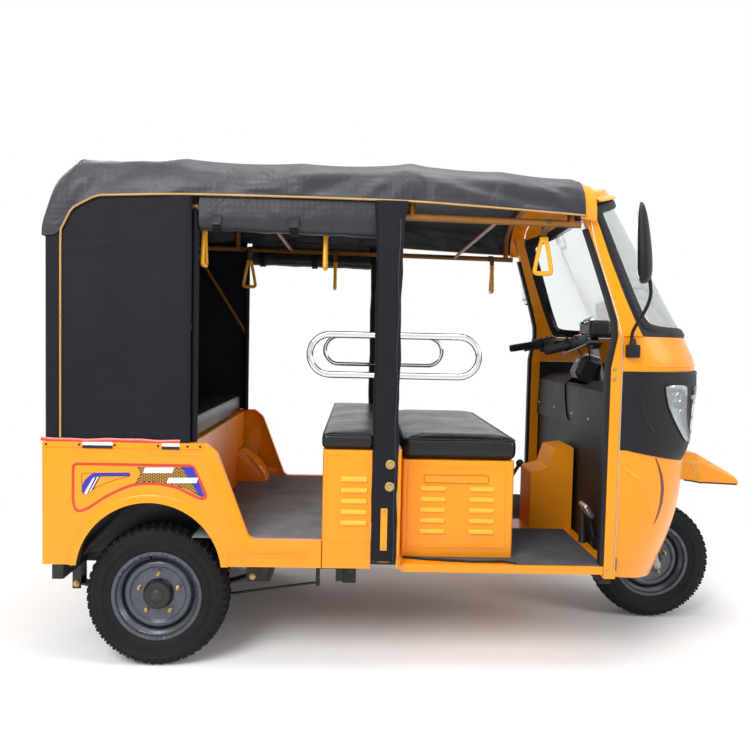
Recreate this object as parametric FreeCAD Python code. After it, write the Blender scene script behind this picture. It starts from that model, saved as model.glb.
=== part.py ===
import FreeCAD, Part
import math
import os

# Three-wheeled passenger rickshaw with a fabric canopy, built as its real pieces.
# Frame: +X forward, +Y to the vehicle's left, +Z up, floor at Z = 0, millimetres.
# X = 0 is halfway between the rear panel and the tip of the front mudguard.

V = FreeCAD.Vector

# ---- wheels and axles -----------------------------------------------------------
REAR_AXLE_X = -1001.0
FRONT_AXLE_X = 1027.0
TYRE_R = 258.0
TYRE_HALF_W = 56.0
RIM_R = 163.0
REAR_WHEEL_Y = 524.0
AXLE_Z = TYRE_R
HUB_BORE_R = 15.0
DRUM_R = 100.0
NUT_R = 8.0
NUT_CIRCLE_R = 74.0
RUNNING = 0.3
# further than any cutter has to go
REACH = 1500.0

# ---- tub ------------------------------------------------------------------------
BODY_REAR_X = -1388.0
BODY_HALF = 625.0
SHEET = 2.5
SILL_BOTTOM_Z = 388.0
SILL_TOP_Z = 484.0
TUB_TOP_Z = 826.0
TUB_FRONT_X = -800.0
SILL_REAR_X = -650.0
SILL_FRONT_X = -406.0
FLANGE_DEPTH = 30.0
ARCH_R = 256.0
ARCH_X = REAR_AXLE_X - 12.0
ARCH_Z = AXLE_Z + 100.0
ARCH_LIP = 30.0
ARCH_LIP_OUT = 8.0
BEAD_INSET = 36.0
BEAD_W = 8.0
BEAD_OUT = 2.0
HOUSE_GAP = 30.0
HOUSE_HALF = 430.0
LAMP_Z = (520.0, 640.0)
LAMP_Y = (430.0, 570.0)
PLATE_HOLES = 150.0
PLATE_Z = 560.0

# ---- chassis and floors ---------------------------------------------------------
RAIL_Y = 320.0
RAIL_W = 40.0
RAIL_TOP_Z = 372.0
RAIL_H = 60.0
RAIL_REAR_X = -1370.0
RAIL_FRONT_X = 660.0
REAR_FLOOR_Z = 474.0
FRONT_FLOOR_Z = 396.0
FLOOR_SHEET = 3.0
MAT_T = 4.0
RISER_X = -880.0
RISER_TOP_Z = TUB_TOP_Z - 10 + SHEET
FRONT_FLOOR_REAR_X = -118.0
FRONT_FLOOR_FRONT_X = 660.0
FLOOR_IN = 4.0
MAT_IN = 8.0
BEARER_IN = 40.0
BENCH_IN = 65.0
LIP_BOTTOM_Z = 370.0
SPRING_Y = 395.0
SPRING_W = 50.0
SPRING_LEAF = 8.0
SPRING_REAR_X = -1345.0
SPRING_REAR_Z = 250.0
SPRING_FRONT_X = -676.0
SPRING_FRONT_Z = 286.0
AXLE_TUBE_R = 34.0
PLATE_T = 5.0
STAY_R = 16.0
HEAD_ARM = 170.0
HEAD_ARM_R = 22.0
STAY_UP = 500.0
JACK_X = 200.0
JACK_PAD_T = 6.0
TOW_HOLE_R = 12.5
TOW_PLATE_T = 8.0

# ---- seats ----------------------------------------------------------------------
REAR_BOX_X = (-405.0, -125.0)
REAR_BOX_TOP_Z = 812.0
FRONT_BOX_X = (-116.0, 300.0)
FRONT_BOX_HALF = 520.0
FRONT_BOX_TOP_Z = 764.0
SEAT_GAP = 0.3
REAR_PAD_T = 64.0
FRONT_PAD_T = 90.0
LOWER_BOX_Z = 388.0
LOUVRE_W = 92.0
LOUVRE_H = 15.0
LOUVRE_OUT = 7.0
BENCH_T = 62.0
ENGINE_X = (-60.0, 250.0)
ENGINE_HALF = 150.0
ENGINE_Z = (270.0, 610.0)

# ---- canopy ---------------------------------------------------------------------
TUBE_R = 12.5
ROOF_IN = 3.0
ROOF_HALF = BODY_HALF - ROOF_IN
ROOF_T = 3.0
CANOPY_FRONT_X = 560.0
FRAME_IN = 33.0
FRAME_Y = BODY_HALF - FRAME_IN
FRAME_RAIL_Z = 1662.0
CURTAIN_T = 3.0
CURTAIN_FRONT_X = -880.0
PIPING_INSET = 64.0
B_PILLAR_X = (-230.0, -139.0)
PILLAR_IN = 25.0
PILLAR_OUT = 13.0
B_PILLAR_Y = (BODY_HALF - PILLAR_IN, BODY_HALF + PILLAR_OUT)
PILLAR_FOOT_Z = 410.0
PILLAR_TOP_Z = 1686.0
BRACKET_DROP = 30.0
SIDE_RAIL_IN = 53.0
SIDE_RAIL_Y = BODY_HALF - SIDE_RAIL_IN
SIDE_RAIL_R = 12.0
SIDE_RAIL_X = (-461.0, 146.0)
SIDE_RAIL_Z = (1076.0, 1220.0)
CLAMP_H = 20.0
REAR_WINDOW = (-300.0, 300.0, 1180.0, 1450.0)
ROLL_R = 36.0
HANDLE_X = (-850.0, -414.0, 384.0)
HANDLE_IN = 58.0
SHOULDER_IN = 150.0
ROOF_RAIL_REAR_X = -1285.0
CORNER_POST_X = -1343.0
CORNER_BEND_Z = 1540.0
BRACE_FOOT_Z = 1216.0
BRACE_HEAD_X = -1150.0
BRACE_R = 8.0
PILLAR_POST_HALF = (20.0, 8.0)
CROSS_BAR_X = (-640.0, 200.0)

# ---- front body -----------------------------------------------------------------
POST_X = (618.0, 660.0)
COWL_IN = 21.0
COWL_HALF = BODY_HALF - COWL_IN
FRONT_FLOOR_HALF = COWL_HALF - FLOOR_IN
POST_DEPTH = 38.0
POST_Y1 = COWL_HALF
POST_Y0 = COWL_HALF - POST_DEPTH
COWL_T = 3.0
CORNER_R = 330.0
CORNER_TURN = 65.0
COWL_TOP_Z = 1236.0
MASK_TOP_Z = 1110.0
MASK_BOTTOM_Z = 762.0
MASK_SIDE_Z = 826.0
COWL_BOTTOM_Z = 318.0
COWL_SIDE_BOTTOM_Z = 356.0
SEAM = 0.3
SCREEN_TOP_Z = 1870.0
SCREEN_TOP_IN = 84.0
SCREEN_TOP_HALF = COWL_HALF - SCREEN_TOP_IN
SCREEN_TOP_NOSE_X = 699.0
HEADER_H = 36.0
ARCH_CROWN_Z = 1850.0
ARCH_SIDE_Z = 1752.0
GLASS_T = 5.0
GASKET_W = 28.0
GASKET_OUT = 4.0
WHEEL_WAY = 236.0
DASH_LOW_Z = 845.0
DASH_T = 4.0
BULKHEAD_X = 664.0
TUNNEL_X = (468.0, 650.0)
TUNNEL_HALF = 95.0
HEADER_REAR_Z = 1735.0
TRIM_BOTTOM_Z = 404.0
LAMP_TURN = 42.0
WHEEL_WAY_TOP = 700.0
MASK_REAR_X = 500.0

# ---- steering -------------------------------------------------------------------
STEER_TOP = V(752.0, 0.0, 1205.0)
AXLE_POINT = V(FRONT_AXLE_X, 0.0, AXLE_Z)
FORK_LEG_Y = 92.0
FORK_LEG_R = 19.0
FORK_TUBE_R = 15.0
HEAD_TUBE_R = 30.0
STEM_R = 15.0
BAR_R = 11.0
CLAMP_R = 20.0
GRIP_R = 17.0
LOWER_CROWN = (335.0, 362.0)
UPPER_CROWN = (590.0, 612.0)
COLUMN_WAY_R = 150.0
PEDAL_Y = -380.0
MIRROR_BASE_Z = 1160.0


# ---- helpers --------------------------------------------------------------------
def box(x0, x1, y0, y1, z0, z1):
    return Part.makeBox(x1 - x0, y1 - y0, z1 - z0, V(x0, y0, z0))


def rod(start, end, radius):
    way = end - start
    return Part.makeCylinder(radius, way.Length, start, way)


def fuse(shapes):
    if len(shapes) == 1:
        return shapes[0]
    return shapes[0].multiFuse(shapes[1:]).removeSplitter()


def mirrored(shape):
    return shape.mirror(V(0, 0, 0), V(0, 1, 0))


def both_sides(shape):
    return Part.makeCompound([shape, mirrored(shape)])


def rounded_path(points, closed):
    """Wire through the corners (vector, radius), each corner an arc of its radius."""
    count = len(points)
    starts = []
    ends = []
    mids = []
    for i, (corner, radius) in enumerate(points):
        at_end = not closed and i in (0, count - 1)
        if radius <= 0 or at_end:
            starts.append(corner)
            ends.append(corner)
            mids.append(None)
            continue
        back = (points[i - 1][0] - corner).normalize()
        ahead = (points[(i + 1) % count][0] - corner).normalize()
        half = back.getAngle(ahead) / 2
        reach = radius / math.tan(half)
        bisector = (back + ahead).normalize()
        starts.append(corner + back * reach)
        ends.append(corner + ahead * reach)
        mids.append(corner + bisector * (radius / math.sin(half) - radius))
    edges = []
    for i in range(count):
        if mids[i] is not None:
            edges.append(Part.Arc(starts[i], mids[i], ends[i]).toShape())
        if i + 1 < count or closed:
            following = starts[(i + 1) % count]
            if (following - ends[i]).Length > 1e-4:
                edges.append(Part.LineSegment(ends[i], following).toShape())
    return Part.Wire(edges)


def side_wire(points, y):
    """Closed outline of (x, z, radius) corners in the plane at y."""
    return rounded_path([(V(x, y, z), r) for x, z, r in points], True)


def side_prism(points, y0, y1):
    return Part.Face(side_wire(points, y0)).extrude(V(0, y1 - y0, 0))


def inset_prism(points, inset, y0, y1):
    """The outline's prism with its edge moved inwards."""
    wire = side_wire(points, y0)
    inner = wire.makeOffset2D(-inset)
    if Part.Face(inner).Area > Part.Face(wire).Area:
        inner = wire.makeOffset2D(inset)
    return Part.Face(inner).extrude(V(0, y1 - y0, 0))


def tube(points, radius, bend):
    """Round bar through the points, every inner corner bent to the same radius."""
    path = rounded_path([(p, bend) for p in points], False)
    first = points[1] - points[0]
    ring = Part.Wire(Part.Circle(points[0], first, radius).toShape())
    return path.makePipeShell([ring], True, False)


def strip(points, thickness, y0, y1):
    """Bent sheet whose section is the (x, z) line thickened to its right-hand side."""
    flat = [V(x, 0, z) for x, z in points]
    moved = []
    for i, point in enumerate(flat):
        ways = []
        if i > 0:
            ways.append((point - flat[i - 1]).normalize())
        if i + 1 < len(flat):
            ways.append((flat[i + 1] - point).normalize())
        normals = [V(w.z, 0, -w.x) for w in ways]
        total = normals[0]
        if len(normals) == 2:
            total = (normals[0] + normals[1]).normalize()
        moved.append(point + total * (thickness / total.dot(normals[0])))
    face = Part.Face(Part.makePolygon(flat + moved[::-1] + [flat[0]]))
    solid = face.extrude(V(0, y1 - y0, 0))
    solid.translate(V(0, y0, 0))
    return solid


def box_loft(sections):
    """Straight-sided post through rectangles (z, x0, x1, y0, y1)."""
    wires = []
    for z, x0, x1, y0, y1 in sections:
        corners = [V(x0, y0, z), V(x1, y0, z), V(x1, y1, z), V(x0, y1, z), V(x0, y0, z)]
        wires.append(Part.makePolygon(corners))
    return Part.makeLoft(wires, True, True)


def rounded_box(x0, x1, y0, y1, z0, z1, radius):
    solid = box(x0, x1, y0, y1, z0, z1)
    return solid.makeFillet(radius, solid.Edges)


def on_steering(distance, forward=0.0, side=0.0):
    """Point measured up the steering axis from the axle, then forward and sideways."""
    up = (STEER_TOP - AXLE_POINT).normalize()
    ahead = V(up.z, 0, -up.x)
    return AXLE_POINT + up * distance + ahead * forward + V(0, side, 0)


# ---- front body envelope --------------------------------------------------------
def plan_wire(z, nose_x, half, corner_r, back_x):
    """Plan outline at z: straight sides, round corners and a gently curved nose."""
    turn = math.radians(CORNER_TURN)
    nose_r = (half - corner_r + corner_r * math.cos(turn)) / math.cos(turn)
    start_x = nose_x - (nose_r * (1 - math.sin(turn)) + corner_r * math.sin(turn))

    def corner(angle, side):
        y = half - corner_r + corner_r * math.cos(angle)
        return V(start_x + corner_r * math.sin(angle), side * y, z)

    right = [corner(a, -1) for a in (0, turn / 2, turn)]
    left = [corner(a, 1) for a in (turn, turn / 2, 0)]
    back_right = V(back_x, -half, z)
    back_left = V(back_x, half, z)
    edges = [
        Part.LineSegment(back_right, right[0]).toShape(),
        Part.Arc(*right).toShape(),
        Part.Arc(right[2], V(nose_x, 0, z), left[0]).toShape(),
        Part.Arc(*left).toShape(),
        Part.LineSegment(left[2], back_left).toShape(),
        Part.LineSegment(back_left, back_right).toShape(),
    ]
    return Part.Wire(edges)


def plan_loft(sections, offset, back_x, ruled=False):
    """Solid through plan sections (z, nose_x, half width), grown by the offset."""
    wires = []
    for z, nose_x, half in sections:
        wires.append(plan_wire(z, nose_x + offset, half + offset, CORNER_R + offset, back_x))
    return Part.makeLoft(wires, True, ruled)


def plan_shell(sections, outside, inside, back_x, ruled=False):
    """Open-backed skin between the sections grown by outside and by inside."""
    outer = plan_loft(sections, outside, DEEP_X, ruled)
    inner = plan_loft(sections, inside, DEEP_X - 50, ruled)
    return outer.cut(inner).common(box(back_x, REACH, -REACH, REACH, 0, 2 * REACH))


# (z, nose_x, half width) of each front piece, from the top down
UPPER_SECTIONS = (
    (COWL_TOP_Z, 1056.0, COWL_HALF - 6),
    (1204.0, 1070.0, COWL_HALF - 2),
    (1165.0, 1090.0, COWL_HALF),
    (MASK_TOP_Z + SEAM, 1099.0, COWL_HALF),
)
MASK_SECTIONS = (
    (MASK_TOP_Z, 1107.0, COWL_HALF + 3),
    (1000.0, 1105.0, COWL_HALF + 3),
    (880.0, 1096.0, COWL_HALF + 2),
    (810.0, 1085.0, COWL_HALF + 1),
    (MASK_BOTTOM_Z, 1058.0, COWL_HALF),
)
LOWER_SECTIONS = (
    (MASK_SIDE_Z + 34, 1078.0, COWL_HALF),
    (700.0, 1066.0, COWL_HALF - 1),
    (570.0, 1050.0, COWL_HALF - 4),
    (440.0, 1012.0, COWL_HALF - 12),
    (COWL_BOTTOM_Z, 968.0, COWL_HALF - 30),
)
SCREEN_SECTIONS = (
    (COWL_TOP_Z - 4, 1056.0, COWL_HALF - 6),
    (SCREEN_TOP_Z, SCREEN_TOP_NOSE_X, SCREEN_TOP_HALF),
)
# side view of the windscreen opening's rear edge, from the roof down to the cowl
SCREEN_EDGE = ((548.0, 1900.0), (549.0, 1700.0), (608.0, 1521.0), (664.0, 1374.0), (700.0, 1290.0), (728.0, 1238.0))
COWL_BACK_X = POST_X[1] + SEAM
SCREEN_BACK_X = 300.0
DEEP_X = 200.0


# ---- chassis --------------------------------------------------------------------
def chassis_frame():
    low = RAIL_TOP_Z - RAIL_H
    outer = RAIL_Y + RAIL_W / 2
    pieces = []
    for side in (-1, 1):
        y = side * RAIL_Y
        pieces.append(box(RAIL_REAR_X, RAIL_FRONT_X, y - RAIL_W / 2, y + RAIL_W / 2, low, RAIL_TOP_Z))
        # paired ears that carry the spring's front eye
        for edge in (-1, 1):
            y_ear = side * SPRING_Y + edge * (SPRING_W / 2 + 1 + PLATE_T / 2)
            pieces.append(box(SPRING_FRONT_X - 24, SPRING_FRONT_X + 24, y_ear - PLATE_T / 2, y_ear + PLATE_T / 2,
                              SPRING_FRONT_Z - 20, low + 14))
        reach = SPRING_Y + SPRING_W / 2 + 1 + PLATE_T
        y_in, y_out = sorted((side * outer, side * reach))
        pieces.append(box(SPRING_FRONT_X - 24, SPRING_FRONT_X + 24, y_in - 1, y_out, low + 14, low + 34))
        pieces.append(box(SPRING_REAR_X - 20, SPRING_REAR_X + 20, y_in - 1, y_out, low + 14, low + 34))
    # tow plate with its hole, under the rear cross member
    plate = box(RAIL_REAR_X + 5, RAIL_REAR_X + 95, -TOW_PLATE_T / 2, TOW_PLATE_T / 2, low - 50, low + 14)
    eye = V(RAIL_REAR_X + 70, -10, low - 24)
    pieces.append(plate.cut(Part.makeCylinder(TOW_HOLE_R, 20, eye, V(0, 1, 0))))
    for side in (-1, 1):
        y = side * RAIL_Y
        pieces.append(box(JACK_X - 50, JACK_X + 50, y - RAIL_W / 2, y + RAIL_W / 2, low - JACK_PAD_T, low + 1))
    # cross members: x, width, half length
    for x, width, half in ((RAIL_REAR_X, 40.0, BODY_HALF - BEARER_IN), (-640.0, 50.0, BODY_HALF - BEARER_IN),
                           (-330.0, 50.0, BODY_HALF - BEARER_IN), (RAIL_FRONT_X - 40, 40.0, POST_Y0 - 6)):
        pieces.append(box(x, x + width, -half, half, low + 10, RAIL_TOP_Z))
    return fuse(pieces)


def floor_bearers():
    """Folded sheet bearers that stand on the rails and carry the two floors."""
    outer = RAIL_Y + RAIL_W / 2
    bearers = []
    for x in (-870.0, -700.0, -450.0):
        bearers.append(box(x, x + 40, -outer, outer, RAIL_TOP_Z + SEAT_GAP, REAR_FLOOR_Z - SEAT_GAP))
    for x in (-110.0, 330.0, 560.0):
        bearers.append(box(x, x + 40, -outer, outer, RAIL_TOP_Z + SEAT_GAP, FRONT_FLOOR_Z - SEAT_GAP))
    return Part.makeCompound(bearers)


def head_frame():
    """Steering head tube on an arm that the two sloping stays carry."""
    pieces = [rod(on_steering(LOWER_CROWN[1] + 2), on_steering(UPPER_CROWN[0] - 2), HEAD_TUBE_R)]
    pieces.append(rod(on_steering(STAY_UP), on_steering(STAY_UP, -HEAD_ARM), HEAD_ARM_R))
    pieces.append(Part.makeSphere(HEAD_ARM_R, on_steering(STAY_UP, -HEAD_ARM)))
    frame = fuse(pieces + head_stays(STAY_R))
    # the stays' feet stand on the rails and the front cross member
    frame = frame.cut(box(0, REACH, -REACH, REACH, 0, RAIL_TOP_Z + SEAT_GAP))
    return frame.cut(rod(on_steering(LOWER_CROWN[1]), on_steering(UPPER_CROWN[0]), STEM_R + RUNNING))


def head_stays(radius):
    """Sloping bars from the chassis rails' ends up to the head tube."""
    foot = RAIL_TOP_Z - 20
    top = on_steering(STAY_UP, -HEAD_ARM)
    return [rod(top, V(RAIL_FRONT_X - 30, side * RAIL_Y, foot), radius) for side in (-1, 1)]


def engine():
    block = box(ENGINE_X[0], ENGINE_X[1], -ENGINE_HALF, ENGINE_HALF, ENGINE_Z[0], ENGINE_Z[1])
    bar = box(ENGINE_X[1] - 40, ENGINE_X[1], -RAIL_Y + RAIL_W / 2, RAIL_Y - RAIL_W / 2, RAIL_TOP_Z - 45, RAIL_TOP_Z - 15)
    return block.fuse(bar).removeSplitter()


def leaf_springs():
    axle_seat = AXLE_Z - AXLE_TUBE_R - SEAT_GAP
    leaves = []
    # each shorter leaf lies under the one above it
    for number, share in enumerate((1.0, 0.72, 0.46)):
        drop = number * SPRING_LEAF
        ends = []
        for x, z in ((SPRING_REAR_X, SPRING_REAR_Z), (SPRING_FRONT_X, SPRING_FRONT_Z)):
            part = REAR_AXLE_X + (x - REAR_AXLE_X) * share
            rise = (z - (axle_seat - SPRING_LEAF / 2)) * share * share
            ends.append(V(part, 0, axle_seat - SPRING_LEAF / 2 + rise - drop))
        middle = V(REAR_AXLE_X, 0, axle_seat - SPRING_LEAF / 2 - drop)
        line = Part.Arc(ends[0], middle, ends[1]).toShape().Curve
        upper = Part.Circle(line.Center, line.Axis, line.Radius - SPRING_LEAF / 2)
        lower = Part.Circle(line.Center, line.Axis, line.Radius + SPRING_LEAF / 2)
        disc = Part.Face(Part.Wire(lower.toShape())).cut(Part.Face(Part.Wire(upper.toShape())))
        band = disc.extrude(V(0, SPRING_W, 0))
        band.translate(V(0, SPRING_Y - SPRING_W / 2, 0))
        leaves.append(band.common(box(ends[0].x, ends[1].x, 0, 600, 0, 400)))
    eyes = []
    for x, z in ((SPRING_REAR_X, SPRING_REAR_Z), (SPRING_FRONT_X, SPRING_FRONT_Z)):
        eyes.append(Part.makeCylinder(16, SPRING_W, V(x, SPRING_Y - SPRING_W / 2, z), V(0, 1, 0)))
    # shackle plates up to the rail bracket behind, and the clamp under the axle
    shackles = []
    for edge in (-1, 1):
        y = SPRING_Y + edge * (SPRING_W / 2 + PLATE_T / 2)
        shackles.append(box(SPRING_REAR_X - 16, SPRING_REAR_X + 16, y - PLATE_T / 2, y + PLATE_T / 2,
                            SPRING_REAR_Z - 20, RAIL_TOP_Z - RAIL_H + 10 - SEAT_GAP))
    clamp = box(REAR_AXLE_X - 50, REAR_AXLE_X + 50, SPRING_Y - 28, SPRING_Y + 28, axle_seat - 38, axle_seat - 22)
    return both_sides(fuse(leaves + eyes + shackles + [clamp]))


def rear_axle():
    end = REAR_WHEEL_Y - TYRE_HALF_W - 28
    pieces = [Part.makeCylinder(AXLE_TUBE_R, 2 * end, V(REAR_AXLE_X, -end, AXLE_Z), V(0, 1, 0))]
    pieces.append(Part.makeSphere(98, V(REAR_AXLE_X, 0, AXLE_Z)))
    pieces.append(Part.makeCylinder(108, 24, V(REAR_AXLE_X, -12, AXLE_Z), V(0, 1, 0)))
    # pinion nose and propeller shaft, forward to the engine
    pieces.append(rod(V(REAR_AXLE_X, 0, AXLE_Z), V(REAR_AXLE_X + 150, 0, AXLE_Z + 12), 42))
    pieces.append(rod(V(REAR_AXLE_X + 140, 0, AXLE_Z + 12), V(ENGINE_X[0] - 2, 0, ENGINE_Z[0] + 30), 22))
    for side in (-1, 1):
        root = V(REAR_AXLE_X, side * (end - 16), AXLE_Z)
        pieces.append(Part.makeCylinder(DRUM_R + 4, 16, root, V(0, side, 0)))
        pieces.append(Part.makeCylinder(HUB_BORE_R, 100, root, V(0, side, 0)))
    return fuse(pieces)


def brake_rod():
    y = -300.0
    rail_low = RAIL_TOP_Z - RAIL_H
    bracket = box(-360, -290, y - 20, y + 20, 236, rail_low - SEAT_GAP)
    lever = box(-440, -424, y - 4, y + 4, 210, rail_low - 0.3)
    pivot = box(-440, -350, y - 8, y + 8, rail_low - 30, rail_low - 12)
    line = tube([V(-432, y, 224), V(-790, y, 172), V(REAR_AXLE_X + 60, y, AXLE_Z - 80)], 5, 60)
    arm = box(REAR_AXLE_X + 52, REAR_AXLE_X + 68, y - 4, y + 4, AXLE_Z - 90, AXLE_Z - 20)
    foot = box(REAR_AXLE_X + 20, REAR_AXLE_X + 68, y - 4, y + 4, AXLE_Z - 22, AXLE_Z)
    whole = fuse([bracket, lever, pivot, line, arm, foot])
    axle = Part.makeCylinder(AXLE_TUBE_R + RUNNING, 60, V(REAR_AXLE_X, y - 30, AXLE_Z), V(0, 1, 0))
    return whole.cut(axle)


# ---- tub ------------------------------------------------------------------------
# (x, z, corner radius) around one side panel
TUB_OUTLINE = (
    (BODY_REAR_X + 3, SILL_BOTTOM_Z, 0.0),
    (SILL_FRONT_X, SILL_BOTTOM_Z, 0.0),
    (SILL_FRONT_X, SILL_TOP_Z, 0.0),
    (SILL_REAR_X - 12, SILL_TOP_Z, 34.0),
    (TUB_FRONT_X + 22, TUB_TOP_Z - 36, 40.0),
    (TUB_FRONT_X - 20, TUB_TOP_Z, 30.0),
    (BODY_REAR_X + 3, TUB_TOP_Z, 0.0),
)


def side_panels():
    skin = side_prism(TUB_OUTLINE, BODY_HALF - FLANGE_DEPTH, BODY_HALF)
    skin = skin.cut(inset_prism(TUB_OUTLINE, SHEET, BODY_HALF - FLANGE_DEPTH - 5, BODY_HALF - SHEET))
    beads = inset_prism(TUB_OUTLINE, BEAD_INSET, BODY_HALF - 1, BODY_HALF + BEAD_OUT)
    beads = beads.cut(inset_prism(TUB_OUTLINE, BEAD_INSET + BEAD_W, BODY_HALF - 2, BODY_HALF + 5))
    beads = beads.cut(box(BODY_REAR_X - 10, ARCH_X, BODY_HALF - 5, BODY_HALF + 9, 300, 900))
    beads = beads.cut(box(SILL_FRONT_X - 50, SILL_FRONT_X + 10, BODY_HALF - 5, BODY_HALF + 9, 300, 900))
    centre = V(ARCH_X, BODY_HALF - FLANGE_DEPTH - 10, ARCH_Z)
    lip = Part.makeCylinder(ARCH_R + ARCH_LIP, FLANGE_DEPTH + 10 + ARCH_LIP_OUT, centre, V(0, 1, 0))
    lip = lip.makeChamfer(ARCH_LIP_OUT - 1, [lip.Edges[0]])
    face = box(ARCH_X - 400, ARCH_X + 400, BODY_HALF - SHEET, BODY_HALF + 20, SILL_BOTTOM_Z, 800)
    lip = lip.common(face)
    wall = Part.makeCylinder(ARCH_R + SHEET, FLANGE_DEPTH, V(ARCH_X, BODY_HALF - FLANGE_DEPTH, ARCH_Z), V(0, 1, 0))
    wall = wall.common(box(ARCH_X - 400, ARCH_X + 400, 0, BODY_HALF + 20, SILL_BOTTOM_Z, 800))
    panel = fuse([skin, beads, lip, wall])
    hole = Part.makeCylinder(ARCH_R, 200, V(ARCH_X, BODY_HALF - 100, ARCH_Z), V(0, 1, 0))
    below = box(ARCH_X - ARCH_R, ARCH_X + ARCH_R, BODY_HALF - 100, BODY_HALF + 100, 300, ARCH_Z)
    panel = panel.cut(hole).cut(below)
    return both_sides(panel)




def rear_panel():
    edge = BODY_HALF - SHEET - SEAM
    wall = box(BODY_REAR_X, BODY_REAR_X + SHEET, -edge, edge, SILL_BOTTOM_Z, TUB_TOP_Z)
    pressing = box(BODY_REAR_X - 4, BODY_REAR_X, -330, 330, 470, 750)
    pressing = pressing.makeChamfer(3, [e for e in pressing.Edges if abs(e.CenterOfMass.x - BODY_REAR_X + 4) < 0.1])
    flange = box(BODY_REAR_X + SHEET, BODY_REAR_X + FLANGE_DEPTH, -edge + FLANGE_DEPTH, edge - FLANGE_DEPTH,
                 TUB_TOP_Z - SHEET, TUB_TOP_Z)
    foot = box(BODY_REAR_X + SHEET, BODY_REAR_X + FLANGE_DEPTH, -edge + FLANGE_DEPTH, edge - FLANGE_DEPTH,
               SILL_BOTTOM_Z, SILL_BOTTOM_Z + SHEET)
    panel = fuse([wall, pressing, flange, foot])
    for side in (-1, 1):
        panel = panel.cut(plate_bolt_way(side))
    return panel


def tail_lamps():
    lamp = box(BODY_REAR_X - 8, BODY_REAR_X - 0.3, LAMP_Y[0], LAMP_Y[1], LAMP_Z[0], LAMP_Z[1])
    front = [e for e in lamp.Edges if e.CenterOfMass.x < BODY_REAR_X - 7.9]
    return both_sides(lamp.makeFillet(5, front))


PLATE_HOLE_R = 3.5


def plate_bolt_way(side):
    at = V(BODY_REAR_X - 20, side * PLATE_HOLES / 2, PLATE_Z + 50)
    return Part.makeCylinder(PLATE_HOLE_R, 40, at, V(1, 0, 0))


def plate_bracket():
    x1 = BODY_REAR_X - 4.3
    body = box(x1 - 3.5, x1, -130, 130, PLATE_Z - 75, PLATE_Z + 75)
    for side in (-1, 1):
        body = body.cut(plate_bolt_way(side))
    return body


def wheel_houses():
    radius = ARCH_R + HOUSE_GAP
    edge = BODY_HALF - FLANGE_DEPTH - 1
    base = SILL_BOTTOM_Z - 18
    outline = (
        (ARCH_X - radius, base, 0.0),
        (ARCH_X + radius, base, 0.0),
        (ARCH_X + radius, ARCH_Z + radius, radius - 60),
        (ARCH_X - radius, ARCH_Z + radius, radius - 60),
    )
    shell = side_prism(outline, HOUSE_HALF, edge)
    hollow = inset_prism(outline, SHEET, HOUSE_HALF + SHEET, edge + 5)
    shell = shell.cut(hollow)
    shell = shell.cut(box(ARCH_X - radius + SHEET, ARCH_X + radius - SHEET, HOUSE_HALF + SHEET, edge, base - 5, base + 10))
    return both_sides(shell)


def floor_pan():
    outer = BODY_HALF - FLANGE_DEPTH - 1
    rear = box(RISER_X, REAR_BOX_X[0] - SEAM, -outer, outer, REAR_FLOOR_Z, REAR_FLOOR_Z + FLOOR_SHEET)
    reach = ARCH_X + ARCH_R + HOUSE_GAP + SEAM
    for side in (-1, 1):
        y0, y1 = sorted((side * (HOUSE_HALF - SEAM), side * REACH))
        rear = rear.cut(box(RISER_X - 10, reach, y0, y1, REAR_FLOOR_Z - 10, REAR_FLOOR_Z + 20))
    half = FRONT_FLOOR_HALF
    front = box(FRONT_FLOOR_REAR_X, FRONT_FLOOR_FRONT_X, -half, half, LIP_BOTTOM_Z, FRONT_FLOOR_Z + FLOOR_SHEET)
    front = front.cut(box(FRONT_FLOOR_REAR_X - 5, FRONT_FLOOR_FRONT_X + 5, -half + FLOOR_SHEET, half - FLOOR_SHEET,
                          LIP_BOTTOM_Z - 5, FRONT_FLOOR_Z))
    front = front.cut(box(ENGINE_X[0] - 20, ENGINE_X[1] + 20, -ENGINE_HALF - 20, ENGINE_HALF + 20, 300, 500))
    for side in (-1, 1):
        y0, y1 = sorted((side * (POST_Y0 - 2), side * REACH))
        front = front.cut(box(POST_X[0] - 2, FRONT_FLOOR_FRONT_X + 5, y0, y1, 300, 500))
    for stay in head_stays(STAY_R + 1):
        front = front.cut(stay)
    return Part.makeCompound([rear, front])


def floor_mats():
    half = BODY_HALF - FLANGE_DEPTH - MAT_IN
    rear = box(ARCH_X + ARCH_R + HOUSE_GAP + 5, REAR_BOX_X[0] - 3, -half, half,
               REAR_FLOOR_Z + FLOOR_SHEET, REAR_FLOOR_Z + FLOOR_SHEET + MAT_T)
    front = box(FRONT_BOX_X[1] + 2, POST_X[0] - 2, -FRONT_FLOOR_HALF + MAT_IN, FRONT_FLOOR_HALF - MAT_IN,
                FRONT_FLOOR_Z + FLOOR_SHEET, FRONT_FLOOR_Z + FLOOR_SHEET + MAT_T)
    front = front.cut(box(300, TUNNEL_X[1] + 100, -TUNNEL_HALF - 1, TUNNEL_HALF + 1, 300, 500))
    return Part.makeCompound([rear, front])




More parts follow.
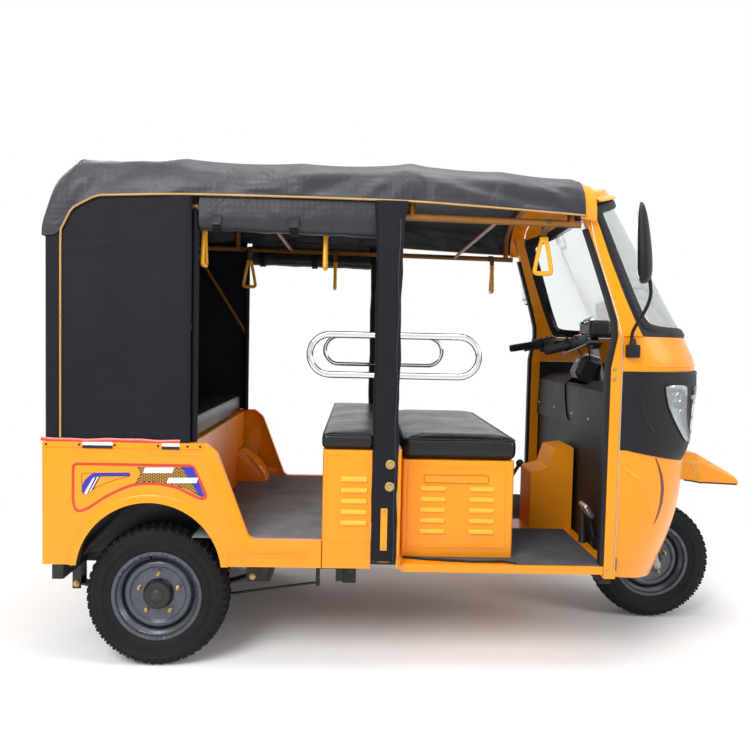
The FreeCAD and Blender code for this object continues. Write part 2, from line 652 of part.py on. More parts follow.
def seat_riser():
    edge = HOUSE_HALF - SEAM
    sheet = strip(((RISER_X, REAR_FLOOR_Z + FLOOR_SHEET + 0.3), (RISER_X, TUB_TOP_Z - 10),
                   (BODY_REAR_X + FLANGE_DEPTH + 2, TUB_TOP_Z - 10)), -SHEET, -edge, edge)
    wings = []
    top = ARCH_Z + ARCH_R + HOUSE_GAP + SEAM
    for side in (-1, 1):
        y0, y1 = sorted((side * (edge - 1), side * (BODY_HALF - FLANGE_DEPTH - 1)))
        wings.append(box(RISER_X, RISER_X + SHEET, y0, y1, top, TUB_TOP_Z - 10 + SHEET))
        wings.append(box(BODY_REAR_X + FLANGE_DEPTH + 2, RISER_X + SHEET, y0, y1, TUB_TOP_Z - 10, TUB_TOP_Z - 10 + SHEET))
    return fuse([sheet] + wings)


# ---- seats ----------------------------------------------------------------------
def rear_seat_cushion():
    half = BODY_HALF - BENCH_IN
    base = TUB_TOP_Z - 10 + SHEET + SEAT_GAP
    return rounded_box(BODY_REAR_X + 120, RISER_X - 5, -half, half, base, base + BENCH_T + 30, 22)


def rear_seat_back():
    half = BODY_HALF - BENCH_IN
    base = TUB_TOP_Z - 10 + SHEET + SEAT_GAP
    return rounded_box(BODY_REAR_X + 50, BODY_REAR_X + 120 - SEAT_GAP, -half, half, base, base + 420, 22)


def louvre(x, y, z, side):
    """Pressed vent: a wedge that leans out to its open lower edge."""
    flat = [V(x, y, z + LOUVRE_H), V(x, y + side * LOUVRE_OUT, z + 3), V(x, y + side * LOUVRE_OUT, z),
            V(x, y, z), V(x, y, z + LOUVRE_H)]
    return Part.Face(Part.makePolygon(flat)).extrude(V(LOUVRE_W, 0, 0))


def seat_box(x0, x1, half, z0, z1, columns, first_z, pitch, count):
    """Sheet-metal box, open below, with rows of pressed vents on both sides."""
    shell = box(x0, x1, -half, half, z0, z1)
    uprights = [e for e in shell.Edges if abs(e.Vertexes[0].Z - e.Vertexes[1].Z) > 1]
    shell = shell.makeFillet(10, uprights)
    shell = shell.cut(box(x0 + SHEET, x1 - SHEET, -half + SHEET, half - SHEET, z0 - 1, z1 - SHEET))
    pieces = [shell]
    for side in (-1, 1):
        for x in columns:
            for row in range(count):
                pieces.append(louvre(x, side * (half - 0.5), first_z + row * pitch, side))
    return fuse(pieces)


def seat_box_rear():
    x0, x1 = REAR_BOX_X
    columns = (x0 + 62,)
    z0 = LOWER_BOX_Z
    shell = seat_box(x0, x1, BODY_HALF, z0, REAR_BOX_TOP_Z, columns, z0 + 122, 40.0, 5)
    step = box(x1 - 1, x1 + 2.5, -BODY_HALF, BODY_HALF, z0, z0 + 40)
    shell = shell.cut(chassis_clear(x0, x1)).fuse(step.cut(box(x1 - 5, x1 + 10, -BODY_HALF + 25, BODY_HALF - 25, 0, 900))).removeSplitter()
    return shell.cut(pillar_clear())




def pillar_clear():
    """Slots in both sides for the centre pillars to stand in."""
    return both_sides(box(B_PILLAR_X[0] - SEAT_GAP, B_PILLAR_X[1] + SEAT_GAP, B_PILLAR_Y[0] - SEAT_GAP, REACH, 300, 1000))


def chassis_clear(x0, x1):
    """Room for the chassis bearers under a seat box."""
    return box(x0 - 10, x1 + 10, -BODY_HALF + 30, BODY_HALF - 30, 0, RAIL_TOP_Z + 28)


def seat_box_front():
    x0, x1 = FRONT_BOX_X
    z0 = FRONT_FLOOR_Z + FLOOR_SHEET
    columns = (x0 + 62, x0 + 246)
    shell = seat_box(x0, x1, FRONT_BOX_HALF, z0, FRONT_BOX_TOP_Z, columns, z0 + 74, 36.0, 5)
    pieces = [shell]
    for side in (-1, 1):
        # raised frame pressed round the vents
        y0, y1 = sorted((side * (FRONT_BOX_HALF - 0.5), side * (FRONT_BOX_HALF + 2.5)))
        ring = box(x0 + 22, x1 - 22, y0, y1, z0 + 40, FRONT_BOX_TOP_Z - 20)
        ring = ring.cut(box(x0 + 30, x1 - 30, y0 - 5, y1 + 5, z0 + 48, FRONT_BOX_TOP_Z - 28))
        pieces.append(ring)
    return fuse(pieces)


def badge_plates():
    x0 = FRONT_BOX_X[0]
    plate = box(x0 + 80, x0 + 322, FRONT_BOX_HALF + 0.3, FRONT_BOX_HALF + 4, 678, 712)
    edges = [e for e in plate.Edges if abs(e.Vertexes[0].Y - e.Vertexes[1].Y) > 1]
    return both_sides(plate.makeFillet(8, edges))


def seat_pad_rear():
    x0, x1 = REAR_BOX_X
    base = REAR_BOX_TOP_Z + SEAT_GAP
    pad = rounded_box(x0 - 12, x1 - 2, -BODY_HALF + 2, BODY_HALF - 2, base, base + REAR_PAD_T, 18)
    return pad.cut(pillar_clear())


def seat_pad_front():
    x0, x1 = FRONT_BOX_X
    base = FRONT_BOX_TOP_Z + SEAT_GAP
    pad = rounded_box(x0 - 4, x1 + 16, -FRONT_BOX_HALF, FRONT_BOX_HALF, base, base + FRONT_PAD_T, 26)
    return pad


def side_rails():
    x0, x1 = SIDE_RAIL_X
    low, high = SIDE_RAIL_Z
    bend = (high - low) / 2
    mid = (high + low) / 2
    pieces = []
    for z in (low, high):
        pieces.append(rod(V(x0 + bend, SIDE_RAIL_Y, z), V(x1 - bend, SIDE_RAIL_Y, z), SIDE_RAIL_R))
    for x, turn in ((x0 + bend, 90), (x1 - bend, -90)):
        arc = Part.makeTorus(bend, SIDE_RAIL_R, V(x, SIDE_RAIL_Y, mid), V(0, 1, 0))
        keep = box(x - 300, x, 0, 900, low - 50, high + 50)
        if turn < 0:
            keep = box(x, x + 300, 0, 900, low - 50, high + 50)
        pieces.append(arc.common(keep))
    post_x = (B_PILLAR_X[0] + B_PILLAR_X[1]) / 2
    for z in (low, high):
        pieces.append(rod(V(post_x, SIDE_RAIL_Y, z), V(post_x, B_PILLAR_Y[0] - SEAT_GAP, z), 9))
    return both_sides(fuse(pieces))


# ---- canopy ---------------------------------------------------------------------
# (x, crown z, edge z, half width, shoulder drop) of the roof from back to front
ROOF_SECTIONS = (
    (BODY_REAR_X, 1688.0, 1560.0, ROOF_HALF, 30.0),
    (-1358.0, 1800.0, 1606.0, ROOF_HALF, 30.0),
    (-1285.0, 1862.0, 1668.0, ROOF_HALF, 30.0),
    (-919.0, 1872.0, 1692.0, ROOF_HALF, 30.0),
    (-500.0, 1866.0, 1692.0, ROOF_HALF, 30.0),
    (-107.0, 1876.0, 1688.0, ROOF_HALF, 30.0),
    (220.0, 1868.0, 1672.0, ROOF_HALF - 6, 40.0),
    (480.0, 1862.0, 1660.0, ROOF_HALF - 22, 50.0),
    (CANOPY_FRONT_X, 1856.0, 1656.0, ROOF_HALF - 40, 66.0),
)


def roof_wire(section, offset, drop):
    x, crown, edge, half, fall = section
    half -= offset
    crown -= offset
    shoulder_y = half - SHOULDER_IN
    shoulder_z = crown - fall
    low = edge - drop
    bulge = V(x, half - SHOULDER_IN * 0.25, edge + (shoulder_z - edge) * 0.72)

    def flip(p):
        return V(p.x, -p.y, p.z)

    side_low = V(x, half, low)
    side_top = V(x, half, edge + 12)
    shoulder = V(x, shoulder_y, shoulder_z)
    edges = [
        Part.LineSegment(flip(side_low), side_low).toShape(),
        Part.LineSegment(side_low, side_top).toShape(),
        Part.Arc(side_top, bulge, shoulder).toShape(),
        Part.Arc(shoulder, V(x, 0, crown), flip(shoulder)).toShape(),
        Part.Arc(flip(shoulder), flip(bulge), flip(side_top)).toShape(),
        Part.LineSegment(flip(side_top), flip(side_low)).toShape(),
    ]
    return Part.Wire(edges)


def canopy_roof():
    outer = Part.makeLoft([roof_wire(s, 0, 0) for s in ROOF_SECTIONS], True, True)
    within = [list(section) for section in ROOF_SECTIONS]
    within[0][0] += ROOF_T
    within[-1][0] += 1
    inner = Part.makeLoft([roof_wire(s, ROOF_T, 6) for s in within], True, True)
    return outer.cut(inner)


def rail_at(x, side):
    """Centre of the roof's side rail, which closes in and drops a little forwards."""
    share = (x - ROOF_RAIL_REAR_X) / (CANOPY_FRONT_X - 60 - ROOF_RAIL_REAR_X)
    return V(x, side * (FRAME_Y - 26 * share), FRAME_RAIL_Z - 30 * share)


# (roof section, x shift) of each hoop
HOOPS = ((ROOF_SECTIONS[2], 20.0), (ROOF_SECTIONS[3], 0.0), (ROOF_SECTIONS[5], 0.0), (ROOF_SECTIONS[7], -16.0))


def canopy_frame():
    foot = TUB_TOP_Z + SEAT_GAP
    pieces = []
    for side in (-1, 1):
        pieces.append(rod(rail_at(ROOF_RAIL_REAR_X, side), rail_at(CANOPY_FRONT_X - 60, side), TUBE_R))
        corner_y = side * (FRAME_Y - 18)
        pieces.append(tube([V(CORNER_POST_X, corner_y, RISER_TOP_Z + SEAT_GAP), V(CORNER_POST_X, corner_y, CORNER_BEND_Z),
                            V(ROOF_RAIL_REAR_X, corner_y, FRAME_RAIL_Z + 10)], TUBE_R, 60))
        middle = rail_at(CURTAIN_FRONT_X + 12, side)
        pieces.append(rod(V(middle.x, middle.y, foot), middle, TUBE_R))
        pieces.append(rod(V(middle.x, middle.y, BRACE_FOOT_Z), rail_at(BRACE_HEAD_X, side), BRACE_R))
    for section, shift in HOOPS:
        x = section[0] + shift
        crown = section[1] - ROOF_T - TUBE_R - SEAT_GAP
        shoulder = crown - section[4] - 3
        rail = rail_at(x, 1)
        right_half = [V(x, -rail.y, rail.z), V(x, -rail.y + 4, shoulder - 47), V(x, -rail.y + 130, shoulder)]
        left_half = [V(p.x, -p.y, p.z) for p in reversed(right_half)]
        ring = right_half + [V(x, 0, crown)] + left_half
        pieces.append(tube(ring, TUBE_R, 45))
    # post inside each centre pillar's cover, and the light bars across the roof
    post_x = (B_PILLAR_X[0] + B_PILLAR_X[1]) / 2
    post_y = (B_PILLAR_Y[0] + B_PILLAR_Y[1]) / 2
    top = rail_at(post_x, 1)
    half_x, half_y = PILLAR_POST_HALF
    for side in (-1, 1):
        y0, y1 = sorted((side * (post_y - half_y), side * (post_y + half_y)))
        pieces.append(box(post_x - half_x, post_x + half_x, y0, y1, PILLAR_FOOT_Z, top.z + 6))
        y0, y1 = sorted((side * (post_y - half_y), side * top.y))
        pieces.append(box(post_x - half_x, post_x + half_x, y0, y1, top.z - BRACKET_DROP, top.z + 6))
    for x in CROSS_BAR_X:
        pieces.append(rod(rail_at(x, -1), rail_at(x, 1), BRACE_R))
    return fuse(pieces)


def side_curtains():
    # (x, z, radius) round the fixed rear quarter cloth, tucked up inside the roof's hem
    x0 = BODY_REAR_X + PIPING_INSET + 0.5
    outline = (
        (x0, TUB_TOP_Z + SEAT_GAP, 0.0),
        (CURTAIN_FRONT_X, TUB_TOP_Z + SEAT_GAP, 0.0),
        (CURTAIN_FRONT_X, 1700.0, 0.0),
        (-1285.0, 1676.0, 0.0),
        (x0, 1642.0, 0.0),
    )
    y1 = ROOF_HALF - ROOF_T - SEAT_GAP
    return both_sides(side_prism(outline, y1 - CURTAIN_T, y1))




def rear_curtain():
    y1 = ROOF_HALF - ROOF_T - SEAT_GAP
    x0 = BODY_REAR_X + ROOF_T + 0.3
    x1 = BODY_REAR_X + PIPING_INSET
    outline = ((x0, TUB_TOP_Z + SEAT_GAP, 0.0), (x1, TUB_TOP_Z + SEAT_GAP, 0.0), (x1, 1642.0, 0.0), (x0, 1570.0, 0.0))
    block = side_prism(outline, -y1, y1)
    inside = ((x0 + CURTAIN_T, TUB_TOP_Z - 5, 0.0), (x1 + 5, TUB_TOP_Z - 5, 0.0), (x1 + 5, 1700.0, 0.0),
              (x0 + CURTAIN_T, 1700.0, 0.0))
    cloth = block.cut(side_prism(inside, -y1 + CURTAIN_T, y1 - CURTAIN_T))
    ya, yb, za, zb = REAR_WINDOW
    return cloth.cut(box(x0 - 5, x0 + 10, ya, yb, za, zb))


def rear_window():
    ya, yb, za, zb = REAR_WINDOW
    x0 = BODY_REAR_X + ROOF_T + 0.3 + CURTAIN_T
    return box(x0 + 0.1, x0 + 1.1, ya - 15, yb + 15, za - 15, zb + 15)


def rolled_curtains():
    down = V(0, 0, TUBE_R + ROLL_R + SEAT_GAP + 0.2)
    roll = rod(rail_at(CURTAIN_FRONT_X + 28, 1) - down, rail_at(B_PILLAR_X[0] - 2, 1) - down, ROLL_R)
    return both_sides(roll)




def pillar_covers():
    x0, x1 = B_PILLAR_X
    y0, y1 = B_PILLAR_Y
    sleeve = box(x0, x1, y0, y1, PILLAR_FOOT_Z + 10, PILLAR_TOP_Z)
    sleeve = sleeve.makeFillet(9, [e for e in sleeve.Edges if abs(e.Vertexes[0].Z - e.Vertexes[1].Z) > 1])
    post_x = (x0 + x1) / 2
    post_y = (y0 + y1) / 2
    reach_x = PILLAR_POST_HALF[0] + SEAT_GAP
    reach_y = PILLAR_POST_HALF[1] + SEAT_GAP
    core = box(post_x - reach_x, post_x + reach_x, post_y - reach_y, post_y + reach_y, 0, PILLAR_TOP_Z - 8)
    sleeve = sleeve.cut(core)
    bracket_low = rail_at(post_x, 1).z - BRACKET_DROP - SEAT_GAP
    return both_sides(sleeve.cut(box(post_x - 21, post_x + 21, y0 - 5, post_y, bracket_low, bracket_low + REACH)))


def clamp_strips():
    x0 = BODY_REAR_X + 4
    x1 = TUB_FRONT_X - 24
    strip_side = box(x0, x1, BODY_HALF + 0.3, BODY_HALF + 3.3, TUB_TOP_Z - CLAMP_H, TUB_TOP_Z)
    return both_sides(strip_side)


def grab_handles():
    """Triangular rings on straps that loop round the roof's side rails."""
    rings = []
    for x in HANDLE_X:
        rail = rail_at(x, 1)
        y = rail.y - HANDLE_IN
        outer = ((x - 36, 1452.0, 18.0), (x + 36, 1452.0, 18.0), (x + 12, 1590.0, 8.0), (x - 12, 1590.0, 8.0))
        ring = side_prism(outer, y - 8, y + 8)
        ring = ring.cut(inset_prism(outer, 14, y - 20, y + 20))
        strap = box(x - 9, x + 9, y - 3, y + 3, 1578, rail.z + 3)
        loop = box(x - 9, x + 9, y - 3, rail.y - TUBE_R - SEAT_GAP, rail.z - 3, rail.z + 3)
        rings.append(fuse([ring, strap, loop]))
    return Part.makeCompound(rings + [mirrored(ring) for ring in rings])




# ---- front body -----------------------------------------------------------------
def post_inset(z):
    """How far the screen's side has leaned in from the cowl's side at this height."""
    share = max(0.0, (z - COWL_TOP_Z) / (SCREEN_TOP_Z - COWL_TOP_Z))
    return share * (COWL_HALF - 6 - SCREEN_TOP_HALF)


def front_posts():
    """Upright box post beside the door, then the raked post beside the windscreen."""
    sill = ((LIP_BOTTOM_Z - 14, POST_X[0], POST_X[1]), (1120.0, POST_X[0], POST_X[1]),
            (COWL_TOP_Z + SEAM, POST_REAR[0][1], POST_X[1]))
    raked = [(z, x, SCREEN_EDGE[-1 - i][0] + SEAM / 2) for i, (z, x) in enumerate(POST_REAR[:5])]
    raked[0] = (COWL_TOP_Z + SEAM,) + raked[0][1:]
    raked.append((HEADER_REAR_Z, POST_REAR[5][1], HEADER_REAR_X - SEAM))
    pieces = []
    for rows in (sill, raked):
        sections = []
        for z, x0, x1 in rows:
            shift = post_inset(z)
            sections.append((z, x0, x1, POST_Y0 - shift, POST_Y1 - shift))
        pieces.append(box_loft(sections))
    return both_sides(fuse(pieces))


# (z, x) of the post's rear face, upwards from the cowl's top
POST_REAR = ((1238.0, 640.0), (1290.0, 636.0), (1374.0, 612.0), (1521.0, 566.0), (1700.0, 508.0), (1735.0, 500.0))


def door_trims():
    """Black rubber along the rear face of each post."""
    rows = [(TRIM_BOTTOM_Z, POST_X[0]), (1120.0, POST_X[0])] + list(POST_REAR[:4])
    rows.append((1620.0, 534.0))
    sections = []
    for z, x in rows:
        shift = post_inset(z)
        sections.append((z, x - 15, x - SEAT_GAP, POST_Y0 - shift + 4, POST_Y1 - shift - 4))
    return both_sides(box_loft(sections))




def under_arch(drop):
    """Everything below the header's arched top, lowered by the drop."""
    side = V(0, -SCREEN_TOP_HALF, ARCH_SIDE_Z - drop)
    crown = V(0, 0, ARCH_CROWN_Z - drop)
    arch = Part.Arc(side, crown, V(0, SCREEN_TOP_HALF, side.z)).toShape().Curve
    disc = Part.makeCylinder(arch.Radius, REACH, V(0, 0, arch.Center.z), V(1, 0, 0))
    return disc


def screen_region(inset):
    """Side-view prism of the windscreen opening, its edge moved inwards."""
    low = COWL_TOP_Z + inset
    ring = [V(x + inset, -REACH, max(z, low)) for x, z in SCREEN_EDGE]
    ring += [V(REACH, -REACH, low), V(REACH, -REACH, SCREEN_EDGE[0][1])]
    prism = Part.Face(Part.makePolygon(ring + [ring[0]])).extrude(V(0, 2 * REACH, 0))
    return prism.common(under_arch(HEADER_H + inset))


def windscreen():
    shell = plan_shell(SCREEN_SECTIONS, 0, -GLASS_T, SCREEN_BACK_X, True)
    return shell.common(screen_region(GASKET_W - 8))


def screen_gasket():
    shell = plan_shell(SCREEN_SECTIONS, GASKET_OUT, -GLASS_T - GASKET_OUT, SCREEN_BACK_X, True)
    band = shell.common(screen_region(SEAM)).cut(screen_region(GASKET_W))
    slot = plan_shell(SCREEN_SECTIONS, SEAT_GAP, -GLASS_T - SEAT_GAP, SCREEN_BACK_X, True)
    return band.cut(slot.common(screen_region(GASKET_W - 8.3)))


def header():
    outer = plan_loft(SCREEN_SECTIONS, GASKET_OUT, DEEP_X, True)
    inner = plan_loft(SCREEN_SECTIONS, -16, DEEP_X - 50, True)
    top = under_arch(0).cut(under_arch(COWL_T))
    rim = under_arch(COWL_T - 0.5).cut(under_arch(HEADER_H - 0.2)).cut(inner)
    ahead = box(HEADER_REAR_X, REACH, -REACH, REACH, REACH, SCREEN_EDGE[0][1])
    return top.fuse(rim).common(outer).common(ahead).removeSplitter()


HEADER_REAR_X = SCREEN_EDGE[1][0] + SEAM


def upper_cowl():
    return plan_shell(UPPER_SECTIONS, 0, -COWL_T, COWL_BACK_X)




def lamp_prism(inset):
    """Teardrop cutter that points out through the mask's right corner."""
    flat = [V(x, 0, z) for x, z in LAMP_FACE]
    wire = rounded_path(list(zip(flat, LAMP_RADII)), True)
    if inset:
        inner = wire.makeOffset2D(-inset)
        if Part.Face(inner).Area > Part.Face(wire).Area:
            inner = wire.makeOffset2D(inset)
        wire = inner
    prism = Part.Face(wire).extrude(V(0, -400, 0))
    prism.rotate(V(0, 0, 0), V(0, 0, 1), LAMP_TURN)
    prism.translate(V(850, -260, 0))
    return prism


# corners of a headlamp's teardrop face, across it and up, with their radii
LAMP_FACE = ((-84, 1058), (-62, 930), (20, 820), (62, 850), (84, 980), (40, 1058))
LAMP_RADII = (20, 110, 10, 80, 70, 50)


def mask_bottom_cut(gap):
    """Everything below the mask's sloping lower edge."""
    ring = [V(MASK_REAR_X, -REACH, MASK_SIDE_Z + gap), V(680, -REACH, MASK_SIDE_Z + gap), V(1000, -REACH, MASK_BOTTOM_Z + gap),
            V(REACH, -REACH, MASK_BOTTOM_Z + gap), V(REACH, -REACH, 0), V(MASK_REAR_X, -REACH, 0)]
    return Part.Face(Part.makePolygon(ring + [ring[0]])).extrude(V(0, 2 * REACH, 0))


def nose_mask():
    shell = plan_shell(MASK_SECTIONS, 0, -COWL_T, COWL_BACK_X).cut(mask_bottom_cut(SEAM))
    hole = lamp_prism(0)
    return shell.cut(hole).cut(mirrored(hole))


def headlamps():
    shell = plan_shell(MASK_SECTIONS, 3, -30, COWL_BACK_X)
    return both_sides(mirrored(shell.common(lamp_prism(1.0))))


def lower_cowl():
    shell = plan_shell(LOWER_SECTIONS, 0, -COWL_T, COWL_BACK_X).common(mask_bottom_cut(0))
    shell = shell.cut(box(MASK_REAR_X, REACH, -WHEEL_WAY, WHEEL_WAY, 0, WHEEL_WAY_TOP)).cut(guard_loft(-SEAM))
    ring = [V(MASK_REAR_X, -REACH, COWL_SIDE_BOTTOM_Z), V(POST_X[1], -REACH, COWL_SIDE_BOTTOM_Z), V(860, -REACH, COWL_BOTTOM_Z),
            V(860, -REACH, 0), V(MASK_REAR_X, -REACH, 0)]
    return shell.cut(Part.Face(Part.makePolygon(ring + [ring[0]])).extrude(V(0, 2 * REACH, 0)))


# (x, half width, top z, bottom z) of the front mudguard from back to tip
GUARD_SECTIONS = ((1052.0, 112.0, 752.0, 640.0), (1200.0, 106.0, 738.0, 618.0), (1380.0, 70.0, 640.0, 606.0),
                  (1396.0, 58.0, 620.0, 603.0))


def guard_loft(shrink):
    wires = []
    for x, half, top, low in GUARD_SECTIONS:
        y = half - shrink
        up = top - shrink
        wide = [V(x, -y, low - shrink), V(x, -y, up - (up - low) * 0.3), V(x, -y * 0.6, up), V(x, y * 0.6, up),
                V(x, y, up - (up - low) * 0.3), V(x, y, low - shrink)]
        wires.append(Part.makePolygon(wide + [wide[0]]))
    return Part.makeLoft(wires, True, True)


def mudguard():
    skin = guard_loft(0)
    hollow = guard_loft(3.0)
    hollow.translate(V(-3.0, 0, 0))
    return skin.cut(hollow)


def front_bulkhead():
    wall = box(BULKHEAD_X, BULKHEAD_X + DASH_T, -COWL_HALF, COWL_HALF, FRONT_FLOOR_Z + 20, DASH_LOW_Z - SEAT_GAP)
    wall = wall.common(plan_loft(LOWER_SECTIONS, -COWL_T - SEAT_GAP, DEEP_X))
    for stay in head_stays(STAY_R + 1):
        wall = wall.cut(stay)
    return wall


def dashboard():
    half = COWL_HALF - COWL_T - 8
    skin = strip(((BULKHEAD_X - 12, DASH_LOW_Z), (BULKHEAD_X - 2, 1020.0), (BULKHEAD_X + 40, 1050.0),
                  (900.0, 1068.0)), DASH_T, -half, half)
    foot = box(BULKHEAD_X - 12, BULKHEAD_X + 10, -half, half, DASH_LOW_Z, DASH_LOW_Z + 4)
    board = fuse([skin, foot])
    inside = plan_loft(MASK_SECTIONS, -COWL_T - 6, 300)
    board = board.common(inside).cut(both_sides(box(500, POST_X[1] + SEAT_GAP, POST_Y0 - SEAT_GAP, REACH, 500, 1300)))
    way = rod(on_steering(500.0, -40.0), on_steering(1100.0, -40.0), COLUMN_WAY_R)
    return board.cut(way)


def centre_tunnel():
    x0, x1 = TUNNEL_X
    low = FRONT_FLOOR_Z + FLOOR_SHEET
    ring = [V(x0, -TUNNEL_HALF, low), V(x0, -TUNNEL_HALF, 650), V(x0 + 70, -TUNNEL_HALF, 668),
            V(x0 + 96, -TUNNEL_HALF, 752), V(x1, -TUNNEL_HALF, 764), V(x1, -TUNNEL_HALF, low)]
    body = Part.Face(Part.makePolygon(ring + [ring[0]])).extrude(V(0, 2 * TUNNEL_HALF, 0))
    tops = [e for e in body.Edges if abs(e.Vertexes[0].Y - e.Vertexes[-1].Y) > 10 and e.CenterOfMass.z > 600]
    body = body.makeFillet(12, tops)
    core = box(x0 + 3, x1 + 5, -TUNNEL_HALF + 3, TUNNEL_HALF - 3, low - 5, 640)
    return body.cut(core)




def control_levers():
    """Gear lever beside the tunnel and the foot brake's arm and pad."""
    floor = FRONT_FLOOR_Z + FLOOR_SHEET + MAT_T + SEAT_GAP
    gear = tube([V(420, 130, floor), V(420, 130, 560), V(470, 140, 640)], 8, 60)
    gear = gear.fuse(Part.makeSphere(18, V(474, 141, 646)))
    hinge = box(BULKHEAD_X - 20, BULKHEAD_X - SEAT_GAP, PEDAL_Y - 14, PEDAL_Y + 14, 412, 452)
    arm = tube([V(BULKHEAD_X - 10, PEDAL_Y, 440), V(BULKHEAD_X - 22, PEDAL_Y, 500), V(632, PEDAL_Y, 546)], 8, 12)
    pad = box(-9, 9, PEDAL_Y - 36, PEDAL_Y + 36, -26, 26)
    pad.rotate(V(0, 0, 0), V(0, 1, 0), -35)
    pad.translate(V(628, 0, 550))
    return Part.makeCompound([gear, fuse([hinge, arm, pad])])


def mirrors():
    out = COWL_HALF + SEAT_GAP
    base = box(666, 710, out, out + 36, MIRROR_BASE_Z, MIRROR_BASE_Z + 46)
    arm = tube([V(688, out + 18, MIRROR_BASE_Z + 40), V(688, out + 36, MIRROR_BASE_Z + 110),
                V(704, out + 96, MIRROR_BASE_Z + 170), V(696, out + 141, MIRROR_BASE_Z + 290)], 6, 25)
    head = rounded_box(-20, 20, -75, 75, -134, 134, 17)
    head.rotate(V(0, 0, 0), V(0, 0, 1), -22)
    head.translate(V(690, out + 166, MIRROR_BASE_Z + 392))
    return both_sides(fuse([base, arm, head]))


# ---- steering -------------------------------------------------------------------
def fork():
    pieces = []
    for side in (-1, 1):
        y = side * FORK_LEG_Y
        pieces.append(rod(on_steering(-22, 0, y), on_steering(330, 0, y), FORK_LEG_R))
        pieces.append(rod(on_steering(320, 0, y), on_steering(UPPER_CROWN[1], 0, y), FORK_TUBE_R))
    pieces.append(rod(V(FRONT_AXLE_X, -FORK_LEG_Y - 24, AXLE_Z), V(FRONT_AXLE_X, FORK_LEG_Y + 24, AXLE_Z), HUB_BORE_R))
    angle = -math.degrees(math.atan2(AXLE_POINT.x - STEER_TOP.x, STEER_TOP.z - AXLE_POINT.z))
    for s0, s1 in (LOWER_CROWN, UPPER_CROWN):
        crown = box(-34, 34, -FORK_LEG_Y - 26, FORK_LEG_Y + 26, s0, s1)
        crown = crown.makeFillet(20, [e for e in crown.Edges if abs(e.Vertexes[0].Z - e.Vertexes[1].Z) > 1])
        crown.rotate(V(0, 0, 0), V(0, 1, 0), angle)
        crown.translate(AXLE_POINT)
        pieces.append(crown)
    stem_top = (STEER_TOP - AXLE_POINT).Length - CLAMP_R - SEAT_GAP
    pieces.append(rod(on_steering(LOWER_CROWN[0] + 5), on_steering(stem_top), STEM_R))
    return fuse(pieces)


# right half of the bar from its clamp to the grip's end
BAR_POINTS = ((0.0, 0.0, 0.0), (0.0, -90.0, 8.0), (-150.0, -230.0, 2.0), (-292.0, -330.0, -28.0))


def bar_points(side):
    return [STEER_TOP + V(x, -side * y, z) for x, y, z in BAR_POINTS]


def handlebar():
    halves = []
    for side in (-1, 1):
        points = bar_points(side)
        halves.append(tube(points, BAR_R, 45))
    clamp = rod(STEER_TOP + V(0, -40, 0), STEER_TOP + V(0, 40, 0), CLAMP_R)
    return fuse(halves + [clamp])


def grips():
    sleeves = []
    for side in (-1, 1):
        points = bar_points(side)
        way = (points[3] - points[2]).normalize()
        end = points[3]
        sleeve = rod(end - way * 121, end + way * 6, GRIP_R)
        block = rod(end - way * 166, end - way * 120, 26)
        bore = rod(end - way * 200, end + way * 0.5, BAR_R + 0.05)
        sleeves.append(fuse([sleeve, block]).cut(bore))
    return Part.makeCompound(sleeves)


def instrument_pod():
    pod = rounded_box(STEER_TOP.x - 45, STEER_TOP.x + 50, -80, 80, STEER_TOP.z + 30, STEER_TOP.z + 105, 18)
    neck = box(STEER_TOP.x - 15, STEER_TOP.x + 15, -15, 15, STEER_TOP.z + 20.3, STEER_TOP.z + 34)
    return pod.fuse(neck).removeSplitter()


# ---- wheels ---------------------------------------------------------------------
def ring_of(profile):
    """Turn a closed (radius, y) outline round the Y axis."""
    wire = Part.makePolygon([V(r, y, 0) for r, y in profile] + [V(profile[0][0], profile[0][1], 0)])
    return Part.Face(wire).revolve(V(0, 0, 0), V(0, 1, 0), 360)


def tyre_shape():
    w = TYRE_HALF_W
    return ring_of(((RIM_R - 8, -40), (RIM_R + 4, -47), (RIM_R + 40, -w), (TYRE_R - 22, -w + 1), (TYRE_R - 5, -w + 12),
                    (TYRE_R, -w + 24), (TYRE_R, w - 24), (TYRE_R - 5, w - 12), (TYRE_R - 22, w - 1),
                    (RIM_R + 40, w), (RIM_R + 4, 47), (RIM_R - 8, 40)))


def rim_shape():
    # stepped wheel disc, outer side towards -Y, with its drop-centre barrel
    barrel = ring_of(((RIM_R, -48), (RIM_R, -45), (RIM_R - 9, -43), (RIM_R - 9, -38), (RIM_R - 28, -20),
                      (RIM_R - 28, 20), (RIM_R - 9, 38), (RIM_R - 9, 43), (RIM_R, 45), (RIM_R, 48), (RIM_R - 13, 48),
                      (RIM_R - 13, 40), (RIM_R - 32, 22), (RIM_R - 32, -22), (RIM_R - 13, -40), (RIM_R - 13, -48)))
    disc = ring_of(((RIM_R - 30, -6), (RIM_R - 46, -30), (RIM_R - 58, -30), (RIM_R - 66, -18), (56, -18), (56, -14),
                    (RIM_R - 64, -14), (RIM_R - 56, -26), (RIM_R - 48, -26), (RIM_R - 34, -6)))
    rim = fuse([barrel, disc])
    for nut in wheel_nuts(NUT_R + SEAT_GAP):
        rim = rim.cut(nut)
    return rim


def wheel_nuts(radius):
    nuts = []
    for number in range(5):
        angle = math.radians(72 * number + 18)
        at = V(NUT_CIRCLE_R * math.cos(angle), -30, NUT_CIRCLE_R * math.sin(angle))
        nuts.append(Part.makeCylinder(radius, 17, at, V(0, 1, 0)))
    return nuts


def hub_shape(half_inner):
    drum = ring_of(((HUB_BORE_R + RUNNING, -46), (44, -46), (50, -40), (50, -13.7), (DRUM_R - 4, -13.7), (DRUM_R, -8),
                    (DRUM_R, half_inner), (HUB_BORE_R + RUNNING, half_inner)))
    return fuse([drum] + wheel_nuts(NUT_R))


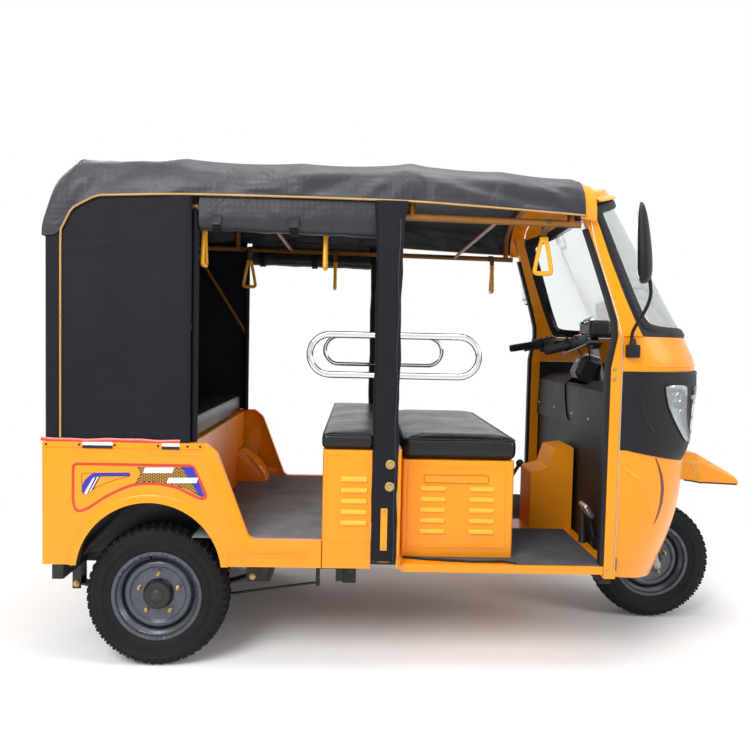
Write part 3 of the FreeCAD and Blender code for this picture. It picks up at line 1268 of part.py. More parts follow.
def place_wheel(shape, where):
    """Right-hand and front wheels show their outer face to -Y, the left one to +Y."""
    made = shape.copy()
    if where == "left":
        made = mirrored(made)
    spots = {
        "right": V(REAR_AXLE_X, -REAR_WHEEL_Y, AXLE_Z),
        "left": V(REAR_AXLE_X, REAR_WHEEL_Y, AXLE_Z),
        "front": AXLE_POINT,
    }
    made.translate(spots[where])
    return made


def wheel_nodes():
    nodes = {}
    for where in ("right", "left", "front"):
        inner = TYRE_HALF_W + 6.0
        if where == "front":
            inner = 40.0
        nodes["tyre_" + where] = place_wheel(tyre_shape(), where)
        nodes["rim_" + where] = place_wheel(rim_shape(), where)
        nodes["hub_" + where] = place_wheel(hub_shape(inner), where)
    return nodes


# ---- all pieces -----------------------------------------------------------------
MAKERS = (
    chassis_frame, floor_bearers, head_frame, engine, leaf_springs, rear_axle, brake_rod,
    side_panels, rear_panel, tail_lamps, plate_bracket, wheel_houses, floor_pan, floor_mats, seat_riser,
    rear_seat_cushion, rear_seat_back, seat_box_rear, seat_box_front, badge_plates, seat_pad_rear, seat_pad_front,
    side_rails, canopy_roof, canopy_frame, side_curtains, rear_curtain, rear_window, rolled_curtains,
    pillar_covers, clamp_strips, grab_handles,
    front_posts, door_trims, windscreen, screen_gasket, header, upper_cowl, nose_mask, headlamps,
    lower_cowl, mudguard, front_bulkhead, dashboard, centre_tunnel, control_levers, mirrors,
    fork, handlebar, grips, instrument_pod,
)


def main():
    os.makedirs("parts", exist_ok=True)
    shapes = {maker.__name__: maker() for maker in MAKERS}
    shapes.update(wheel_nodes())
    for name, shape in shapes.items():
        solids = shape.Solids
        print(name, len(solids), shape.isValid(), round(shape.Volume / 1e3), shape.BoundBox)
        shape.exportStep("parts/" + name + ".step")


main()
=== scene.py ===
import logging
import math
from contextlib import contextmanager
from dataclasses import dataclass, field
from enum import Enum
from typing import Any, Callable, Iterator, Optional, Sequence

import bmesh
import bpy
from mathutils import Matrix, Vector


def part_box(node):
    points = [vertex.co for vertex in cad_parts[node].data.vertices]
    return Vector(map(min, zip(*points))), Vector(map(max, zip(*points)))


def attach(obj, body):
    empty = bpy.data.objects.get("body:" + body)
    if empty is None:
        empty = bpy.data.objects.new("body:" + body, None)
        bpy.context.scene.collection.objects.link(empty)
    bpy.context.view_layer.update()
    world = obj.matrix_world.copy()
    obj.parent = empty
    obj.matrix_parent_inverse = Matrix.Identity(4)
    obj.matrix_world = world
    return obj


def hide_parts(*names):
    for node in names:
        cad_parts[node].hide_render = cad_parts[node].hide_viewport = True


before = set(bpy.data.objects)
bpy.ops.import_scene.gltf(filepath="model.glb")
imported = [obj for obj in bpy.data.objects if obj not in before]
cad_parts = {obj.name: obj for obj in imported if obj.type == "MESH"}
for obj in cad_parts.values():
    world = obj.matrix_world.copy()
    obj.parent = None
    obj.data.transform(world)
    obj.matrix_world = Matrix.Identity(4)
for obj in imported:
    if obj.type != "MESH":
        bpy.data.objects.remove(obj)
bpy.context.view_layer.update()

LOG = logging.getLogger("auto_rickshaw")
MM = 0.001
# further out than any piece, in millimetres: where lines that look for a surface start
BEYOND = 1500.0
# points closer than this, in metres, become one
WELD = 0.00005
SIDES = ((-1, "right"), (1, "left"))
Piece = bpy.types.Object
Point = tuple[float, float, float]
Spot = tuple[float, float]
Check = Callable[[Vector, Vector], bool]
Outline = Sequence[Spot]
Rows = Sequence[Sequence[Vector]]


def point(x: float, y: float, z: float) -> Vector:
    """A point given in millimetres, returned in metres."""
    return Vector((x * MM, y * MM, z * MM))


def mirrored(rows: Rows) -> list[list[Vector]]:
    """The rows on the vehicle's other side, each turned end for end to keep the sheet's outer face."""
    return [[Vector((p.x, -p.y, p.z)) for p in row[::-1]] for row in rows]


def around(centre: Vector, radius: float, angle: float) -> Vector:
    """Point on a circle of a plane.

    Args:
        centre: its middle, of two numbers.
        radius: in the centre's own unit.
        angle: from the plane's first axis towards its second, in degrees.
    Returns:
        The point, of two numbers.
    """
    turn = math.radians(angle)
    return Vector((centre.x + radius * math.cos(turn), centre.y + radius * math.sin(turn)))


def linear(colour: str) -> tuple[float, float, float, float]:
    """Turns an sRGB hex colour into the linear values that shaders take.

    Args:
        colour: six hex digits after a hash sign.
    Returns:
        Linear red, green, blue and an alpha of one.
    """
    parts = [int(colour[i:i + 2], 16) / 255 for i in (1, 3, 5)]
    flat = [p / 12.92 if p <= 0.04045 else ((p + 0.055) / 1.055) ** 2.4 for p in parts]
    return (flat[0], flat[1], flat[2], 1.0)


def add_node(tree: bpy.types.NodeTree, kind: str, links: Optional[dict] = None,
             **settings: Any) -> bpy.types.Node:
    """Adds one shader node, sets it up and feeds its sockets.

    Args:
        tree: the node tree that gets the node.
        kind: the node's type without its ShaderNode prefix.
        links: socket name or number to a value, or to the socket that feeds it.
        settings: plain properties of the node.
    Returns:
        The new node.
    """
    node = tree.nodes.new("ShaderNode" + kind)
    for name, value in settings.items():
        setattr(node, name, value)
    for name, value in (links or {}).items():
        socket = node.inputs[name]
        if isinstance(value, bpy.types.NodeSocket):
            tree.links.new(value, socket)
        else:
            socket.default_value = value
    return node


def blank_material(name: str) -> tuple[bpy.types.Material, bpy.types.NodeTree]:
    """Makes a material without any node.

    Args:
        name: the material's name.
    Returns:
        The material and its empty node tree.
    """
    material = bpy.data.materials.new(name)
    material.use_nodes = True
    material.node_tree.nodes.clear()
    return material, material.node_tree


# ---- finishes ---------------------------------------------------------------------
class Surface(Enum):
    """How a finish's fine relief is made."""

    PEEL = "sprayed enamel: very shallow, wide orange peel"
    GRAIN = "moulded or cast: fine pebbled grain"
    HIDE = "vinyl leathercloth: closed cells with creases between them"
    WEAVE = "woven cloth: two sets of crossing threads"
    BRUSH = "drawn or rolled metal: long fine scratches"
    PLAIN = "polished: almost no relief"


@dataclass(frozen=True)
class Finish:
    """One real material, its colours and its relief.

    Sizes are real ones in millimetres. The dirt colour gathers in slow patches and,
    where dust_mm is above nought, near the ground up to that height.
    """

    name: str
    colour: str
    patch: str
    roughness: float
    surface: Surface = Surface.GRAIN
    metallic: float = 0.0
    coat: float = 0.0
    sheen: float = 0.0
    patch_mm: float = 160.0
    patch_share: float = 0.5
    relief_mm: float = 1.5
    depth_mm: float = 0.08
    fold_mm: float = 0.0
    fold_depth_mm: float = 0.0
    dust: str = "#8A7A62"
    dust_mm: float = 0.0
    dust_share: float = 0.35
    ior: float = 1.5
    specular: float = 0.5
    alpha: float = 1.0

    def relief(self, tree: bpy.types.NodeTree, where: bpy.types.NodeSocket) -> bpy.types.NodeSocket:
        """Builds the fine height pattern and returns its socket.

        Args:
            tree: the material's node tree.
            where: the socket that gives Object coordinates.
        Returns:
            A height between nought and one.
        """
        scale = 1 / (self.relief_mm * MM)
        if self.surface is Surface.WEAVE:
            # bands of threads along each way; a wave texture has twenty bands to a unit of its scale
            uneven = {"Vector": where, "Scale": scale / 20, "Distortion": 0.6}
            fuzzy = {**uneven, "Detail": 1.0, "Detail Scale": 2.0}
            warp = add_node(tree, "TexWave", fuzzy, bands_direction="X")
            weft = add_node(tree, "TexWave", fuzzy, bands_direction="Z")
            across = add_node(tree, "TexWave", uneven, bands_direction="Y")
            both = add_node(tree, "Math", {0: warp.outputs["Fac"], 1: weft.outputs["Fac"]},
                            operation="MULTIPLY")
            return add_node(tree, "Math", {0: both.outputs[0], 1: across.outputs["Fac"]},
                            operation="ADD").outputs[0]
        if self.surface is Surface.HIDE:
            cells = add_node(tree, "TexVoronoi", {"Vector": where, "Scale": scale, "Smoothness": 0.5},
                             feature="SMOOTH_F1")
            return cells.outputs["Distance"]
        if self.surface is Surface.BRUSH:
            stretch = add_node(tree, "Mapping", {"Vector": where, "Scale": (0.06, 1.0, 1.0)})
            lines = add_node(tree, "TexNoise", {"Vector": stretch.outputs[0], "Scale": scale, "Detail": 3.0})
            return lines.outputs["Fac"]
        detail = 1.0 if self.surface is Surface.PEEL else 4.0
        grain = add_node(tree, "TexNoise",
                         {"Vector": where, "Scale": scale, "Detail": detail, "Roughness": 0.55})
        return grain.outputs["Fac"]

    def make(self) -> bpy.types.Material:
        """Builds the node material: slow colour patches, dust, fine relief and folds.

        Returns:
            The material.
        """
        material, tree = blank_material(self.name)
        where = add_node(tree, "TexCoord").outputs["Object"]
        slow = add_node(tree, "TexNoise", {"Vector": where, "Scale": 1 / (self.patch_mm * MM), "Detail": 5.0,
                                           "Roughness": 0.6})
        spread = add_node(tree, "MapRange",
                          {"Value": slow.outputs["Fac"], "From Min": 0.35, "From Max": 0.68,
                           "To Max": self.patch_share})
        colour = add_node(tree, "Mix", {"Factor": spread.outputs[0], "A": linear(self.colour),
                                        "B": linear(self.patch)}, data_type="RGBA").outputs["Result"]
        if self.dust_mm:
            height = add_node(tree, "SeparateXYZ", {0: where}).outputs["Z"]
            low = add_node(tree, "MapRange",
                           {"Value": height, "From Min": self.dust_mm * MM, "From Max": 0.0,
                            "To Max": self.dust_share})
            speck = add_node(tree, "TexNoise",
                             {"Vector": where, "Scale": 22.0, "Detail": 8.0, "Roughness": 0.7})
            amount = add_node(tree, "Math", {0: low.outputs[0], 1: speck.outputs["Fac"]},
                              operation="MULTIPLY")
            colour = add_node(tree, "Mix",
                              {"Factor": amount.outputs[0], "A": colour, "B": linear(self.dust)},
                              data_type="RGBA").outputs["Result"]
        rough = add_node(tree, "MapRange", {"Value": slow.outputs["Fac"], "From Min": 0.3, "From Max": 0.7,
                                            "To Min": max(0.02, self.roughness - 0.06),
                                            "To Max": min(1.0, self.roughness + 0.08)})
        bump = add_node(tree, "Bump", {"Height": self.relief(tree, where), "Distance": self.depth_mm * MM,
                                       "Strength": 1.0})
        normal = bump.outputs[0]
        if self.fold_mm:
            crease = add_node(tree, "TexNoise",
                              {"Vector": where, "Scale": 1 / (self.fold_mm * MM), "Detail": 2.0,
                               "Distortion": 0.8})
            normal = add_node(tree, "Bump", {"Height": crease.outputs["Fac"], "Strength": 1.0,
                                             "Distance": self.fold_depth_mm * MM,
                                             "Normal": normal}).outputs[0]
        shader = add_node(tree, "BsdfPrincipled", {
            "Base Color": colour, "Roughness": rough.outputs[0], "Metallic": self.metallic, "IOR": self.ior,
            "Specular IOR Level": self.specular, "Coat Weight": self.coat, "Coat Roughness": 0.06,
            "Sheen Weight": self.sheen, "Sheen Roughness": 0.5, "Alpha": self.alpha, "Normal": normal})
        add_node(tree, "OutputMaterial", {"Surface": shader.outputs[0]})
        return material


def film(name: str, colour: str, patch: str, roughness: float = 0.3, coat: float = 0.3) -> Finish:
    """Cut vinyl film: a flat even colour with the faintest orange peel."""
    return Finish(name, colour, patch, roughness, Surface.PEEL, coat=coat, relief_mm=12, depth_mm=0.01)


def lens(name: str, colour: str, patch: str, roughness: float = 0.12) -> Finish:
    """Moulded acrylic pane: clean gloss over a soft, wide ripple."""
    return Finish(name, colour, patch, roughness, Surface.PLAIN, coat=0.5, relief_mm=8, depth_mm=0.15)


class Paintbox:
    """Makes each finish once and hands it out by name."""

    CATALOGUE: tuple[Finish, ...] = (
        # gloss alkyd enamel over pressed steel: wide faint orange peel, dusty near the road
        Finish("yellow_enamel", "#FFA00E", "#F79608", 0.3, Surface.PEEL, coat=0.12, specular=0.4,
               patch_mm=420, relief_mm=9, depth_mm=0.03, dust_mm=620, dust_share=0.16),
        # the same enamel rubbed dull by feet: deeper orange, almost no gloss
        Finish("tunnel_enamel", "#F79C12", "#E0860C", 0.55, Surface.PEEL, specular=0.22, patch_mm=300,
               relief_mm=7, depth_mm=0.04, dust_mm=480, dust_share=0.2),
        # body-yellow enamel brushed on the canopy's tubes, coloured brown as painted shade under the roof:
        # shallow brush marks, half gloss
        Finish("tube_enamel_painted_shade", "#9A6420", "#7A4C18", 0.42, Surface.PEEL, relief_mm=6, depth_mm=0.05),
        # the body's yellow enamel on the louvres' turned-out faces, painted lighter as a highlight since they
        # look up at the light, and glossier
        Finish("louvre_painted_highlight", "#FFC02C", "#FFB01E", 0.22, Surface.PEEL, coat=0.4, relief_mm=9,
               depth_mm=0.02),
        # waterproof coated canvas: dull weave, a bluish sheen, soft slow folds; threads drawn coarse to show
        Finish("coated_canvas", "#24262F", "#1B1C26", 0.46, Surface.WEAVE, sheen=0.1, patch_mm=260,
               relief_mm=3.2, depth_mm=0.35, fold_mm=120, fold_depth_mm=8.0),
        # the same canvas stretched flat and upright: darker as painted shade on the upright faces, with
        # hardly any sheen
        Finish("coated_canvas_painted_shade", "#13141C", "#0F1017", 0.62, Surface.WEAVE, sheen=0.02, specular=0.22,
               patch_mm=300, relief_mm=3.2, depth_mm=0.35, fold_mm=190, fold_depth_mm=5.0),
        # gold corded piping sewn into the canvas seams: fine twisted threads, soft matt gold
        Finish("gold_piping", "#C79A55", "#A87B3A", 0.6, Surface.WEAVE, sheen=0.2, patch_mm=60,
               relief_mm=1.6, depth_mm=0.3),
        # calendered vinyl leathercloth over foam: pebbled cells, soft gloss and slack creases
        Finish("grained_vinyl", "#131418", "#101114", 0.3, Surface.HIDE, specular=0.4, patch_mm=180,
               relief_mm=3.0, depth_mm=0.35, fold_mm=90, fold_depth_mm=1.6),
        # the same leathercloth sewn round a cord: finer cells, a thin line of gloss
        Finish("vinyl_piping", "#17181B", "#101113", 0.4, Surface.HIDE, relief_mm=2.0, depth_mm=0.2),
        # injection-moulded polypropylene with spark-eroded grain: dull black, dusty near the road
        Finish("black_polypropylene", "#16171B", "#121317", 0.5, specular=0.28, patch_mm=240, relief_mm=1.8,
               depth_mm=0.12, dust_mm=700, dust_share=0.2),
        # the same plastic inside the cab: a shade greyer and clean; on the mask's top edge that greyer shade
        # is a painted highlight
        Finish("dash_polypropylene", "#191B1E", "#141518", 0.5, specular=0.26, patch_mm=200, relief_mm=1.8,
               depth_mm=0.15),
        # moulded ABS of switches and levers: finer grain, a little more gloss
        Finish("black_switch_plastic", "#18191B", "#202124", 0.4, patch_mm=40, relief_mm=0.9, depth_mm=0.06),
        # extruded ethylene rubber: soft dull black with a fine bloom
        Finish("black_rubber", "#1A1B20", "#141519", 0.55, specular=0.3, patch_mm=90, relief_mm=1.6,
               depth_mm=0.1),
        # vulcanised tyre rubber: matt and grained, brown with dust at the road
        Finish("tyre_rubber", "#16171A", "#101113", 0.68, specular=0.25, patch_mm=70, relief_mm=1.4,
               depth_mm=0.14, dust_mm=110, dust_share=0.1),
        # ribbed floor rubber: pale, blotched and quite dull
        Finish("floor_rubber", "#83858A", "#6E7074", 0.72, patch_mm=120, patch_share=0.8, relief_mm=1.6,
               depth_mm=0.12),
        # the same rubber, darker: dark grey with mild blotches
        Finish("dark_floor_rubber", "#4E5055", "#404246", 0.66, patch_mm=120, patch_share=0.8, relief_mm=1.6,
               depth_mm=0.12),
        # chassis black sprayed over rolled section: uneven, with road dust low down
        Finish("chassis_black", "#1B1C1E", "#26241F", 0.45, patch_mm=120, relief_mm=3, dust_mm=420),
        # triple-plated steel tube: a clear mirror with the slightest waviness
        Finish("polished_chrome", "#E4E6E8", "#D5D8DA", 0.07, Surface.PLAIN, metallic=1.0, patch_mm=120,
               relief_mm=30, depth_mm=0.01),
        # vacuum-metallised plastic inside the lamps: white and mirror-bright
        Finish("lamp_silver", "#F2F3F4", "#E2E4E6", 0.05, Surface.PLAIN, metallic=1.0, patch_mm=50,
               relief_mm=30, depth_mm=0.01),
        # yellow passivated zinc on bolts: straw gold with faint blotches
        Finish("yellow_zinc", "#C9B06A", "#A08E58", 0.34, metallic=0.9, patch_mm=12, relief_mm=0.8,
               depth_mm=0.05),
        # bright zinc on small plates and screws: grey metal with fine rolling scratches
        Finish("bright_zinc", "#BFC1C2", "#9FA2A4", 0.36, Surface.BRUSH, metallic=0.9, patch_mm=40,
               relief_mm=0.8, depth_mm=0.05),
        # sand-cast aluminium: pebbled light grey, dust in its low parts
        Finish("cast_aluminium", "#8E9093", "#747679", 0.5, metallic=0.7, patch_mm=60, relief_mm=2.2,
               depth_mm=0.15, dust_mm=460, dust_share=0.3),
        # stove-enamelled wheel: dark blue-grey with a slight metallic flake
        Finish("wheel_enamel", "#535863", "#3F434C", 0.3, metallic=0.5, coat=0.3, patch_mm=90, relief_mm=1.2,
               depth_mm=0.04, dust_mm=300, dust_share=0.2),
        # black paint over a cast brake drum: coarse skin, brownish where it is hot
        Finish("drum_black", "#1E1F22", "#2B2A28", 0.55, patch_mm=50, relief_mm=2.4, depth_mm=0.15),
        # aluminium paint on the fork's tubes: dull silver with drawn lines
        Finish("fork_silver", "#A9ABAE", "#8D9093", 0.36, Surface.BRUSH, metallic=0.6, patch_mm=70,
               relief_mm=1.2, depth_mm=0.04),
        # moulded polyethylene of the hanging handles: bright yellow, waxy half gloss
        Finish("handle_plastic", "#FFB81C", "#F0A814", 0.32, patch_mm=40, relief_mm=1.2, depth_mm=0.05),
        # woven polyester webbing: brown, matt, with a clear weave
        Finish("webbing", "#6E4A22", "#5A3B1A", 0.7, Surface.WEAVE, sheen=0.2, patch_mm=30, relief_mm=1.6,
               depth_mm=0.25),
        # cut vinyl films of the decals and bands
        film("red_vinyl_film", "#D63A22", "#C8321E"),
        film("blue_vinyl_film", "#2A22B4", "#241C9C"),
        film("purple_vinyl_film", "#4A1F6E", "#3E1A60"),
        film("white_vinyl_film", "#F1F1F0", "#E3E3E1", 0.32, coat=0.0),
        film("black_vinyl_film", "#1D1B1C", "#141314", 0.34, coat=0.0),
        film("gold_vinyl_film", "#C8932A", "#B98322", 0.34, coat=0.0),
        film("dark_red_film", "#7E2410", "#6A1C0C"),
        # acrylic panes of the lamps, switches' keys and dial
        lens("red_lens", "#B3161B", "#8F0F14"),
        lens("amber_lens", "#F08A1D", "#D9730F"),
        lens("white_lens", "#E9ECEE", "#D8DCDF", 0.1),
        # silvered glass: a flawless mirror
        Finish("mirror_glass", "#E6EAEC", "#DCE1E4", 0.03, Surface.PLAIN, metallic=1.0, relief_mm=60,
               depth_mm=0.01),
        # die-cast engine cases: grey, rough-skinned and stained
        Finish("engine_block", "#77797C", "#5B5D60", metallic=0.6, roughness=0.5, patch_mm=50, relief_mm=2.5,
               depth_mm=0.2),
        # clear flexible PVC: see-through with slow ripples and a wet gloss
        Finish("clear_film", "#D9DEE0", "#C4CACC", 0.12, Surface.PLAIN, patch_mm=90, relief_mm=60,
               depth_mm=0.6, ior=1.45, alpha=0.42),
    )
    # bare glass and the lamps' clear covers, which the eye looks straight through
    CLEAR_PANES = ("laminated_glass", "lamp_cover")

    def __init__(self) -> None:
        """Starts with every finish listed and none made."""
        self.listed = {finish.name: finish for finish in self.CATALOGUE}
        self.made: dict[str, bpy.types.Material] = {}

    def get(self, name: str) -> bpy.types.Material:
        """Hands out a material, and builds it the first time.

        Args:
            name: a finish of the catalogue, or a clear pane.
        Returns:
            The material.
        """
        if name not in self.made:
            self.made[name] = self.clear_pane(name) if name in self.CLEAR_PANES else self.listed[name].make()
        return self.made[name]

    def clear_pane(self, name: str) -> bpy.types.Material:
        """Thin clear pane: mostly see-through, with a gloss that grows at grazing angles.

        Args:
            name: the new material's name.
        Returns:
            The material.
        """
        material, tree = blank_material(name)
        where = add_node(tree, "TexCoord").outputs["Object"]
        smear = add_node(tree, "TexNoise", {"Vector": where, "Scale": 7.0, "Detail": 6.0, "Roughness": 0.65})
        dull = add_node(tree, "MapRange", {"Value": smear.outputs["Fac"], "To Min": 0.01, "To Max": 0.12})
        clear = add_node(tree, "BsdfTransparent", {"Color": linear("#FBFEFE")})
        gloss = add_node(tree, "BsdfAnisotropic", {"Color": linear("#FFFFFF"), "Roughness": dull.outputs[0]})
        rim = add_node(tree, "Fresnel", {"IOR": 1.5})
        share = add_node(tree, "Math", {0: rim.outputs[0], 1: 0.7}, operation="MULTIPLY", use_clamp=True)
        mixed = add_node(tree, "MixShader", {0: share.outputs[0], 1: clear.outputs[0], 2: gloss.outputs[0]})
        add_node(tree, "OutputMaterial", {"Surface": mixed.outputs[0]})
        return material


PAINT = Paintbox()


# ---- modelling --------------------------------------------------------------------
@dataclass
class Assembly:
    """A group of pieces that is built together. Holds the modelling moves they share."""

    # radius in millimetres that stands for a point on the axis while a profile is turned
    POLE = 0.01
    # a touched point nearer to the origin than this, in metres, means that the piece was missed
    FOUND = 0.01

    body: str = "body"

    def build(self) -> None:
        """Models and dresses the pieces; each sub-assembly has its own."""
        raise NotImplementedError

    @staticmethod
    def deselect() -> None:
        """Leaves object mode clean, with nothing selected."""
        if bpy.context.object and bpy.context.object.mode != "OBJECT":
            bpy.ops.object.mode_set(mode="OBJECT")
        bpy.ops.object.select_all(action="DESELECT")

    def pick(self, piece: Piece) -> None:
        """Makes a piece the only selected and the active one.

        Args:
            piece: the object.
        """
        self.deselect()
        piece.select_set(True)
        bpy.context.view_layer.objects.active = piece

    @contextmanager
    def editing(self, piece: Piece) -> Iterator[None]:
        """Edit mode with the whole piece selected, and object mode again afterwards.

        Args:
            piece: the mesh object.
        Yields:
            Nothing; the operators go inside the with block.
        """
        self.pick(piece)
        bpy.ops.object.mode_set(mode="EDIT")
        bpy.ops.mesh.select_mode(type="VERT")
        bpy.ops.mesh.select_all(action="SELECT")
        yield
        bpy.ops.object.mode_set(mode="OBJECT")

    @contextmanager
    def faces(self, piece: Piece, check: Check) -> Iterator[None]:
        """Edit mode with some faces selected in code, and object mode again afterwards.

        Args:
            piece: the mesh object.
            check: says yes to the faces wanted, from their centre in metres and their normal.
        Yields:
            Nothing; the operators go inside the with block.
        """
        with self.editing(piece):
            bpy.ops.mesh.select_mode(type="FACE")
            bpy.ops.mesh.select_all(action="DESELECT")
            mesh = bmesh.from_edit_mesh(piece.data)
            for face in mesh.faces:
                face.select_set(check(face.calc_center_median(), face.normal))
            bmesh.update_edit_mesh(piece.data)
            yield

    def block(self, name: str, low: Point, high: Point, bevel: float = 2.0, segments: int = 2) -> Piece:
        """Block with rounded edges between two corners.

        Args:
            name: the piece's name.
            low: lowest corner in millimetres.
            high: highest corner in millimetres.
            bevel: radius of its edges in millimetres.
            segments: facets on each edge.
        Returns:
            The mesh object, with its place in its mesh.
        """
        self.deselect()
        a, b = point(*low), point(*high)
        bpy.ops.mesh.primitive_cube_add(size=1.0, location=(a + b) / 2)
        piece = bpy.context.object
        piece.name = name
        piece.scale = b - a
        bpy.ops.object.transform_apply(location=True, rotation=True, scale=True)
        if bevel:
            with self.editing(piece):
                bpy.ops.mesh.bevel(offset=bevel * MM, segments=segments, affect="EDGES")
        return piece

    def turned(self, name: str, profile: Outline, centre: Vector, axis: Point,
               segments: int = 48, closed: bool = False) -> Piece:
        """Turns a profile about an axis, a ring at a time, from a circle.

        Args:
            name: the piece's name.
            profile: (radius, distance along the axis) pairs in millimetres.
            centre: where the profile's distance is nought, in metres.
            axis: the axis's way.
            segments: sides of each ring.
            closed: whether the last ring joins the first one.
        Returns:
            The mesh object.
        """
        self.deselect()
        radius, along = profile[0]
        start = max(radius, self.POLE) * MM
        bpy.ops.mesh.primitive_circle_add(vertices=segments, radius=start, location=(0, 0, 0))
        piece = bpy.context.object
        piece.name = name
        with self.editing(piece):
            bpy.ops.transform.translate(value=(0, 0, along * MM))
            for radius_next, along_next in list(profile[1:]) + ([profile[0]] if closed else []):
                wide = max(radius_next, self.POLE) * MM
                bpy.ops.mesh.extrude_region_move(
                    TRANSFORM_OT_translate={"value": (0, 0, (along_next - along) * MM)})
                bpy.ops.transform.resize(value=(wide / start, wide / start, 1.0),
                                         center_override=(0, 0, along_next * MM))
                start, along = wide, along_next
            bpy.ops.mesh.select_all(action="SELECT")
            bpy.ops.mesh.remove_doubles(threshold=WELD)
            bpy.ops.mesh.normals_make_consistent(inside=False)
        turn = Vector((0, 0, 1)).rotation_difference(Vector(axis))
        piece.data.transform(Matrix.Translation(centre) @ turn.to_matrix().to_4x4())
        return piece

    def bar(self, name: str, points: Sequence[Vector], radius: float, smooth: bool = True,
            sides: int = 4) -> Piece:
        """Round bar, cable or piping along a line of points.

        Args:
            name: the piece's name.
            points: the line's points in metres.
            radius: half its thickness in millimetres.
            smooth: whether the line curves between the points.
            sides: facets on a quarter of its round.
        Returns:
            The mesh object, closed at both ends.
        """
        self.deselect()
        bpy.ops.curve.primitive_nurbs_path_add()
        piece = bpy.context.object
        piece.name = name
        curve = piece.data
        curve.splines.clear()
        spline = curve.splines.new("NURBS" if smooth else "POLY")
        spline.points.add(len(points) - 1)
        for spot, where in zip(spline.points, points):
            spot.co = (where.x, where.y, where.z, 1.0)
        if smooth:
            spline.order_u = 3
            spline.use_endpoint_u = True
        curve.resolution_u = 8
        curve.bevel_depth = radius * MM
        curve.bevel_resolution = sides
        curve.use_fill_caps = True
        piece.location = (0, 0, 0)
        bpy.ops.object.convert(target="MESH")
        piece = bpy.context.object
        bpy.ops.object.transform_apply(location=True, rotation=True, scale=True)
        return piece

    def slab(self, name: str, outline: Sequence[Vector], along: Vector) -> Piece:
        """Plate cut to an outline and given its thickness by extruding.

        Args:
            name: the piece's name.
            outline: the corners in order, in metres.
            along: the extrusion, in metres.
        Returns:
            The mesh object.
        """
        self.deselect()
        bpy.ops.mesh.primitive_circle_add(vertices=len(outline), radius=0.1, fill_type="NGON")
        piece = bpy.context.object
        piece.name = name
        for vertex, corner in zip(piece.data.vertices, outline):
            vertex.co = corner
        piece.location = (0, 0, 0)
        with self.editing(piece):
            bpy.ops.mesh.extrude_region_move(TRANSFORM_OT_translate={"value": along})
            bpy.ops.mesh.select_all(action="SELECT")
            bpy.ops.mesh.normals_make_consistent(inside=False)
        return piece

    def web(self, name: str, rows: Rows) -> Piece:
        """Sheet through rows of points, all of one length.

        Args:
            name: the piece's name.
            rows: the points, row by row, in metres.
        Returns:
            The mesh object, one face between each four neighbours.
        """
        self.deselect()
        wide = len(rows[0])
        bpy.ops.mesh.primitive_grid_add(x_subdivisions=wide - 1, y_subdivisions=len(rows) - 1, size=1.0)
        piece = bpy.context.object
        piece.name = name
        for number, vertex in enumerate(piece.data.vertices):
            vertex.co = rows[number // wide][number % wide]
        return piece

    def loft(self, name: str, rings: Rows) -> Piece:
        """Closed skin through rings of points, with a flat cap at both ends.

        Args:
            name: the piece's name.
            rings: the rings in order, in metres, all of one count.
        Returns:
            The mesh object.
        """
        piece = self.web(name, [list(ring) + [ring[0]] for ring in rings])
        with self.editing(piece):
            bpy.ops.mesh.remove_doubles(threshold=WELD / 5)
            bpy.ops.mesh.select_all(action="DESELECT")
            bpy.ops.mesh.select_mode(type="EDGE")
            bpy.ops.mesh.select_non_manifold()
            bpy.ops.mesh.fill_holes(sides=0)
            bpy.ops.mesh.select_all(action="SELECT")
            bpy.ops.mesh.normals_make_consistent(inside=False)
        return piece

    @staticmethod
    def touch(piece: Piece, x: float, z: float, side: int = -1, lift: float = 0.0) -> Vector:
        """Point on the piece's outer side at that place of the side view.

        Args:
            piece: the mesh object, its place in its mesh.
            x: millimetres along the vehicle.
            z: millimetres above the floor.
            side: -1 for the right side, 1 for the left.
            lift: millimetres outwards from the surface.
        Returns:
            The point in metres, or the origin where the piece is missed.
        """
        hit, spot, normal, _ = piece.ray_cast(point(x, side * BEYOND, z), Vector((0, -side, 0)))
        return spot + normal * (lift * MM) if hit else Vector((0, 0, 0))

    @staticmethod
    def met(piece: Piece, y: float, z: float) -> tuple[bool, Vector, Vector]:
        """Where a line from in front first meets the piece, at that place of the front view.

        Args:
            piece: the mesh object, its place in its mesh.
            y: millimetres across the vehicle.
            z: millimetres above the floor.
        Returns:
            Whether it is met at all, the point in metres and the normal there.
        """
        hit, spot, normal, _ = piece.ray_cast(point(BEYOND, y, z), Vector((-1, 0, 0)))
        return hit, spot, normal

    def copy_node(self, node: str, name: str, angle: float = 32.0) -> Piece:
        """Merged and smoothed copy of a CAD node that stands for it.

        Args:
            node: the CAD node's name.
            name: the new piece's name.
            angle: edges sharper than this stay sharp, in degrees.
        Returns:
            The mesh object, already standing for the node.
        """
        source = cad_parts[node]
        piece = bpy.data.objects.new(name, source.data.copy())
        piece.data.materials.clear()
        bpy.context.collection.objects.link(piece)
        with self.editing(piece):
            bpy.ops.mesh.remove_doubles(threshold=WELD * 0.4)
        self.smooth(piece, angle)
        self.modify(piece, "WEIGHTED_NORMAL", keep_sharp=True)
        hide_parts(node)
        return piece

    def modify(self, piece: Piece, kind: str, **settings: Any) -> None:
        """Adds one modifier with its settings and applies it.

        Args:
            piece: the mesh object.
            kind: the modifier's type.
            settings: its plain properties.
        """
        self.pick(piece)
        extra = piece.modifiers.new(kind.lower(), kind)
        for name, value in settings.items():
            setattr(extra, name, value)
        bpy.ops.object.modifier_apply(modifier=extra.name)

    def thicken(self, piece: Piece, thickness: float) -> None:
        """Gives a sheet its thickness in millimetres, half of it to each side."""
        self.modify(piece, "SOLIDIFY", thickness=thickness * MM, offset=0.0)

    def subdivide(self, piece: Piece, levels: int) -> None:
        """Subdivides a piece smoothly that many times."""
        self.modify(piece, "SUBSURF", levels=levels, render_levels=levels)

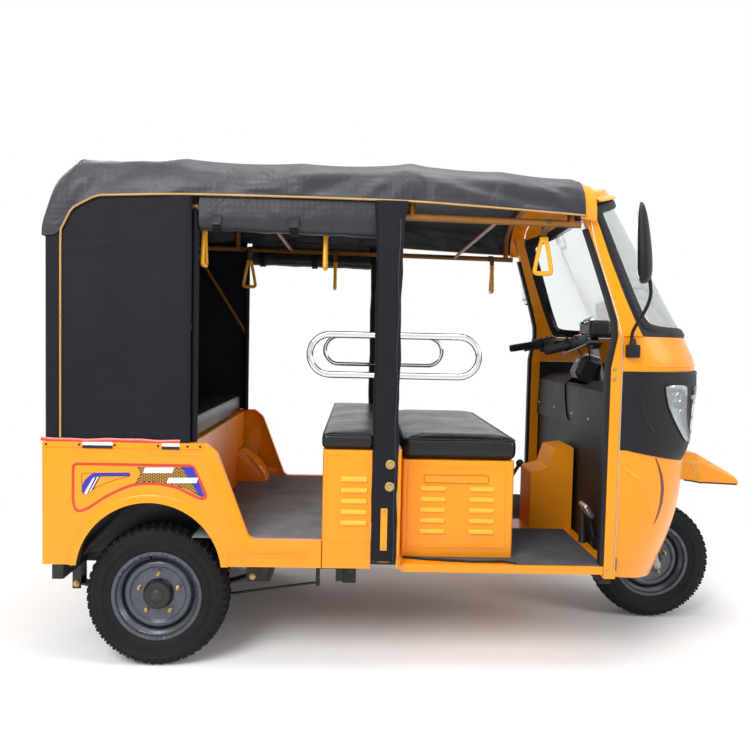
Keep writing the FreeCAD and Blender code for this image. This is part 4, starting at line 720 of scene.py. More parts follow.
    def smooth(self, piece: Piece, angle: float = 35.0) -> None:
        """Shades the piece smooth except over edges sharper than the angle, in degrees."""
        self.pick(piece)
        bpy.ops.object.shade_smooth_by_angle(angle=math.radians(angle))

    def join(self, name: str, parts: Sequence[Piece]) -> Piece:
        """Joins several meshes into the first one.

        Args:
            name: the joined piece's name.
            parts: the mesh objects, at least one.
        Returns:
            The joined piece.
        """
        self.deselect()
        for part in parts:
            part.select_set(True)
        bpy.context.view_layer.objects.active = parts[0]
        if len(parts) > 1:
            bpy.ops.object.join()
        parts[0].name = name
        return parts[0]

    def twin(self, piece: Piece, name: str, matrix: Optional[Matrix] = None) -> Piece:
        """Copy with a mesh of its own, by default mirrored to the vehicle's left.

        Args:
            piece: the finished mesh object.
            name: the copy's name.
            matrix: where the copy goes; mirrored over Y when left out.
        Returns:
            The copy.
        """
        copy = bpy.data.objects.new(name, piece.data.copy())
        bpy.context.collection.objects.link(copy)
        if matrix is None:
            copy.data.transform(Matrix.Diagonal((1, -1, 1, 1)))
            copy.data.flip_normals()
        else:
            copy.data.transform(matrix)
        return copy

    def finish(self, piece: Piece, finish: str, body: str = "", angle: float = 35.0,
               smooth: bool = True) -> Piece:
        """Gives a piece its finish and its body, and reports it.

        Args:
            piece: the finished mesh object.
            finish: a finish's name in the paintbox.
            body: the body it rides on, or the assembly's own when empty.
            angle: shading angle in degrees.
            smooth: whether it is shaded smooth by angle at all.
        Returns:
            The same piece.
        """
        if smooth:
            self.smooth(piece, angle)
        if not piece.data.materials:
            piece.data.materials.append(PAINT.get(finish))
        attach(piece, body or self.body)
        LOG.info("%s: %s, %d faces", piece.name, finish, len(piece.data.polygons))
        return piece

    def mirror(self, right: Piece, finish: str, body: str = "", angle: float = 35.0,
               smooth: bool = True) -> None:
        """Makes and finishes the left twin of a finished piece that has right in its name.

        Args:
            right: the finished right-hand piece.
            finish: a finish's name in the paintbox.
            body: the body it rides on, or the assembly's own when empty.
            angle: shading angle in degrees.
            smooth: whether it is shaded smooth by angle at all.
        """
        self.finish(self.twin(right, right.name.replace("right", "left")), finish, body, angle, smooth)

    def pair(self, right: Piece, finish: str, body: str = "", angle: float = 35.0,
             smooth: bool = True) -> Piece:
        """Finishes a piece that has right in its name, and its left twin.

        Args:
            right: the right-hand piece.
            finish: a finish's name in the paintbox.
            body: the body both ride on, or the assembly's own when empty.
            angle: shading angle in degrees.
            smooth: whether they are shaded smooth by angle at all.
        Returns:
            The right-hand piece.
        """
        self.finish(right, finish, body, angle, smooth)
        self.mirror(right, finish, body, angle, smooth)
        return right

    def second_finish(self, piece: Piece, finish: str, check: Check) -> None:
        """Gives some faces of a finished piece a second finish.

        Args:
            piece: the finished mesh object.
            finish: a finish's name in the paintbox.
            check: says yes to those faces, from their centre in metres and their normal.
        """
        piece.data.materials.append(PAINT.get(finish))
        with self.faces(piece, check):
            piece.active_material_index = 1
            bpy.ops.object.material_slot_assign()

    def bolt_pair(self, name: str, where: Vector, size: float, finish: str = "yellow_zinc") -> None:
        """Bolt on the right side and its left twin, from a name without a side."""
        self.mirror(self.bolt(name + "_right", where, size, finish=finish), finish)

    def bolt(self, name: str, where: Vector, size: float, axis: Point = (0, -1, 0), body: str = "",
             finish: str = "yellow_zinc") -> Piece:
        """Washer and domed hexagon head that stands out along the axis.

        Args:
            name: the piece's name.
            where: the middle of its seat, in millimetres.
            size: the head's radius in millimetres.
            axis: the way it stands out.
            body: the body it rides on.
            finish: the finish's name.
        Returns:
            The finished piece.
        """
        rim = ((0, 0), (size * 1.5, 0), (size * 1.5, size * 0.16), (size * 1.4, size * 0.24),
               (0, size * 0.24))
        washer = self.turned(name + "_washer", rim, where * MM, axis, 24)
        hexagon = ((0, size * 0.2), (size, size * 0.2), (size, size * 0.62), (size * 0.86, size * 0.8),
                   (0, size * 0.84))
        head = self.turned(name, hexagon, where * MM, axis, 6)
        return self.finish(self.join(name, [head, washer]), finish, body)


def span(node: str) -> tuple[Vector, Vector]:
    """Lowest and highest corner of a CAD node in millimetres."""
    low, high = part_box(node)
    return Vector(low) / MM, Vector(high) / MM


def arc_through(a: Vector, middle: Vector, b: Vector, count: int) -> list[Vector]:
    """Points evenly along the circle through three points of the YZ plane.

    Args:
        a: first point, left out of the result.
        middle: any point between.
        b: last point, kept in the result.
        count: how many points.
    Returns:
        The points after a, up to b.
    """
    ax, ay, bx, by, cx, cy = a.y, a.z, middle.y, middle.z, b.y, b.z
    d = 2 * (ax * (by - cy) + bx * (cy - ay) + cx * (ay - by))
    uy = ((ax**2 + ay**2) * (by - cy) + (bx**2 + by**2) * (cy - ay) + (cx**2 + cy**2) * (ay - by)) / d
    uz = ((ax**2 + ay**2) * (cx - bx) + (bx**2 + by**2) * (ax - cx) + (cx**2 + cy**2) * (bx - ax)) / d
    radius = math.hypot(ax - uy, ay - uz)
    start = math.atan2(ay - uz, ax - uy)
    turn = math.atan2(cy - uz, cx - uy) - start
    turn = (turn + math.pi) % (2 * math.pi) - math.pi
    spots = []
    for i in range(1, count + 1):
        angle = start + turn * i / count
        spots.append(Vector((a.x, uy + radius * math.cos(angle), uz + radius * math.sin(angle))))
    return spots


def between(table: Outline, x: float) -> float:
    """Reads a table in straight lines between its rows.

    Args:
        table: (x, value) pairs with x rising.
        x: where it is read; beyond its ends the last value holds.
    Returns:
        The value there.
    """
    for (x0, v0), (x1, v1) in zip(table, table[1:]):
        if x <= x1 or (x1, v1) == table[-1]:
            share = min(1.0, max(0.0, (x - x0) / (x1 - x0)))
            return v0 + (v1 - v0) * share
    return table[-1][1]


# ---- canopy -----------------------------------------------------------------------
@dataclass(frozen=True)
class RoofSection:
    """One cross-section of the roof cloth, in millimetres."""

    x: float
    crown: float
    half: float
    fall: float


@dataclass(frozen=True)
class Fold:
    """A crease in cloth: where it is in side view, its slope, size and height outwards."""

    x: float
    z: float
    slope: float
    length: float
    width: float
    height: float

    def at(self, x: float, z: float) -> float:
        """How far this fold lifts the cloth at a point of the side view.

        Args:
            x: millimetres along the vehicle.
            z: millimetres above the floor.
        Returns:
            Millimetres outwards.
        """
        turn = math.radians(self.slope)
        along = (x - self.x) * math.cos(turn) + (z - self.z) * math.sin(turn)
        across = -(x - self.x) * math.sin(turn) + (z - self.z) * math.cos(turn)
        return self.height * math.exp(-(along / self.length) ** 2 - (across / self.width) ** 2)


@dataclass
class Canopy(Assembly):
    """Canvas roof, quarter cloths, rear cloth with its window, rolled sides and pillar sleeves."""

    sections: tuple[RoofSection, ...] = (
        RoofSection(-1388, 1688, 622, 30), RoofSection(-1358, 1800, 622, 30),
        RoofSection(-1285, 1862, 622, 30), RoofSection(-919, 1872, 622, 30),
        RoofSection(-500, 1866, 622, 30), RoofSection(-107, 1876, 622, 30), RoofSection(220, 1868, 616, 40),
        RoofSection(480, 1862, 600, 50), RoofSection(504, 1860, 594.6, 54.8))
    hood: tuple[RoofSection, ...] = (
        RoofSection(492, 1861, 597.3, 52.4), RoofSection(520, 1859, 591.0, 57.9),
        RoofSection(554, 1856.4, 583.3, 64.8))
    hem: Outline = (
        (-1388, 1540), (-1330, 1544), (-1318, 1570), (-1286, 1634), (-1202, 1680), (-919, 1692),
        (-500, 1692), (-107, 1688), (220, 1672), (480, 1660), (560, 1656))
    bend: Outline = (
        # x and z where the cloth turns from its upright side into the shoulder
        (-1388, 1560), (-1358, 1606), (-1285, 1668), (-919, 1692), (-500, 1692), (-107, 1688), (220, 1672),
        (480, 1660), (560, 1656))
    wing_top: Outline = ((-1386, 1.585), (-1324, 1.64))
    sag: tuple[float, ...] = (0, 1, 13, 12, 12, 9, 7, 1)
    folds: tuple[Fold, ...] = (
        Fold(-1170, 1800, 8, 150, 15, 5), Fold(-1120, 1770, 28, 130, 16, -5),
        Fold(-1250, 1735, 58, 110, 14, 5), Fold(-1010, 1812, -6, 120, 14, 4),
        Fold(-830, 1722, 10, 190, 17, 6), Fold(-700, 1748, 16, 170, 20, -5),
        Fold(-600, 1716, -6, 150, 15, 7), Fold(-520, 1760, 12, 150, 20, 6),
        Fold(-420, 1728, 26, 110, 15, -5), Fold(-300, 1790, 6, 180, 22, 5), Fold(-240, 1735, 40, 120, 16, 6),
        Fold(-150, 1745, 72, 90, 13, 5), Fold(-60, 1740, 82, 100, 12, -5), Fold(60, 1740, -18, 150, 18, 5),
        Fold(210, 1772, -8, 190, 22, 5), Fold(260, 1716, -12, 170, 15, -5), Fold(400, 1722, -38, 100, 14, 6),
        Fold(452, 1760, -20, 90, 13, 6), Fold(500, 1700, -58, 70, 12, 6), Fold(528, 1740, -75, 60, 10, -5))
    # thickness of the canvas, and where its sides' feet lie on the tub's rail
    cloth: float = 2.4
    foot: float = 828.0
    # middle of the rolled side cloth, its radius and that of the straps round it
    roll_y: float = 583.0
    roll_z: float = 1607.0
    roll_radius: float = 33.5
    roll_slope: float = 10.0
    strap_radius: float = 37.5
    strap_places: Spot = (-790.0, -522.0)
    hood_in: float = 4.5
    hood_drop: float = 10.0
    piping_radius: float = 3.6
    curtain_front: float = -880.0
    piping_x: float = -1324.0

    def outline(self, section: RoofSection, low: float) -> list[Vector]:
        """Points of one cross-section from the right hem over the crown to the left hem.

        Args:
            section: the cross-section's place and size.
            low: the hem's height in millimetres.
        Returns:
            The points in millimetres.
        """
        x, half = section.x, section.half
        shoulder = Vector((x, half - 150, section.crown - section.fall))
        edge = between(self.bend, x)
        bulge = Vector((x, half - 37.5, edge + (shoulder.z - edge) * 0.72))
        top = Vector((x, half, edge + 12))
        bottom = Vector((x, half, low))
        left = [bottom, bottom.lerp(top, 0.34), bottom.lerp(top, 0.67), top]
        left += arc_through(top, bulge, shoulder, 12)
        left += arc_through(shoulder, Vector((x, 0, section.crown)), Vector((x, -shoulder.y, shoulder.z)),
                            36)[:18]
        right = [Vector((x, -p.y, p.z)) for p in left]
        return right + left[-2::-1]

    @staticmethod
    def outwards(spot: Vector, section: RoofSection) -> Vector:
        """Way out of the roof at a point of a cross-section: level on its side, upright at its crown."""
        return Vector((0, spot.y / section.half, max(0.0, (spot.z - 1640) / 230))).normalized()

    def roof_rows(self) -> list[list[Vector]]:
        """Lays out the roof cloth from the front hem to the foot of the rear flap.

        Returns:
            Its rows of points in metres, each from the right hem to the left one.
        """
        rows = []
        for number in range(len(self.sections) - 1, 0, -1):
            front, back = self.sections[number], self.sections[number - 1]
            steps = max(2, round((front.x - back.x) / 24))
            for i in range(steps + (1 if number == 1 else 0)):
                share = i / steps
                x = front.x + (back.x - front.x) * share
                mix = RoofSection(x, front.crown + (back.crown - front.crown) * share,
                                  front.half + (back.half - front.half) * share,
                                  front.fall + (back.fall - front.fall) * share)
                # the cloth hangs a little between its hoops, and the hoops' ridges are soft
                slack = self.sag[number - 1] * math.sin(math.pi * share) ** 0.8
                row = []
                for spot in self.outline(mix, between(self.hem, x)):
                    away = self.outwards(spot, mix)
                    lift = sum(fold.at(x + (40 if spot.y > 0 else 0), spot.z) for fold in self.folds)
                    edge = min(1.0, abs(spot.z - between(self.hem, x)) / 30)
                    row.append((spot + away * (lift * edge * 1.7 - slack * edge)) * MM)
                rows.append(row)
        last = rows[-1]
        foot = min(p.z for p in last)
        for share in (0.75, 0.5, 0.25, 0.0):
            rows.append([Vector((p.x, p.y, foot + (p.z - foot) * share)) for p in last])
        return rows

    def flat_size(self, rows: Rows) -> Spot:
        """Size that a sheet of these rows was cut to.

        Args:
            rows: its points, row by row, in metres.
        Returns:
            Its longest row by its longest column, in metres.
        """
        across, along = (max(sum((b - a).length for a, b in zip(line, line[1:])) for line in lines)
                         for lines in (rows, list(zip(*rows))))
        return across, along

    def sheet(self, name: str, rows: Rows, finish: str, held: str, rests: Sequence[str],
              nodes: Sequence[str] = (), levels: int = 1, thick: float = 0.0) -> Piece:
        """Sheet of cloth from its rows, thickened and smoothed.

        Args:
            name: the piece's name.
            rows: its points, row by row, in metres.
            finish: a finish's name.
            held: how the cloth is held; not used.
            rests: what it hangs from or lies on; not used.
            nodes: CAD nodes that it stands for.
            levels: how often it is subdivided.
            thick: thickness in millimetres, or the canopy's own when nought.
        Returns:
            The finished piece.
        """
        piece = self.web(name, rows)
        if levels:
            self.subdivide(piece, levels)
        self.thicken(piece, thick or self.cloth)
        self.finish(piece, finish, angle=60)
        if nodes:
            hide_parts(*nodes)
        return piece

    def sheet_pair(self, name: str, rows: Rows, finish: str, held: str, node: str,
                   thick: float = 0.0) -> None:
        """Sheet on the right side and its mirrored twin, both hung from the canopy's tubes.

        Args:
            name: the pieces' name without their side.
            rows: the right one's points, row by row, in metres.
            finish: a finish's name.
            held: how the cloth is held.
            node: the CAD node of both, which the right one stands for.
            thick: thickness in millimetres, or the canopy's own when nought.
        """
        for word, lines, nodes in (("right", rows, [node]), ("left", mirrored(rows), [])):
            self.sheet(f"{name}_{word}", lines, finish, held, ["canopy_frame"], nodes, thick=thick)

    def build_hood(self) -> None:
        """Enamelled sheet that shows between the cloth's front edge and the windscreen."""
        rows = []
        for section in self.hood:
            row = []
            for spot in self.outline(section, between(self.hem, section.x) - self.hood_drop):
                row.append((spot - self.outwards(spot, section) * self.hood_in) * MM)
            rows.append(row)
        band = self.web("hood_band", rows)
        self.thicken(band, 1.6)
        self.finish(band, "yellow_enamel", angle=50)

    def build_roof(self) -> None:
        """Roof cloth with the seams over its hoops and the piping along its hem."""
        rows = self.roof_rows()
        self.sheet("roof_cloth", rows, "coated_canvas", "stretched", ["canopy_frame"], ["canopy_roof"])
        for section in self.sections[2:8]:
            if section.x in (-500, 220):
                continue
            hoop = self.outline(section, between(self.hem, section.x))[2:-2:3]
            name = f"roof_seam_{abs(int(section.x))}"
            seam = self.bar(name, [p * MM + point(0, 0, 1.2) for p in hoop], 1.7, sides=1)
            # the seams take the darker canvas: painted shade along them
            self.finish(seam, "coated_canvas_painted_shade")
        hem_x = [506, 480, 350, 220, 60, -107, -300, -500, -710, -919, -1060, -1150, -1202, -1250, -1286,
                 -1306, -1318, -1324, -1325, -1325, -1325, -1325, -1325]
        lows = [1562, 1500, 1400, 1200, 1000, 838]
        right = []
        for i, x in enumerate(hem_x):
            low = between(self.hem, x) if i < 17 else lows[i - 17]
            half = between([(s.x, s.half) for s in self.sections], x) if i < 17 else 620.5
            right.append(point(x, -half - 2.0, low + 1.0))
        self.pair(self.bar("hem_piping_right", right, self.piping_radius, sides=2), "gold_piping")
        front = [p * MM + point(3, 0, 0) for p in self.outline(self.sections[-1], 1656)[::3]]
        self.finish(self.bar("front_hem", front, 3.0, sides=2), "coated_canvas")

    def quarter_rows(self) -> list[list[Vector]]:
        """Lays out the right quarter cloth from the tub's rail up into the roof's hem.

        Returns:
            Its rows of points in metres, each from the rear to the front.
        """
        rows = []
        top = ((-1324, 1642), (-1285, 1676), (-880, 1698))
        for i in range(29):
            row = []
            for j in range(25):
                x = self.piping_x + (self.curtain_front - self.piping_x) * j / 24
                z = self.foot + (between(top, x) - self.foot) * i / 28
                # nothing moves at the rail and at the roof, and most halfway up
                free = math.sin(math.pi * i / 28)
                billow = 3.5 * math.sin(math.pi * j / 24) * free
                drape = 1.6 * math.sin(x / 61 + z / 330) * free
                drape += 3.0 * math.exp(-((x + 1090 + (z - 1300) * 0.42) / 36) ** 2) * free
                drape -= 2.5 * math.exp(-((x + 960 - (z - 1150) * 0.2) / 30) ** 2) * free
                row.append(point(x, -616.8 - billow * 0.3 - drape * 0.6, z))
            rows.append(row)
        return rows

    def build_sides(self) -> None:
        """Quarter cloths with their sewn front hems."""
        # the quarter cloths and their hems take the darker canvas: painted shade on the upright sides
        self.sheet_pair("quarter_cloth", self.quarter_rows(), "coated_canvas_painted_shade", "stretched",
                        "side_curtains")
        for side, word in SIDES:
            hem = []
            for i in range(30):
                z = 826.8 + (1696 - 826.8) * i / 29
                wave = 1.2 * math.sin(i * 0.9) + 0.8 * math.sin(i * 0.37)
                hem.append([point(-951, side * 619.2, z), point(-946, side * (621.2 + wave * 0.2), z),
                            point(-912, side * (621.8 + wave * 0.5), z),
                            point(-880, side * (620.8 + wave * 0.4), z), point(-873 + wave, side * 614, z),
                            point(-880, side * 606, z)][::side])
            self.sheet(f"quarter_hem_{word}", hem, "coated_canvas_painted_shade", "stretched",
                       [f"quarter_cloth_{word}"], thick=1.6)

    def build_rear(self) -> None:
        """Rear cloth with its wings round the corners, its clear window and the window's binding."""
        rows = []
        for i in range(25):
            z = self.foot + (1640 - self.foot) * i / 24
            bow = 5 * math.sin(math.pi * i / 24)
            line = [point(-1325, -617, z), point(-1350, -617.5, z), point(-1374, -617, z),
                    point(-1384, -607, z)]
            line += [point(-1385.2 - bow * math.cos(y / 640 * math.pi / 2) * 0.2, y, z)
                     for y in range(-580, 600, 40)]
            line += [point(-1384, 607, z), point(-1374, 617, z), point(-1350, 617.5, z),
                     point(-1325, 617, z)]
            rows.append([Vector((p.x, p.y, min(p.z, between(self.wing_top, p.x / MM)))) for p in line])
        rear = self.web("rear_cloth", rows)
        low, high = span("rear_window")
        hole = (low.y + 14, high.y - 14, low.z + 14, high.z - 14)
        with self.faces(rear, lambda c, _: hole[0] < c.y / MM < hole[1] and hole[2] < c.z / MM < hole[3]):
            bpy.ops.mesh.delete(type="FACE")
        self.subdivide(rear, 1)
        self.thicken(rear, self.cloth)
        # the rear cloth takes the darker canvas: painted shade
        self.finish(rear, "coated_canvas_painted_shade", angle=60)
        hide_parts("rear_curtain")
        pane = self.block("rear_window_film", (low.x + 1.2, low.y, low.z), (low.x + 2.4, high.y, high.z),
                          0.3, 1)
        self.finish(pane, "clear_film")
        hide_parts("rear_window")
        frame_line = [point(-1388.6, y, z) for y, z in
                      ((0, low.z + 8), (low.y + 8, low.z + 8), (low.y + 8, high.z - 8),
                       (high.y - 8, high.z - 8), (high.y - 8, low.z + 8), (0, low.z + 8))]
        self.finish(self.bar("rear_window_binding", frame_line, 3.0, smooth=False, sides=2), "gold_piping")

    def build_rolls(self) -> None:
        """Side cloths rolled up under the roof's rail, each with two straps and buckles."""
        low, high = span("rolled_curtains")
        x0, x1 = low.x + 2, high.x - 2
        rows = []
        for i in range(41):
            x = x0 + (x1 - x0) * i / 40
            drop = (x - x0) / (x1 - x0) * self.roll_slope
            wave = 1.6 * math.sin(i * 0.55) + 1.0 * math.sin(i * 1.31 + 1)
            centre_y, centre_z = self.roll_y - 0.0146 * (x + 850), self.roll_z - drop
            row = [point(x, -611, 1694), point(x, -613.5, 1672), point(x, -615, 1648),
                   point(x, -616.5, 1624)]
            for k in range(22):
                angle = math.radians(-6 - 31 * k)
                radius = self.roll_radius - 0.85 * k + wave * (0.9 if k < 14 else 0.3)
                row.append(point(x, -centre_y - radius * math.cos(angle),
                                 centre_z + radius * math.sin(angle)))
            rows.append(row[::-1])
        self.sheet_pair("rolled_cloth", rows, "coated_canvas", "folded", "rolled_curtains")
        for number, x in enumerate(self.strap_places):
            drop = (x - x0) / (x1 - x0) * self.roll_slope
            strip = []
            for k in range(19):
                angle = math.radians(100 - 340 * k / 18)
                y = -self.roll_y - self.strap_radius * math.cos(angle)
                z = self.roll_z - drop + self.strap_radius * math.sin(angle)
                strip.append([point(x - 14, y, z), point(x + 14, y, z)])
            strap = self.web(f"roll_strap_{number}_right", strip)
            self.thicken(strap, 1.4)
            # the straps take the darker canvas: painted shade
            self.pair(strap, "coated_canvas_painted_shade", angle=60)
            buckle = self.block(f"strap_buckle_{number}_right", (x - 18, -627, 1592 - drop),
                                (x + 18, -620, 1628 - drop), 1.5)
            with self.faces(buckle, lambda centre, _: centre.y < -0.6265):
                bpy.ops.mesh.inset(thickness=6 * MM, depth=-3 * MM)
            self.pair(buckle, "black_switch_plastic")

    def build_pillars(self) -> None:
        """Canvas sleeves laced round the centre pillars, with their bolts and yellow straps."""
        low, high = span("pillar_covers")
        x0, x1, z0, z1 = low.x, high.x, low.z, high.z
        rows = []
        for i in range(61):
            z = z0 + (z1 - z0) * i / 60
            flare = 16 * max(0.0, (z - 1480) / 200) ** 2
            wave = 2.6 * math.sin(i * 0.41) + 1.6 * math.sin(i * 0.93 + 1.2) + 0.8 * math.sin(i * 2.1)
            rear, front = x0 - flare * 0.6 + wave * 0.5, x1 + flare + wave * 0.7
            middle = (rear + front) / 2
            ring = [(rear + 8, 637), (rear + 26, 638 + wave * 0.3), (middle - 8, 636.5 - wave * 0.4),
                    (middle + 12, 638 + wave * 0.3), (front - 20, 637), (front - 6, 636), (front, 629),
                    (front - 2, 612), (front - 8, 602.5), (front - 24, 601), (middle, 601), (rear + 24, 601),
                    (rear + 8, 602.5), (rear + 1, 612), (rear, 629), (rear + 8, 637)]
            rows.append([point(x, -y, z) for x, y in ring])
        # the sleeves take the darker canvas: painted shade
        self.sheet_pair("pillar_sleeve", rows, "coated_canvas_painted_shade", "stretched", "pillar_covers", thick=2.0)
        edge = [point(x1 - 12 + 2.2 * math.sin(i * 0.7), -638.5, z0 + (z1 - z0 - 60) * i / 40)
                for i in range(41)]
        self.pair(self.bar("sleeve_seam_right", edge, 1.6, sides=1), "coated_canvas")
        strip = self.block("sleeve_strip_right", (-197, -642.5, 459), (-173, -639.6, 610), 1.2)
        self.pair(strip, "yellow_enamel")
        bolts = ((-167, 766, 11), (-168, 687, 11), (-185, 600, 4.5), (-185, 470, 4.5))
        for number, (x, z, size) in enumerate(bolts):
            seat = Vector((x, -639.5 if size > 6 else -642.5, z))
            self.bolt_pair(f"pillar_bolt_{number}", seat, size)

    def build(self) -> None:
        """Makes the canopy's cloths and dresses its tube frame."""
        self.build_hood()
        self.build_roof()
        self.build_sides()
        self.build_rear()
        self.build_rolls()
        self.build_pillars()
        # the tubes' brown enamel is painted shade on their yellow paint
        tubes = self.finish(self.copy_node("canopy_frame", "canopy_tubes"), "tube_enamel_painted_shade")
        # cloth is wrapped round the rear uprights, in the darker canvas of painted shade
        self.second_finish(tubes, "coated_canvas_painted_shade",
                           lambda c, _: -884 < c.x / MM < -852 and c.z < 1.66 and abs(c.y) > 0.56)


# ---- studio -----------------------------------------------------------------------
@dataclass(frozen=True)
class SoftLight:
    """One large area light: where it stands, what it looks at, its size in metres and its power in watts."""

    name: str
    where: Point
    target: Point
    size: float
    power: float
    colour: str = "#FFFFFF"


@dataclass
class Studio(Assembly):
    """Camera, soft lights, a pale floor and a white surround."""

    camera_at: Point = (-0.287, -3.120, 1.203)
    yaw: float = 1.37
    pitch: float = 2.82
    roll: float = 1.25
    lens: float = 34.08
    floor_size: float = 24.0
    lights: tuple[SoftLight, ...] = (
        SoftLight("key", (-2.6, -4.2, 4.4), (0.0, 0.0, 0.9), 3.2, 200.0),
        SoftLight("top", (0.2, -0.4, 4.8), (0.0, 0.0, 0.6), 3.4, 135.0),
        SoftLight("nose", (4.6, -2.6, 2.6), (0.9, 0.0, 0.8), 2.4, 60.0),
        SoftLight("back", (-3.4, 3.4, 3.2), (-0.4, 0.0, 0.9), 2.6, 80.0))
    ambient: float = 0.5

    def build_camera(self) -> None:
        """Sets the camera from its yaw, its pitch down and its roll, in degrees."""
        yaw, pitch, roll = (math.radians(a) for a in (self.yaw, self.pitch, self.roll))
        ahead = Vector((math.sin(yaw) * math.cos(pitch), math.cos(yaw) * math.cos(pitch), -math.sin(pitch)))
        level = Vector((math.cos(yaw), -math.sin(yaw), 0.0))
        upright = level.cross(ahead)
        right = level * math.cos(roll) + upright * math.sin(roll)
        up = right.cross(ahead)
        data = bpy.data.cameras.new("camera")
        data.lens = self.lens
        data.sensor_width = 36.0
        camera = bpy.data.objects.new("camera", data)
        turn = Matrix((right, up, -ahead)).transposed()
        camera.matrix_world = Matrix.Translation(Vector(self.camera_at)) @ turn.to_4x4()
        bpy.context.collection.objects.link(camera)
        bpy.context.scene.camera = camera

    def build_world(self) -> None:
        """White where the camera, a gloss or a clear pane looks out, and a soft grey light elsewhere."""
        world = bpy.data.worlds.new("surround")
        bpy.context.scene.world = world
        world.use_nodes = True
        tree = world.node_tree
        tree.nodes.clear()
        path = add_node(tree, "LightPath")
        seen = add_node(tree, "Math", {0: path.outputs["Is Camera Ray"], 1: path.outputs["Is Glossy Ray"]},
                        operation="MAXIMUM")
        seen = add_node(tree, "Math", {0: seen.outputs[0], 1: path.outputs["Is Transmission Ray"]},
                        operation="MAXIMUM")
        soft = add_node(tree, "Background", {"Color": linear("#F2F5FA"), "Strength": self.ambient})
        white = add_node(tree, "Background", {"Color": (1.0, 1.0, 1.0, 1.0), "Strength": 1.0})
        mixed = add_node(tree, "MixShader", {0: seen.outputs[0], 1: soft.outputs[0], 2: white.outputs[0]})
        add_node(tree, "OutputWorld", {"Surface": mixed.outputs[0]})

    def build_lights(self) -> None:
        """Places the area lights, each turned to its target."""
        for light in self.lights:
            data = bpy.data.lights.new(light.name, "AREA")
            data.shape = "DISK"
            data.size = light.size
            data.energy = light.power
            data.color = linear(light.colour)[:3]
            lamp = bpy.data.objects.new(light.name, data)
            lamp.location = light.where
            look = Vector(light.target) - Vector(light.where)
            lamp.rotation_euler = look.to_track_quat("-Z", "Y").to_euler()
            bpy.context.collection.objects.link(lamp)

    def floor_material(self) -> bpy.types.Material:
        """Pale matt floor paint that fades to the white surround away from the vehicle.

        Returns:
            The material.
        """
        material, tree = blank_material("pale_floor")
        where = add_node(tree, "TexCoord").outputs["Object"]
        speck = add_node(tree, "TexNoise", {"Vector": where, "Scale": 3.0, "Detail": 4.0})
        tint = add_node(tree, "Mix", {0: speck.outputs["Fac"], 6: linear("#F7F7F7"), 7: linear("#FFFFFF")},
                        data_type="RGBA").outputs[2]
        matt = add_node(tree, "BsdfDiffuse", {"Color": tint, "Roughness": 0.6})
        glow = add_node(tree, "Emission", {"Color": (1.0, 1.0, 1.0, 1.0), "Strength": 1.0})
        far = add_node(tree, "VectorMath", {0: where}, operation="LENGTH")
        fade = add_node(tree, "MapRange", {"Value": far.outputs["Value"], "From Min": 1.7, "From Max": 3.2},
                        interpolation_type="SMOOTHSTEP")
        eye = add_node(tree, "LightPath").outputs["Is Camera Ray"]
        share = add_node(tree, "Math", {0: fade.outputs[0], 1: eye}, operation="MULTIPLY")
        mixed = add_node(tree, "MixShader", {0: share.outputs[0], 1: matt.outputs[0], 2: glow.outputs[0]})
        add_node(tree, "OutputMaterial", {"Surface": mixed.outputs[0]})
        return material

    def build_floor(self) -> None:
        """Plain pale floor at the height of the tyres' feet."""
        self.deselect()
        bpy.ops.mesh.primitive_plane_add(size=self.floor_size, location=(0, 0, 0))
        floor = bpy.context.object
        floor.name = "floor"
        floor.data.materials.append(self.floor_material())

    def build(self) -> None:
        """Sets up all that isn't the vehicle."""
        self.build_camera()
        self.build_world()
        self.build_lights()
        self.build_floor()
        view = bpy.context.scene.view_settings
        view.view_transform = "Standard"
        LOG.info("studio: camera, %d lights and the floor", len(self.lights))


